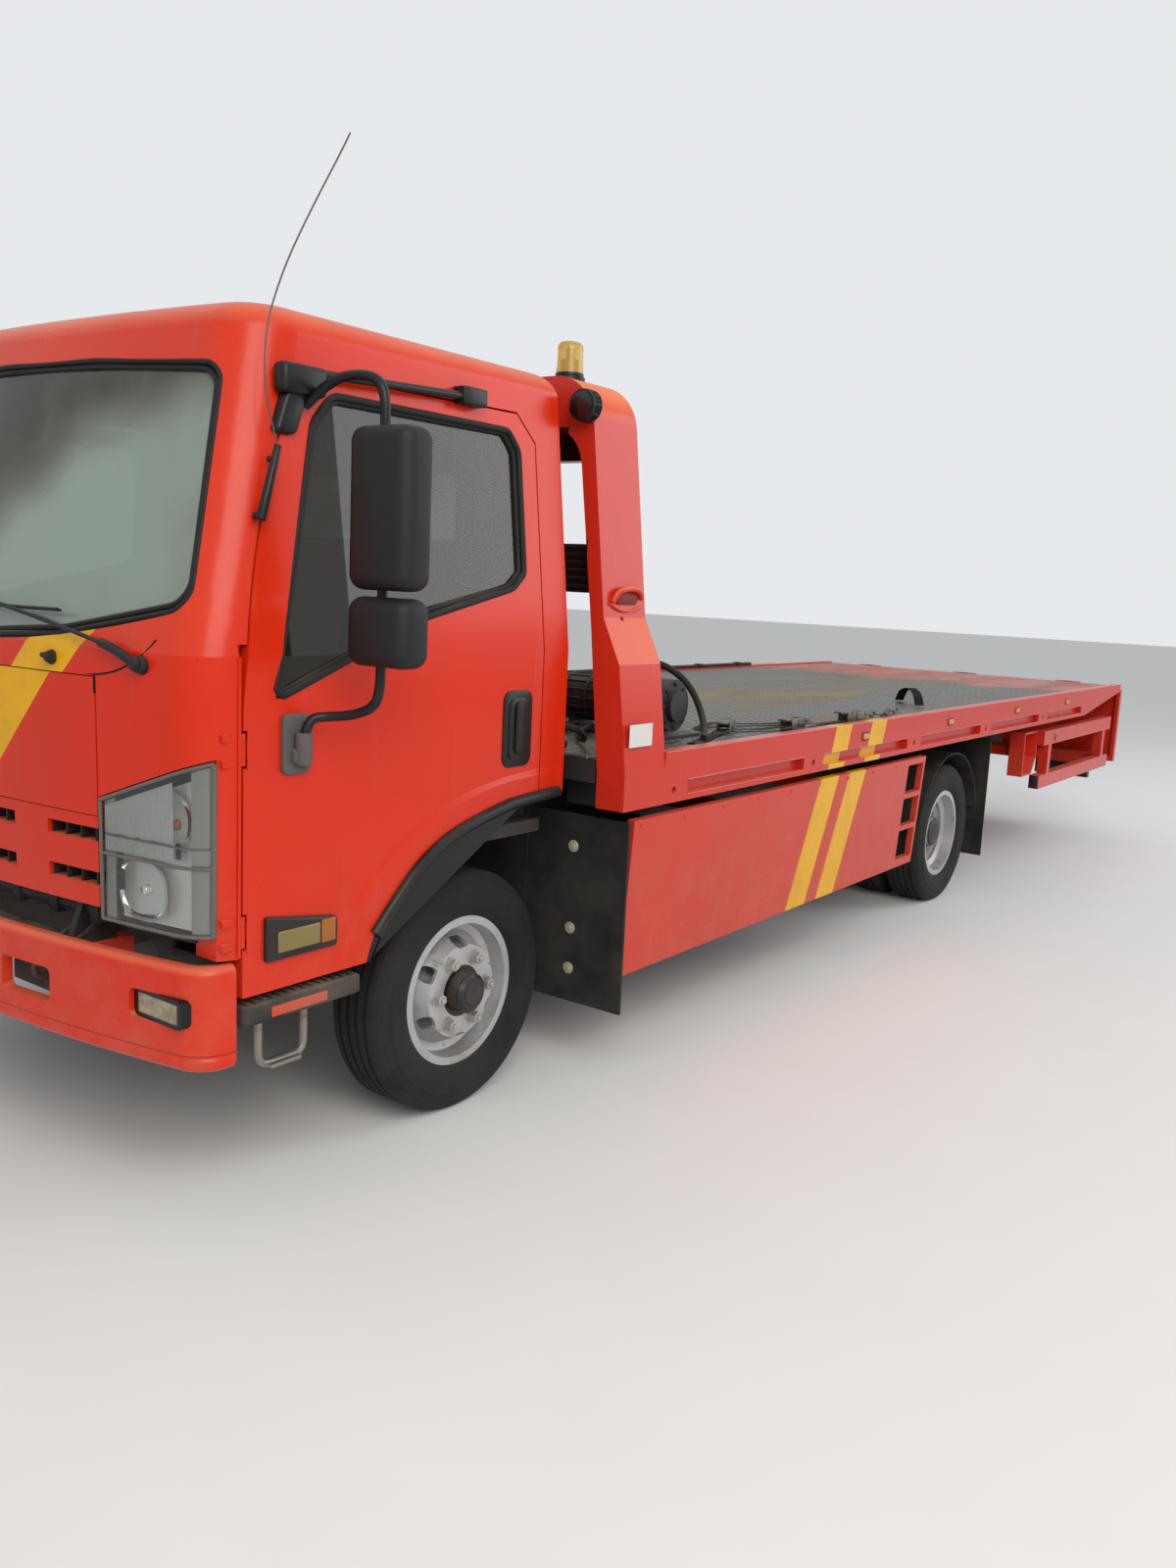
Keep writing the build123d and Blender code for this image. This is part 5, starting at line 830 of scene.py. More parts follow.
# Headlamps: one moulded unit let into each corner, with a smoky bowl behind clear plastic. The
# indicator is above, the headlamp below, and ribs are moulded into the lens between them.
HEADLAMP_LOW_Z = 0.752
HEADLAMP_SPLIT_Z = 0.925
HEADLAMP_INNER_Y = 0.650
HEADLAMP_BACK_X = 3.900
RIB_STEPS = 40
UPPER_FLUTES = 34
LOWER_FLUTES = 30
FLUTES_FROM_Y = 0.66
FLUTES_WIDE = 0.225
BOWL_STEPS = 32
BOWL_RINGS = 8


def lamp_top(y):
    """The headlamp's upper edge, which rises outwards."""
    return 1.060 + (y - 0.648) * (1.205 - 1.062) / 0.392


def lamp_line(z, inset, steps=RIB_STEPS):
    """Points round the cab's corner at a height, from the lamp's inner edge to its rear edge."""
    _, nose, bow, corner, centre_x, centre_y = cab_plan(z)
    edge = centre_y + corner * centre_y / (bow - corner)
    radius = corner - inset
    first = atan2(centre_y, sqrt((bow - corner) ** 2 - centre_y ** 2))
    back = HEADLAMP_BACK_X - centre_x
    last = min(pi / 2, atan2(sqrt(max(radius ** 2 - back ** 2, 0)), back))
    last = max(last, first + 0.2)
    front_steps = steps * 2 // 3
    points = []
    for step in range(front_steps):
        y = HEADLAMP_INNER_Y + inset * 0.6 + (edge - HEADLAMP_INNER_Y - inset * 0.6) * step / front_steps
        points.append(Vector((nose - bow + sqrt((bow - inset) ** 2 - y * y), y, z)))
    for step in range(steps - front_steps + 1):
        turn = first + (last - first) * step / (steps - front_steps)
        points.append(Vector((centre_x + radius * cos(turn), centre_y + radius * sin(turn), z)))
    return points


def lamp_sheet(low, high, inset, rows=8, margins=None):
    """A sheet that follows the lamp's front between two heights, its top cut to the slanted edge."""
    form = bmesh.new()
    grid = []
    for row in range(rows + 1):
        share = row / rows
        line = []
        for point in lamp_line((low + high) / 2, inset):
            top = min(high, lamp_top(point.y) - 0.004 - inset * 0.5)
            line.append(form.verts.new((point.x, point.y, low + (top - low) * share)))
        grid.append(line)
    for lower, upper in zip(grid, grid[1:]):
        for index, corners in enumerate(zip(lower, lower[1:], upper[1:], upper)):
            if not margins or index < margins[0] or index >= margins[1]:
                form.faces.new(corners)
    bmesh.ops.recalc_face_normals(form, faces=form.faces[:])
    return form


def thick(form, amount):
    """A sheet given its thickness, inwards."""
    bmesh.ops.solidify(form, geom=form.faces[:], thickness=amount)
    bmesh.ops.recalc_face_normals(form, faces=form.faces[:])
    return form


def bowl(middle, half_y, half_z, depth, square=0.6):
    """A reflector: a rounded bowl opening forwards, set behind the lens."""
    form = bmesh.new()
    rings = []
    power = square + (1 - square) * 0.5
    for ring in range(BOWL_RINGS + 1):
        share = ring / BOWL_RINGS
        grown = sin(share * pi / 2)
        line = []
        x = middle[0] - depth * cos(share * pi / 2)
        for step in range(BOWL_STEPS):
            turn = tau * step / BOWL_STEPS
            y = half_y * grown * abs(cos(turn)) ** power * (1 if cos(turn) > 0 else -1)
            z = half_z * grown * abs(sin(turn)) ** power * (1 if sin(turn) > 0 else -1)
            line.append(form.verts.new((x, middle[1] + y, middle[2] + z)))
        rings.append(line)
    for inner, outer in zip(rings, rings[1:]):
        for step in range(BOWL_STEPS):
            after = (step + 1) % BOWL_STEPS
            form.faces.new((inner[step], inner[after], outer[after], outer[step]))
    bmesh.ops.remove_doubles(form, verts=form.verts[:], dist=1e-5)
    bmesh.ops.recalc_face_normals(form, faces=form.faces[:])
    return form


lamp_housing = finish("lamp_housing", grime, metallic=0.35, Base=tone(208, 210, 208),
                      Dirt=tone(150, 144, 130), Dirt_Amount=0.2, Rust_Amount=0.0, Smooth=0.3)
lamp_chrome = finish("lamp_chrome", grime, metallic=1.0, Base=tone(225, 225, 222), Dirt_Amount=0.1,
                     Rust_Amount=0.0, Smooth=0.1)
lamp_lens = glass("lamp_lens", tone(246, 248, 247), 0.2, 1.0)
flute_glass = glass("flute_glass", tone(226, 230, 228), 0.1, 0.35)
amber_glass = glass("amber_glass", tone(236, 142, 30), 0.2, 0.6)
side_lens = glass("side_lens", tone(176, 154, 92), 0.3, 0.7)
smoky_band = finish("smoky_band", grime, metallic=0.3, Base=tone(138, 140, 134), Dirt_Amount=0.2,
                    Rust_Amount=0.0, Smooth=0.25)
smoky_edge = finish("smoky_edge", grime, coat=0.4, Base=tone(92, 90, 84), Dirt_Amount=0.3, Rust_Amount=0.0,
                    Smooth=0.3)
for side, word in ((1, "left"), (-1, "right")):
    back = [thick(lamp_sheet(HEADLAMP_LOW_Z + 0.008, 1.3, 0.044), 0.004)]
    surround = thick(lamp_sheet(HEADLAMP_LOW_Z + 0.008, 1.3, 0.010, margins=(4, 33)), 0.002)
    place("lamp_surround_" + word, "cab", "lamp_lens", smoky_band, surround, side=side)
    place("lamp_bowl_" + word, "cab", "lamp_lens", lamp_housing, *back, side=side)
    lens = [thick(lamp_sheet(HEADLAMP_SPLIT_Z + 0.006, 1.3, 0.004), 0.003),
            thick(lamp_sheet(HEADLAMP_LOW_Z + 0.006, HEADLAMP_SPLIT_Z - 0.004, 0.004), 0.003)]
    made = place("lamp_lens_" + word, "cab", "lamp_lens", lamp_lens, *lens, side=side)
    if side > 0:
        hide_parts("headlamps")
    bowls = [bowl((front_skin(0.845, 1.03).x - 0.028, 0.845, 1.030), 0.085, 0.072, 0.045, 0.9),
             bowl((front_skin(0.765, 0.842).x - 0.022, 0.765, 0.842), 0.092, 0.076, 0.040, 0.45)]
    bulb = front_skin(0.765, 0.842, 0.04)
    bowls.append(bar(bulb - Vector((0.03, 0, 0)), bulb + Vector((0.014, 0, 0)), 0.017, 0.012, edge=0.003))
    place("lamp_reflectors_" + word, "cab", "lamp_lens", lamp_chrome, *bowls, side=side)
    signal = front_skin(0.862, 1.018, 0.055)
    bulb = bar(signal - Vector((0.02, 0, 0)), signal + Vector((0.022, 0, 0)), 0.017, 0.013, edge=0.005)
    place("lamp_bulb_" + word, "cab", "amber_lens", amber_glass, bulb, side=side)
    ridge = lamp_line(HEADLAMP_SPLIT_Z, 0.001)
    shelf = [p + Vector((0, 0, 0.046)) for p in lamp_line(HEADLAMP_SPLIT_Z, 0.010)]
    foot = lamp_line(HEADLAMP_LOW_Z + 0.004, 0.001)
    crown = [Vector((p.x, p.y, lamp_top(p.y) - 0.003)) for p in lamp_line(1.1, 0.001)]
    ribs = [tube(ridge, 0.0045, fine=2), tube(shelf, 0.0035, fine=2), tube(foot, 0.005, fine=2),
            tube(crown, 0.005, fine=2)]
    for first, last, radius in ((foot[0], crown[0], 0.005), (foot[-1], crown[-1], 0.008)):
        ribs.append(tube([first, (first + last) / 2, last], radius))
    place("lamp_edges_" + word, "cab", "black_plastic", smoky_edge, *ribs, side=side)
    lugs = []
    for y in (0.695, 0.745, 0.800, 0.880):
        x = front_skin(y, 0.96).x
        lugs.append(slab((x - 0.034, y - 0.006, 0.936), (x - 0.026, y + 0.006, 0.976), 0.002))
    place("lamp_lugs_" + word, "cab", "black_plastic", black_trim, *lugs, side=side)
    flutes = []
    for step in range(UPPER_FLUTES):
        y = FLUTES_FROM_Y + FLUTES_WIDE * step / (UPPER_FLUTES - 1)
        top = min(1.2, lamp_top(y) - 0.02)
        flutes.append(bar(front_skin(y, HEADLAMP_SPLIT_Z + 0.052, 0.010), front_skin(y, top, 0.010), 0.0022,
                          sides=6))
    for step in range(LOWER_FLUTES):
        y = FLUTES_FROM_Y + FLUTES_WIDE * step / (LOWER_FLUTES - 1)
        flutes.append(bar(front_skin(y, HEADLAMP_SPLIT_Z + 0.008, 0.010),
                          front_skin(y, HEADLAMP_SPLIT_Z + 0.044, 0.010), 0.0026, sides=6))
    place("lamp_flutes_" + word, "cab", "lamp_lens", flute_glass, *flutes, side=side)
    filler = [thick(lamp_sheet(0.728, 0.748, 0.044), 0.02)]
    place("lamp_filler_" + word, "cab", "black_plastic", black_trim, *filler, side=side)

# Door furniture: recessed pull handles, side lamps, rubber arch lips, small covers on each door's front
# edge with a strip beside them, and the roof's marker stubs
side_black = finish("side_black", grime, coat=0.1, Base=tone(16, 16, 18), Dirt_Amount=0.2, Rust_Amount=0.0,
                    Smooth=0.42)
ARCH = ((3.395, 0.664), (3.330, 0.734), (3.217, 0.841), (3.056, 0.919), (2.835, 0.960), (2.701, 0.972),
        (2.600, 0.975))
LIP_R = 0.019
CAB_SIDE_Y = 1.010
for side, word in ((1, "left"), (-1, "right")):
    body = word + "_door"
    plate = [slab((2.746, 1.004, 1.078), (2.882, 1.014, 1.312), 0.003, 2, corner=0.032),
             slab((2.770, 1.010, 1.100), (2.858, 1.0175, 1.290), 0.003, 2, corner=0.024),
             slab((2.796, 1.014, 1.118), (2.832, 1.027, 1.278), 0.006, 3, corner=0.016),
             bar((2.848, 1.016, 1.118), (2.848, 1.0205, 1.118), 0.009, edge=0.002)]
    place("door_handle_" + word, body, "black_plastic", side_black, *plate, side=side)
    case = slab((3.540, 0.995, 0.672), (3.774, 1.026, 0.768), 0.009, 3)
    for vert in case.verts:
        if vert.co.z > 0.74:
            vert.co.z += (vert.co.x - 3.64) * 0.16
    place("side_lamp_case_" + word, body, "black_plastic", side_black, case, side=side)
    place("side_lamp_clear_" + word, body, "lamp_lens", side_lens,
          slab((3.604, 1.010, 0.692), (3.742, 1.031, 0.748), 0.005, 3), side=side)
    place("side_lamp_back_" + word, body, "lamp_lens", lamp_housing,
          slab((3.606, 1.010, 0.694), (3.740, 1.0275, 0.746), 0.002, 1), side=side)
    place("side_lamp_amber_" + word, body, "amber_lens", amber_glass,
          slab((3.552, 1.010, 0.690), (3.600, 1.031, 0.752), 0.005, 3), side=side)
    lip = [Vector((x, CAB_SIDE_Y + 0.002, z + 0.004)) for x, z in ARCH]
    place("arch_lip_door_" + word, body, "rubber", side_black, tube(lip[:5], LIP_R), side=side)
    place("arch_lip_cab_" + word, "cab", "rubber", side_black, tube(lip[4:], LIP_R), side=side)
    patches = [slab((3.812, CAB_SIDE_Y, z - 0.052), (3.826, CAB_SIDE_Y + 0.0013, z + 0.052), 0, 1)
               for z in (0.760, 1.210)]
    place("door_edge_covers_" + word, body, "body_red", cab_paint, *patches, side=side)
    strip = slab((3.8438, CAB_SIDE_Y, 0.700), (3.8520, CAB_SIDE_Y + 0.0012, BELT_Z), 0, 1)
    place("pillar_edge_strip_" + word, "cab", "body_red", cab_paint, strip, side=side)

stubs = [bar((x, y, 2.262), (x, y, 2.2865), 0.014, 0.010, edge=0.003)
         for x, y in ((3.245, 0.76), (3.146, 0.77), (2.896, 0.80))]
place("roof_stubs", "cab", "body_red", cab_paint, *pair(*stubs))

# Mirrors: two black plastic shells clamped to a bent steel tube, glass towards the rear. The tube stands
# in a cup on the pillar and in a foot on the door, and a stay runs along the roof's edge.
mirror_black = finish("mirror_black", grime, Base=tone(24, 26, 27), Dirt=tone(84, 78, 66), Dirt_Amount=0.3,
                      Rust_Amount=0.0, Grain_Size=520.0, Grain_Depth=0.7, Smooth=0.5)
bracket_grey = finish("bracket_grey", grime, Base=tone(88, 86, 84), Dirt=tone(130, 120, 106), Dirt_Amount=0.8,
                      Rust_Amount=0.15, Smooth=0.7)
mirror_glass = finish("mirror_glass", grime, metallic=1.0, Base=tone(190, 200, 205), Dirt_Amount=0.1,
                      Rust_Amount=0.0, Grain_Depth=0.0, Smooth=0.04)
MIRROR_X = 3.580
MIRROR_Y = 1.235
MIRROR_WIDTH = 0.203
CUP_TOP_Z = 2.090


def mirror_shell(low_z, high_z, width):
    """A mirror's shell: a soft rounded box with a bulging front."""
    form = slab((MIRROR_X - 0.040, MIRROR_Y - width / 2, low_z),
                (MIRROR_X + 0.068, MIRROR_Y + width / 2, high_z), 0.036, 6)
    for vert in form.verts:
        share = 1 - ((vert.co.y - MIRROR_Y) / (width / 2)) ** 2
        if vert.co.x > MIRROR_X:
            vert.co.x += 0.008 * share - 0.006
    return form


for side, word in ((1, "left"), (-1, "right")):
    body = word + "_door"
    shells = [mirror_shell(1.600, 1.980, MIRROR_WIDTH), mirror_shell(1.418, 1.584, MIRROR_WIDTH)]
    made = place("mirror_shells_" + word, body, "black_plastic", mirror_black, *shells, side=side)
    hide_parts("mirrors_" + word)
    glasses = [slab((MIRROR_X - 0.042, MIRROR_Y - 0.078, low), (MIRROR_X - 0.020, MIRROR_Y + 0.078, high),
                    0.002, 2, corner=0.016, along=0) for low, high in ((1.624, 1.956), (1.442, 1.560))]
    place("mirror_glasses_" + word, body, "brushed", mirror_glass, *glasses, side=side)
    arms = [tube([(3.610, 0.955, 2.035), (3.600, 1.010, 2.080), (3.590, 1.080, 2.105), (3.585, 1.170, 2.098),
                  (3.582, 1.200, 2.060), (3.580, 1.202, 1.99), (3.580, 1.202, 1.80), (3.580, 1.202, 1.45),
                  (3.580, 1.202, 1.365), (3.590, 1.195, 1.318), (3.600, 1.130, 1.292), (3.630, 1.070, 1.285),
                  (3.672, 1.045, 1.280), (3.680, 1.043, 1.225)], 0.0125),
            tube([(3.640, 0.962, 2.112), (3.30, 0.962, 2.128), (3.002, 0.958, 2.142)], 0.011),
            slab((3.560, 0.935, 2.055), (3.700, 0.985, 2.128), 0.016, 4),
            slab((2.955, 0.928, 2.118), (3.055, 0.975, 2.168), 0.007, 3),
            slab((3.600, 0.930, 1.960), (3.668, 0.972, CUP_TOP_Z), 0.014, 4)]
    for vert in arms[-1].verts:
        vert.co.x += (CUP_TOP_Z - vert.co.z) * 0.35
    place("mirror_arms_" + word, body, "black_plastic", side_black, *arms, side=side)
    foot = [slab((3.640, 1.006, 1.140), (3.725, 1.024, 1.290), 0.005, 3, corner=0.016),
            bar((3.680, 1.043, 1.165), (3.680, 1.043, 1.245), 0.021, edge=0.004),
            slab((3.650, 1.015, 1.168), (3.705, 1.045, 1.205), 0.008, 3)]
    for z in (1.162, 1.268):
        foot.append(bar((3.662, 1.022, z), (3.662, 1.031, z), 0.007, sides=6))
    place("mirror_foot_" + word, body, "black_plastic", bracket_grey, *foot, side=side)

# Antenna: a black plastic clip screwed to the left front pillar, and a thin steel whip, bent by use,
# that rises from it
whip_steel = finish("whip_steel", grime, metallic=0.8, Base=tone(96, 92, 84), Dirt_Amount=0.2,
                    Rust_Amount=0.2)
root = Vector((3.778, 1.000, 1.760))
tip = Vector((3.500, 0.985, 2.690))
run = (tip - root).normalized()
inwards = Vector((0, 0.022, 0))
grip = [bar(root - run * 0.01, root + run * 0.175, 0.0125, 0.009, edge=0.003),
        bar(root - inwards, root + Vector((0, 0.004, 0)), 0.010),
        bar(root + run * 0.14 - inwards, root + run * 0.14, 0.008)]
made = place("antenna_clip", "cab", "black_plastic", side_black, *grip)
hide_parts("antenna")
place("antenna_whip", "cab", "brushed", whip_steel,
      tube([root + run * 0.17, (3.752, 0.996, 1.990), (3.770, 0.995, 2.075), (3.762, 0.994, 2.196),
            (3.722, 0.992, 2.301), (3.680, 0.990, 2.386), (3.607, 0.988, 2.513), (3.532, 0.986, 2.636),
            (3.505, 0.985, 2.684)], 0.0022))

# Bumper: beige fog lamp lenses deep in their openings, and a cast towing eye behind each slot.
# Fog lamp blocks and rear lamp boxes are one carried-over piece.
FOG_Z = 0.572


def ring_section(ring_r, wire_r, points):
    """The round section of a ring or link, as a closed (radius, along) outline."""
    turns = [tau * k / points for k in range(points + 1)]
    return [(ring_r + wire_r * cos(turn), wire_r * sin(turn)) for turn in turns]


FOG_Y = 0.870
FOG_BLACK = tone(18, 18, 20)
fog_and_boxes = finish("fog_and_boxes", grime, Base=FOG_BLACK, Dirt_Amount=0.3, Rust_Amount=0.0, Smooth=0.3)
tree = fog_and_boxes.node_tree
shader = tree.nodes["Principled BSDF"]
where = shade(tree, "TexCoord").outputs["Object"]
place_at = shade(tree, "SeparateXYZ", {0: where})
haze = layer(tree, spans(tree, cloud(tree, where, 22.0, 5.0), 0.35, 0.7), tone(168, 156, 132),
             tone(126, 112, 92))
reach = calculate(tree, "ABSOLUTE", place_at.outputs["Y"])
away_y = calculate(tree, "ABSOLUTE", minus(tree, reach, FOG_Y))
away_z = calculate(tree, "ABSOLUTE", minus(tree, place_at.outputs["Z"], FOG_Z))
border = calculate(tree, "MAXIMUM", spans(tree, away_y, 0.072, 0.080), spans(tree, away_z, 0.022, 0.027))
haze = layer(tree, border, haze, FOG_BLACK)
ahead_mask = calculate(tree, "GREATER_THAN", place_at.outputs["X"], 0.0)
tree.links.new(layer(tree, ahead_mask, tree.nodes["effect"].outputs["Colour"], haze),
               shader.inputs["Base Color"])
dress(fog_and_boxes, "chassis_lamps")
backs = [slab((3.922, 0.130, 0.470), (3.930, 0.510, 0.645), 0.003),
         slab((3.928, 0.345, 0.500), (3.962, 0.440, 0.600), 0.008, 3)]
place("tow_eye_backs", "chassis", "chassis_black", chassis_black, *pair(*backs))
TOW_EYE_Z = 0.556
hooks = [turned(ring_section(0.026, 0.009, 10), (3.966, 0.350, TOW_EYE_Z), axis=(0.35, 1, 0), steps=28),
         bar((3.934, 0.362, TOW_EYE_Z), (3.952, 0.362, TOW_EYE_Z), 0.012, edge=0.002)]
place("tow_eyes", "chassis", "brushed", cast_grey, *pair(*hooks))

# Steps: ribbed treads on black brackets bolted to the frame, with a dull orange reflector along the
# outer edge. A bare steel foot loop hangs under each.
step_black = finish("step_black", grime, Base=tone(34, 34, 36), Dirt=tone(116, 106, 92), Dirt_Amount=0.8,
                    Rust_Amount=0.05, Grain_Size=500.0, Grain_Depth=0.6, Smooth=0.6)
loop_steel = finish("loop_steel", grime, metallic=0.75, Base=tone(150, 146, 138), Dirt_Amount=0.6,
                    Rust_Amount=0.5, Smooth=0.35)
reflector_orange = finish("reflector_orange", grime, coat=0.6, Base=tone(196, 66, 26), Dirt_Amount=0.5,
                          Rust_Amount=0.0, Grain_Size=900.0, Smooth=0.3)
TREAD_RIBS = 14
treads = [slab((3.436, 0.832, 0.511), (3.834, 1.007, 0.567), 0.012, 3),
          slab((3.535, 0.430, 0.530), (3.625, 0.850, 0.560), 0.004),
          slab((3.536, 0.425, 0.532), (3.624, 0.437, 0.640), 0.004)]
for step in range(TREAD_RIBS):
    x = 3.462 + 0.345 * step / (TREAD_RIBS - 1)
    treads.append(slab((x - 0.006, 0.85, 0.564), (x + 0.006, 0.998, 0.5725), 0.0025, 1))
made = place("step_treads", "chassis", "black_plastic", step_black, *pair(*treads))
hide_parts("cab_steps")
LOOP_Y = 0.950
loop_line = [(x, LOOP_Y, z) for x, z in (
    (3.740, 0.520), (3.740, 0.450), (3.740, 0.395), (3.725, 0.377), (3.690, 0.374), (3.640, 0.374),
    (3.605, 0.377), (3.590, 0.395), (3.590, 0.450), (3.590, 0.520))]
loops = [tube(loop_line, 0.0105), slab((3.615, 0.925, 0.366), (3.715, 0.975, 0.378), 0.004)]
place("step_loops", "chassis", "brushed", loop_steel, *pair(*loops))
reflector = slab((3.560, 1.003, 0.522), (3.745, 1.0105, 0.550), 0.003)
place("step_reflectors", "chassis", "red_lens", reflector_orange, *pair(reflector))

# Cab inside: padded seats in grey cloth with sewn channels, bolted to the cab's floor, a grained
# plastic dash with vents and a trim strip, the steering wheel, two sun visors and a mirror
seat_cloth = finish("seat_cloth", grime, Base=tone(74, 68, 68), Dirt=tone(116, 104, 94), Dirt_Amount=0.4,
                    Rust_Amount=0.0, Grain_Size=900.0, Grain_Depth=1.0, Smooth=0.85)
dash_grain = finish("dash_grain", grime, Base=tone(58, 56, 54), Dirt=tone(128, 118, 104), Dirt_Amount=0.5,
                    Rust_Amount=0.0, Grain_Size=600.0, Grain_Depth=0.8, Smooth=0.6)
dress(dash_grain, "dashboard", "steering_wheel")
SEAT_Z = 1.1253


def cushion(low, high, swell, channels, along):
    """A stuffed pad: rounded edges, a crowned face and sewn channels pulled into it."""
    form = slab(low, high, min(h - l for h, l in zip(high, low)) * 0.32, 4)
    bmesh.ops.subdivide_edges(form, edges=form.edges[:], cuts=3, use_grid_fill=True)
    middle = (Vector(high) + Vector(low)) / 2
    half = (Vector(high) - Vector(low)) / 2
    for vert in form.verts:
        share = Vector(((vert.co[k] - middle[k]) / half[k] for k in range(3)))
        crown = max(0, 1 - share.x ** 2) * max(0, 1 - share.y ** 2) * max(0, 1 - share.z ** 2) ** 0.5
        vert.co += (vert.co - middle).normalized() * swell * crown
        groove = cos((share[along] + 1) / 2 * pi * channels * 2)
        sunk = max(0.0, groove - 0.8) * 5 * 0.006
        vert.co -= (vert.co - middle).normalized() * sunk
    bmesh.ops.smooth_vert(form, verts=form.verts[:], factor=0.4, use_axis_x=True, use_axis_y=True,
                          use_axis_z=True)
    return form


seat_pads = []
# columns: middle y, width
for middle, width in ((0.560, 0.500), (-0.100, 0.380), (-0.600, 0.480)):
    left, right = middle + width / 2 - 0.006, middle - width / 2 + 0.006
    base = cushion((2.700, right, SEAT_Z + 0.004), (3.185, left, SEAT_Z + 0.130), 0.012, 4, 1)
    back = cushion((-0.040, right, 0.0), (0.050, left, 0.560), 0.010, 5, 2)
    lean = Matrix.Translation((2.735, 0, SEAT_Z + 0.085)) @ Matrix.Rotation(radians(-11), 4, "Y")
    bmesh.ops.transform(back, matrix=lean, verts=back.verts[:])
    seat_pads += [base, back]
made = place("seat_pads", "cab", "seat_fabric", seat_cloth, *seat_pads, angle=60)
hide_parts("seats")

mirror_stem = [bar((3.720, 0, 2.19), (3.700, 0, 2.10), 0.007),
               slab((3.684, -0.13, 2.03), (3.704, 0.13, 2.10), 0.009, 3)]
for y in (-0.55, 0.45):
    mirror_stem.append(slab((3.700, y - 0.19, 2.135), (3.745, y + 0.19, 2.160), 0.008, 3))
place("cab_mirror_and_visors", "cab", "black_plastic", dash_grain, *mirror_stem)
trim_strip = [slab((3.660, 0.30, 1.405), (3.672, 0.66, 1.425), 0.003)]
for y in (-0.75, -0.35, 0.05, 0.80):
    for step in range(5):
        x = 3.664 + 0.008 * step
        z = 1.345 + 0.011 * step
        trim_strip.append(slab((x, y - 0.07, z), (x + 0.012, y + 0.07, z + 0.004), 0.001, 1))
place("dash_vents", "cab", "black_plastic", black_trim, *trim_strip)

# Load bed: side rails, tail flap, guard and skirts, welded from pressed steel in the bed's own red, with
# two slanted stripes on each side. The beams and cross members under the deck are black, as painted shade
# beneath it.
BED_PAINT = tone(198, 46, 28)
BED_FADED_AND_LIT = tone(214, 96, 78)
bed_paint, rail_paint = (finish(name, aged_paint, Paint=BED_PAINT, Bleached=BED_FADED_AND_LIT, Bleaching=0.7,
                                Dust_Amount=0.45, Chips=1.0) for name in ("bed_paint", "rail_paint"))
skirt_paint = finish("skirt_paint", aged_paint, Paint=tone(200, 56, 38), Bleached=BED_FADED_AND_LIT,
                     Bleaching=0.6, Dust_Amount=0.3, Chips=0.7)
STRIPE_LEAN = -0.345
add_stripes(rail_paint, "X", ((1.0, 0.860, STRIPE_LEAN, 0.156), (1.0, 0.484, STRIPE_LEAN, 0.163)),
            outside_only=True)
add_stripes(skirt_paint, "X", ((0.6155, 1.017, STRIPE_LEAN, 0.174), (0.6155, 0.737, STRIPE_LEAN, 0.174)),
            outside_only=True)
dress(rail_paint, "bed_rails")
dress(skirt_paint, "side_skirts")
dress(bed_paint, "rear_guard", "tail_flap")
# Painted shade: the beams and cross members under the deck are dressed black to stand for the shade beneath
# it.
dress(chassis_black, "bed_beams", "bed_cross")

# Headboard: folded steel plate, welded to the bed's front end. Its columns are red like the bed, with painted
# orange sunlight on their upward faces, and the two bars between them are black.
# Painted sunlight: the lighter orange on the headboard's upward faces.
head_paint = finish("head_paint", aged_paint, Paint=BED_PAINT, Bleached=tone(236, 112, 52),
                    Bleaching=1.0, Dust_Amount=0.5, Chips=0.8)
tree = head_paint.node_tree
place_at = shade(tree, "SeparateXYZ", {0: shade(tree, "TexCoord").outputs["Object"]})
reach = calculate(tree, "ABSOLUTE", place_at.outputs["Y"])
mask = 0.0
# columns: lower and upper edge of a bar, half its length
for low, high, half in ((1.600, 1.780, 1.000), (2.030, 2.1295, 0.905)):
    inside = times(tree, calculate(tree, "GREATER_THAN", place_at.outputs["Z"], low),
                   calculate(tree, "LESS_THAN", place_at.outputs["Z"], high))
    inside = times(tree, inside, calculate(tree, "LESS_THAN", reach, half))
    mask = calculate(tree, "MAXIMUM", inside, mask)
shader = tree.nodes["Principled BSDF"]
under = shader.inputs["Base Color"].links[0].from_socket
tree.links.new(layer(tree, mask, under, tone(30, 30, 32)), shader.inputs["Base Color"])
dress(head_paint, "headboard")

# Tread plate: rolled steel with raised lozenges, worn to a grey shine, welded down as the deck. Tan dust
# lies in bands, rust has started, and the tail is reddened by old paint.
tread_plate = bpy.data.materials.new("tread_plate")
tread_plate.use_nodes = True
tree = tread_plate.node_tree
shader = tree.nodes["Principled BSDF"]
where = shade(tree, "TexCoord").outputs["Object"]
place_at = shade(tree, "SeparateXYZ", {0: where})
LOZENGE_PITCH = 0.056
ACROSS_LOZENGE = 5.5
ALONG_LOZENGE = 2.1
cell = []
parity = 0.0
for axis in ("X", "Y"):
    steps = calculate(tree, "DIVIDE", place_at.outputs[axis], LOZENGE_PITCH)
    parity = plus(tree, calculate(tree, "FLOOR", steps), parity)
    cell.append(calculate(tree, "ABSOLUTE", minus(tree, calculate(tree, "FRACT", steps), 0.5)))
odd = calculate(tree, "FLOORED_MODULO", parity, 2.0)
long_way = plus(tree, times(tree, cell[0], ACROSS_LOZENGE), times(tree, cell[1], ALONG_LOZENGE))
cross_way = plus(tree, times(tree, cell[0], ALONG_LOZENGE), times(tree, cell[1], ACROSS_LOZENGE))
away = plus(tree, times(tree, long_way, odd), times(tree, cross_way, minus(tree, 1.0, odd)))
lozenge = spans(tree, away, 1.05, 0.75)
bands = spans(tree, cloud(tree, where, 3.2, 6.0, (0.16, 1, 1)), 0.44, 0.66)
rusty = spans(tree, cloud(tree, where, 4.0, 9.0), 0.53, 0.68)
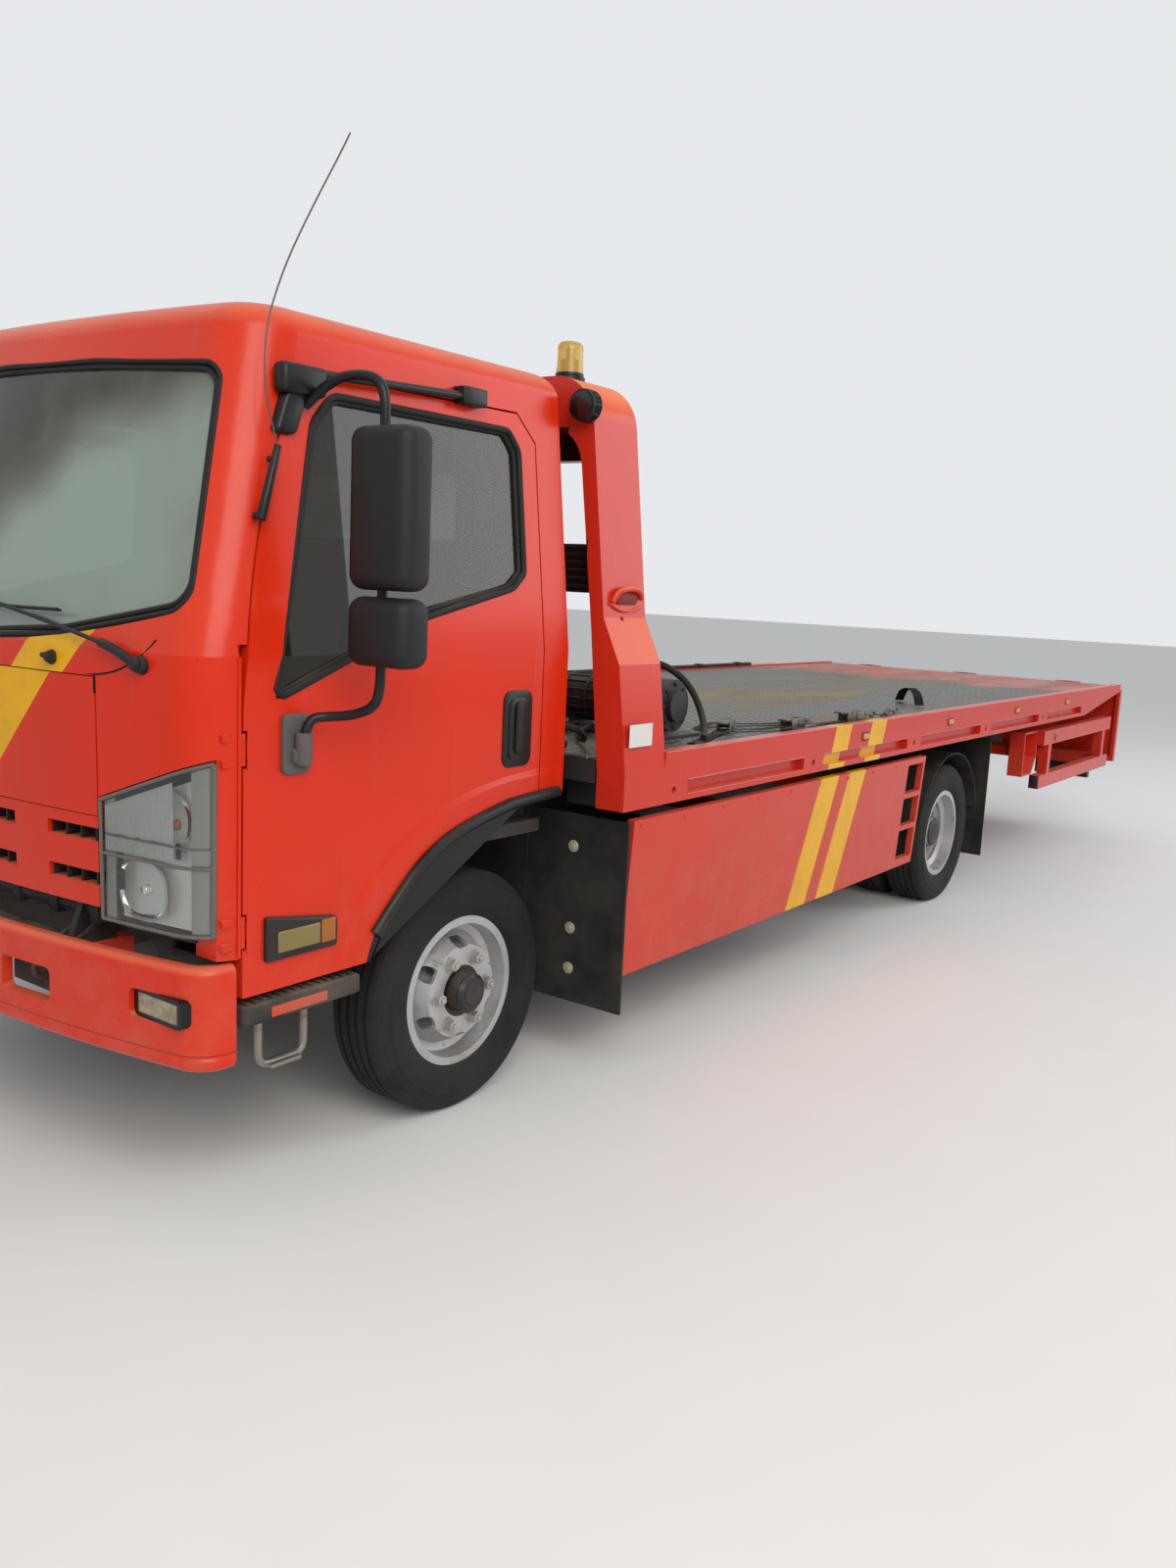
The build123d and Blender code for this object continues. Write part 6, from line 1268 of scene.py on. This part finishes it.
dark = spans(tree, cloud(tree, where, 0.9, 3.0), 0.56, 0.72)
colour = layer(tree, times(tree, lozenge, 0.9), tone(56, 57, 57), tone(156, 158, 157))
colour = layer(tree, times(tree, bands, 0.6), colour, tone(172, 152, 106))
colour = layer(tree, times(tree, rusty, 0.55), colour, tone(112, 78, 56))
colour = layer(tree, times(tree, dark, 0.65), colour, tone(38, 40, 42))
ragged = plus(tree, place_at.outputs["X"], times(tree, cloud(tree, where, 1.1, 8.0), 2.6))
tail = times(tree, spans(tree, ragged, -1.15, -1.75), spans(tree, cloud(tree, where, 6.0, 8.0), 0.25, 0.55))
colour = layer(tree, times(tree, tail, 0.85), colour, tone(196, 104, 88))
tree.links.new(colour, shader.inputs["Base Color"])
shader.inputs["Metallic"].default_value = 0.25
tree.links.new(plus(tree, 0.45, times(tree, bands, 0.3)), shader.inputs["Roughness"])
dents = times(tree, cloud(tree, where, 3.0, 3.0), 1.5)
bump = shade(tree, "Bump", {"Strength": 1.0, "Distance": 0.005, "Height": plus(tree, lozenge, dents)})
tree.links.new(bump.outputs[0], shader.inputs["Normal"])
dress(tread_plate, "deck_plate")

# Rail fittings: rolled ridges above and below each pocket and along the rail's top, and amber side
# markers on black feet
# columns: front and rear end of each pocket
POCKETS = ((2.090, 1.195), (1.020, 0.102), (-0.070, -0.936), (-1.108, -1.997), (-2.169, -2.960))
ridges = [bar((rear, 1.1885, z), (front, 1.1885, z), 0.0035, sides=8)
          for front, rear in POCKETS for z in (0.939, 0.991)]
ridges.append(bar((-3.05, 1.186, 1.093), (2.235, 1.186, 1.093), 0.005, sides=10))
place("rail_ridges", "bed", "body_red", rail_paint, *pair(*ridges))
MARKERS_X = (0.602, -0.459, -1.553, -2.590)
marker_amber = finish("marker_amber", grime, coat=0.5, Base=tone(222, 122, 30), Dirt_Amount=0.4,
                      Rust_Amount=0.0, Smooth=0.3)
markers = [slab((x - 0.030, 1.184, 1.022), (x + 0.030, 1.1985, 1.048), 0.006, 3) for x in MARKERS_X]
place("side_markers", "bed", "amber_lens", marker_amber, *pair(*markers))
feet = [slab((x - 0.038, 1.184, 1.015), (x + 0.038, 1.1925, 1.055), 0.003) for x in MARKERS_X]
place("marker_feet", "bed", "black_plastic", side_black, *pair(*feet))

# Rail edging: a black rubber bead clipped along the top of the far rail alone. The near rail's has
# worn away.
edging = [bar((-2.60, -1.150, 1.104), (2.22, -1.150, 1.104), 0.014, sides=12)]
for step in range(9):
    x = 2.0 - step * 0.55
    edging.append(slab((x - 0.03, -1.172, 1.094), (x + 0.03, -1.128, 1.122), 0.004))
place("rail_edging", "bed", "rubber", seal_rubber, *edging)

# Headboard lamps: an amber plastic beacon on a black ring, bolted to the left column's top, and a round
# finned work lamp with a glass face on each column
beacon_amber = glass("beacon_amber", tone(232, 196, 104), 0.5, 0.55)
BEACON_X = 2.360
BEACON_Y = 0.806
dome = turned(((0.0, 0.106), (0.020, 0.1055), (0.034, 0.102), (0.041, 0.094), (0.043, 0.080), (0.0415, 0.070),
               (0.0435, 0.060), (0.0420, 0.050), (0.0440, 0.040), (0.0425, 0.030), (0.0445, 0.020),
               (0.045, 0.0)), (BEACON_X, BEACON_Y, 2.312), axis=(0, 0, 1), steps=40)
place("beacon_dome", "bed", "amber_lens", beacon_amber, dome)
# columns: foot height, head height, radius, rounding of the edge
ring, collar, stem, bulb = [bar((BEACON_X, BEACON_Y, low), (BEACON_X, BEACON_Y, high), radius, edge=edge)
                            for low, high, radius, edge in (
                                (2.2902, 2.306, 0.052, 0.003), (2.304, 2.318, 0.047, 0.003),
                                (2.31, 2.36, 0.020, 0.0), (2.36, 2.395, 0.010, 0.0))]
place("beacon_ring", "bed", "black_plastic", side_black, ring, collar)
place("beacon_core", "bed", "brushed", galvanised, stem, bulb)
WORK_LAMP_Y = 0.984
WORK_LAMP_Z = 2.189
SCREWS = 10


def lamp_disc(rear, front, radius, edge=0.0):
    """A disc of the work lamp between two places along the truck."""
    return bar((rear, WORK_LAMP_Y, WORK_LAMP_Z), (front, WORK_LAMP_Y, WORK_LAMP_Z), radius, edge=edge)


fins = [lamp_disc(2.481 + step * 0.0075, 2.4845 + step * 0.0075, 0.050, 0.001) for step in range(5)]
fins += [lamp_disc(2.481, 2.522, 0.040), lamp_disc(2.516, 2.5265, 0.049, 0.002)]
for step in range(SCREWS):
    turn = tau * step / SCREWS
    y, z = WORK_LAMP_Y + 0.047 * cos(turn), WORK_LAMP_Z + 0.047 * sin(turn)
    fins.append(bar((2.482, y, z), (2.519, y, z), 0.0035, sides=8))
made = place("work_lamps", "bed", "black_plastic", side_black, *pair(*fins))
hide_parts("headboard_lamps")
place("work_lamp_faces", "bed", "lamp_lens", lamp_lens, *pair(lamp_disc(2.5235, 2.5275, 0.040, 0.001)))

# Headboard fittings: a blank white plate riveted to each column's foot, the columns' pressed recess
# with its lip, and six louvres on the dark bar. The recess and a small hole in it are darker red patches,
# painted shade.
blank_white = finish("blank_white", grime, Base=tone(214, 212, 206), Dirt=tone(150, 138, 120),
                     Dirt_Amount=0.6, Rust_Amount=0.1, Smooth=0.4)
plate = slab((2.336, 1.1885, 1.128), (2.466, 1.1925, 1.202), 0.001, 1)
place("blank_plates", "bed", "brushed", blank_white, *pair(plate))
lips = [tube([(2.262, 1.070, 1.600), (2.285, 1.082, 1.622), (2.330, 1.086, 1.630), (2.385, 1.086, 1.627),
              (2.420, 1.082, 1.612), (2.432, 1.076, 1.585)], 0.0095),
        tube([(2.266, 1.076, 1.572), (2.310, 1.078, 1.560), (2.360, 1.078, 1.556), (2.410, 1.078, 1.562),
              (2.446, 1.074, 1.580)], 0.0045),
        bar((2.240, 1.101, 1.470), (2.480, 1.101, 1.470), 0.002, sides=6)]
place("column_lips", "bed", "body_red", head_paint, *pair(*lips))
# Painted shade: the recess and its hole are flat patches in a darker red.
recess_shade_red = finish("recess_shade_red", grime, Base=tone(120, 26, 14), Rust_Amount=0.2)
recess_shades = [slab((2.292, 1.070, 1.578), (2.412, 1.0775, 1.616), 0.0025, 2, corner=0.017),
           bar((2.380, 1.074, 1.532), (2.380, 1.0815, 1.532), 0.007, edge=0.001)]
place("column_recess_shades", "bed", "body_red", recess_shade_red, *pair(*recess_shades))
LOUVRES = 6
LOUVRE_PITCH = 0.026
louvres = []
for step in range(LOUVRES):
    z = 1.625 + step * LOUVRE_PITCH
    louvres.append(slab((2.334, -0.985, z), (2.3475, 0.985, z + 0.012), 0.003, 1))
place("bar_louvres", "bed", "black_plastic", black_trim, *louvres)

# Winch: a wire rope wound on the drum, between a motor and a gear case in worn black cast iron with
# bolts and ribs. Two rubber hoses lead down to the deck.
winch_black = finish("winch_black", grime, metallic=0.3, Base=tone(44, 44, 46), Dirt_Amount=0.7,
                     Rust_Amount=0.6, Smooth=0.5)
rope_steel = finish("rope_steel", grime, metallic=0.85, Base=tone(120, 116, 108), Dirt_Amount=0.6,
                    Rust_Amount=0.7)
dress(winch_black, "winch_frame")
dress(rope_steel, "winch_drum")
WINCH = Vector((1.790, 0, 1.205))
ROPE_R = 0.0062
ROPE_PITCH = 0.0122
turns = [turned(ring_section(0.0815, ROPE_R, 8), (WINCH.x, -0.196 + ROPE_PITCH * step, WINCH.z), steps=36)
         for step in range(40)]
place("wound_rope", "drum", "brushed", rope_steel, *turns, angle=80)
casing = [bar((WINCH.x, y, WINCH.z), (WINCH.x, y + 0.012, WINCH.z), 0.093, edge=0.002, sides=40)
          for y in (0.352, 0.46, 0.57, 0.68, 0.775)]
# columns: how many round the motor, circle radius, inner y, outer y, radius, sides
for count, circle_r, inner, outer, radius, sides in ((16, 0.089, 0.36, 0.78, 0.0045, 8),
                                                     (8, 0.080, 0.928, 0.938, 0.008, 6)):
    for step in range(count):
        turn = tau * step / count
        x, z = WINCH.x + circle_r * cos(turn), WINCH.z + circle_r * sin(turn)
        casing.append(bar((x, inner, z), (x, outer, z), radius, sides=sides))
place("winch_casing", "bed", "chassis_black", winch_black, *casing)
WINCH_HOSE_R = 0.013
hoses = [tube([(1.77, 0.70, 1.29), (1.74, 0.72, 1.34), (1.70, 0.80, 1.36), (1.66, 0.92, 1.28),
               (1.70, 1.02, 1.13), (1.80, 1.07, 1.10)], WINCH_HOSE_R),
         tube([(1.81, 0.60, 1.29), (1.83, 0.62, 1.35), (1.90, 0.72, 1.35), (2.00, 0.86, 1.22),
               (2.06, 0.98, 1.12), (2.10, 1.04, 1.10)], WINCH_HOSE_R)]
place("winch_hoses", "bed", "rubber", hose_rubber, *hoses)

# Valve block low on the chassis by the bed's front corner, and the hydraulic fittings with their hoses,
# which stand on the bed beside the near column
valve_block = slab((2.262, 0.900, 0.905), (2.400, 1.060, 0.985), 0.006)
place("valve_block", "chassis", "chassis_black", winch_black, valve_block)
FITTING = Vector((2.440, 0.830, 1.095))
# columns: start and end from the fitting's foot, radius, radius at the end, sides, rounding of the edge
FITTINGS = (
    ((0, 0, 0), (0, 0, 0.150), 0.052, 0.048, 24, 0.006),
    ((0, 0, 0.150), (0, 0, 0.176), 0.036, 0.036, 6, 0.003),
    ((0, 0, 0.176), (0, 0, 0.225), 0.016, 0.016, 24, 0.002),
    ((0, -0.034, 0.225), (0, 0.034, 0.225), 0.010, 0.010, 24, 0.002),
    ((0.012, -0.145, 0.0), (0.012, -0.145, 0.115), 0.058, 0.050, 24, 0.008),
    ((0.012, -0.145, 0.115), (0.012, -0.145, 0.150), 0.022, 0.022, 6, 0.002))
cluster = [bar(FITTING + Vector(start), FITTING + Vector(end), radius, tip, sides, edge)
           for start, end, radius, tip, sides, edge in FITTINGS]
cluster.append(slab(FITTING + Vector((-0.050, -0.21, -0.006)), FITTING + Vector((0.062, 0.06, 0.020)), 0.005))
place("bed_fittings", "bed", "chassis_black", winch_black, *cluster)
# each hose's points from the fitting's foot
HOSE_LINES = (
    ((0.0, 0.05, 0.06), (0.0, 0.11, 0.08), (-0.06, 0.12, 0.04), (-0.14, 0.06, 0.012), (-0.30, -0.10, 0.010),
     (-0.55, -0.20, 0.012)),
    ((0.0, -0.05, 0.10), (-0.02, -0.09, 0.16), (-0.05, -0.14, 0.15), (-0.12, -0.18, 0.03),
     (-0.34, -0.22, 0.010), (-0.56, -0.28, 0.012)))
fitting_hoses = [tube([FITTING + Vector(point) for point in line], 0.011) for line in HOSE_LINES]
place("fitting_hoses", "bed", "rubber", hose_rubber, *fitting_hoses)

# Tie-down gear on the bed: yellow-grey webbing laid along the rail, a dark loop, ratchets and a chain
webbing = finish("webbing", grime, Base=tone(112, 104, 84), Dirt=tone(60, 56, 50), Dirt_Amount=0.9,
                 Rust_Amount=0.0, Grain_Size=700.0, Grain_Depth=1.0, Smooth=0.9)
dark_webbing = finish("dark_webbing", grime, Base=tone(42, 40, 40), Dirt=tone(104, 96, 84), Dirt_Amount=0.5,
                      Rust_Amount=0.0, Grain_Size=700.0, Grain_Depth=1.0, Smooth=0.9)
PLATE_Z = 1.085
STRAP_WIDTH = 0.045
STRAP_STEPS = 6
STRAP_SMOOTHINGS = 6


def strap(points, width, thickness=0.003):
    """A flat webbing strap that follows a few points and lies on its face."""
    form = bmesh.new()
    line = [Vector(first).lerp(Vector(second), step / STRAP_STEPS)
            for first, second in zip(points, points[1:]) for step in range(STRAP_STEPS)]
    line.append(Vector(points[-1]))
    for _ in range(STRAP_SMOOTHINGS):
        line = line[:1] + [(a + b * 2 + c) / 4 for a, b, c in zip(line, line[1:], line[2:])] + line[-1:]
    rows = []
    for index, point in enumerate(line):
        run = (line[min(index + 1, len(line) - 1)] - line[max(index - 1, 0)]).normalized()
        out = run.cross(Vector((0, 0, 1))).normalized() * width / 2
        rows.append((form.verts.new(point - out), form.verts.new(point + out)))
    for (a, b), (c, d) in zip(rows, rows[1:]):
        form.faces.new((a, b, d, c))
    return thick(form, thickness)


low_z = PLATE_Z + 0.006
straps = [strap([(1.93, 1.10, low_z), (1.60, 1.00, low_z), (1.42, 0.93, low_z + 0.004), (1.26, 1.03, low_z),
                 (1.06, 1.09, low_z + 0.02), (0.80, 1.07, low_z), (0.51, 1.08, low_z)], STRAP_WIDTH),
          strap([(1.50, 0.86, low_z), (1.30, 0.80, low_z + 0.01), (1.12, 0.90, low_z),
                 (0.95, 0.98, low_z + 0.004), (0.70, 0.95, low_z)], STRAP_WIDTH)]
place("tie_straps", "bed", "seat_fabric", webbing, *straps)
loop = [strap([(-0.80, 0.77, low_z), (-0.77, 0.80, low_z + 0.06), (-0.70, 0.87, low_z + 0.085),
               (-0.62, 0.94, low_z + 0.06), (-0.585, 0.97, low_z)], 0.05, 0.004)]
place("strap_loop", "bed", "seat_fabric", dark_webbing, *loop)
gear = []
CHAIN_LINKS = 16
LINK_PITCH = 0.030
# columns: place along, place across, turn
for x, y, turn in ((1.413, 0.941, 0.4), (0.513, 1.084, -0.2), (1.060, 1.060, 0.1)):
    ratchet = [slab((-0.075, -0.028, 0.0), (0.075, -0.022, 0.045), 0.006),
               slab((-0.075, 0.022, 0.0), (0.075, 0.028, 0.045), 0.006),
               bar((0, -0.032, 0.026), (0, 0.032, 0.026), 0.013),
               bar((-0.06, -0.03, 0.036), (-0.06, 0.03, 0.036), 0.008),
               slab((0.03, -0.022, 0.038), (0.12, 0.022, 0.046), 0.003)]
    seat = Matrix.Translation((x, y, PLATE_Z + 0.002)) @ Matrix.Rotation(turn, 4, "Z")
    for form in ratchet:
        bmesh.ops.transform(form, matrix=seat, verts=form.verts[:])
    gear += ratchet
for step in range(CHAIN_LINKS):
    x = 0.42 - step * LINK_PITCH
    y = 1.075 - 0.03 * sin(step * 0.6)
    link = turned(ring_section(0.017, 0.0045, 8), (0, 0, 0), axis=(0, 0, 1), steps=16)
    bmesh.ops.scale(link, vec=(1.25, 0.8, 1), verts=link.verts[:])
    flip = Matrix.Rotation(radians(75 if step % 2 else 10), 4, "X")
    bmesh.ops.transform(link, matrix=Matrix.Translation((x, y, PLATE_Z + 0.019)) @ flip, verts=link.verts[:])
    gear.append(link)
place("ratchets_and_chain", "bed", "brushed", rope_steel, *gear)

# Flaps and mudguards: thick black rubber, dusty at the foot, held by three large washers each. An inner
# flap hangs beside the front ones, and a frame is moulded into the rear ones.
flap_rubber = finish("flap_rubber", grime, Base=tone(26, 26, 27), Dirt=tone(84, 80, 72), Dirt_Amount=0.55,
                     Rust_Amount=0.0, Grain_Size=60.0, Grain_Depth=0.6, Smooth=0.75)
dress(flap_rubber, "mudguards")
washer_zinc = finish("washer_zinc", grime, metallic=0.4, Base=tone(196, 192, 164), Dirt_Amount=0.4,
                     Rust_Amount=0.2)
FLAP_X = 2.440
# columns: radius, height over the flap
WASHER = ((0.0, 0.0), (0.019, 0.0), (0.0205, 0.002), (0.019, 0.004), (0.009, 0.0045), (0.008, 0.009),
          (0.0, 0.0095))
washers = [turned(WASHER, (FLAP_X - 0.001, 0.970, z), axis=(1, 0, 0), steps=24)
           for z in (0.770, 0.487, 0.346)]
place("flap_washers", "chassis", "brushed", washer_zinc, *pair(*washers))
INNER_FLAP_TOP = 0.930
INNER_FLAP_Y = 0.450
inner_flap = slab((FLAP_X - 0.0035, INNER_FLAP_Y, 0.420), (FLAP_X + 0.0035, 0.775, INNER_FLAP_TOP), 0.002, 1,
                  corner=0.03, along=0)
bmesh.ops.subdivide_edges(inner_flap, edges=inner_flap.edges[:], cuts=2, use_grid_fill=True)
for vert in inner_flap.verts:
    vert.co.x -= 0.010 * sin((INNER_FLAP_TOP - vert.co.z) * 4.0) * sin((vert.co.y - INNER_FLAP_Y) * 9.0)
place("inner_flaps", "chassis", "rubber", flap_rubber, *pair(inner_flap))
pressed_frame = rounded_outline(((0.74, 0.33), (1.02, 0.33), (1.02, 0.56), (0.74, 0.56)), 0.02, 3)
pressed_line = tube([(-1.3662, y, z) for y, z in pressed_frame], 0.003, closed=True, fine=1)
place("flap_frames", "chassis", "rubber", flap_rubber, *pair(pressed_line))

# Rear guard: black plastic end caps, a round reflector on each side, and the clusters of three tail
# lamps with ribbed lenses, which hang under the lower bar
caps = [slab((rear, 1.122, 0.506), (front, 1.178, 0.584), 0.003)
        for rear, front in ((-3.8605, -3.8495), (-2.1715, -2.1640))]
place("guard_caps", "chassis", "black_plastic", side_black, *pair(*caps))
reflector_brown = finish("reflector_brown", grime, coat=0.5, Base=tone(122, 54, 34), Dirt_Amount=0.6,
                         Rust_Amount=0.0, Grain_Size=900.0, Smooth=0.3)
reflector = turned(((0.0, 0.008), (0.026, 0.006), (0.031, 0.003), (0.033, 0.0), (0.033, -0.004)),
                   (-2.46, 1.1805, 0.82), steps=32)
place("guard_reflectors", "chassis", "red_lens", reflector_brown, *pair(reflector))
TAIL_LAMP_X = -3.863
# columns: name, slot, colour, inner y, outer y
CLUSTER = (
    ("amber", "amber_lens", tone(224, 122, 22), 0.945, 1.060),
    ("red", "red_lens", tone(168, 16, 14), 0.820, 0.940),
    ("clear", "lamp_lens", tone(206, 204, 198), 0.700, 0.815))
for name, slot, colour, inner, outer in CLUSTER:
    lens = finish(name + "_lens", grime, coat=0.7, Base=colour, Dirt_Amount=0.5, Rust_Amount=0.0,
                  Grain_Size=300.0, Smooth=0.2)
    forms = [slab((TAIL_LAMP_X - 0.008, inner, 0.412), (TAIL_LAMP_X + 0.02, outer, 0.494), 0.006, 3)]
    for step in range(7):
        z = 0.422 + step * 0.0105
        forms.append(bar((TAIL_LAMP_X - 0.0085, inner + 0.006, z), (TAIL_LAMP_X - 0.0085, outer - 0.006, z),
                         0.0018, sides=6))
    place("tail_lamp_" + name, "chassis", slot, lens, *pair(*forms))

# Skirts: a row of round rivets along each upper edge, which hold the skirt to its brackets and are
# painted over with it
RIVETS = 9
RIVET_PITCH = 0.27
rivets = []
for step in range(RIVETS):
    x = 2.36 - step * RIVET_PITCH
    rivets.append(bar((x, 1.1855, 0.862), (x, 1.1905, 0.862), 0.008, 0.006, sides=12))
place("skirt_rivets", "chassis", "body_red", skirt_paint, *pair(*rivets))
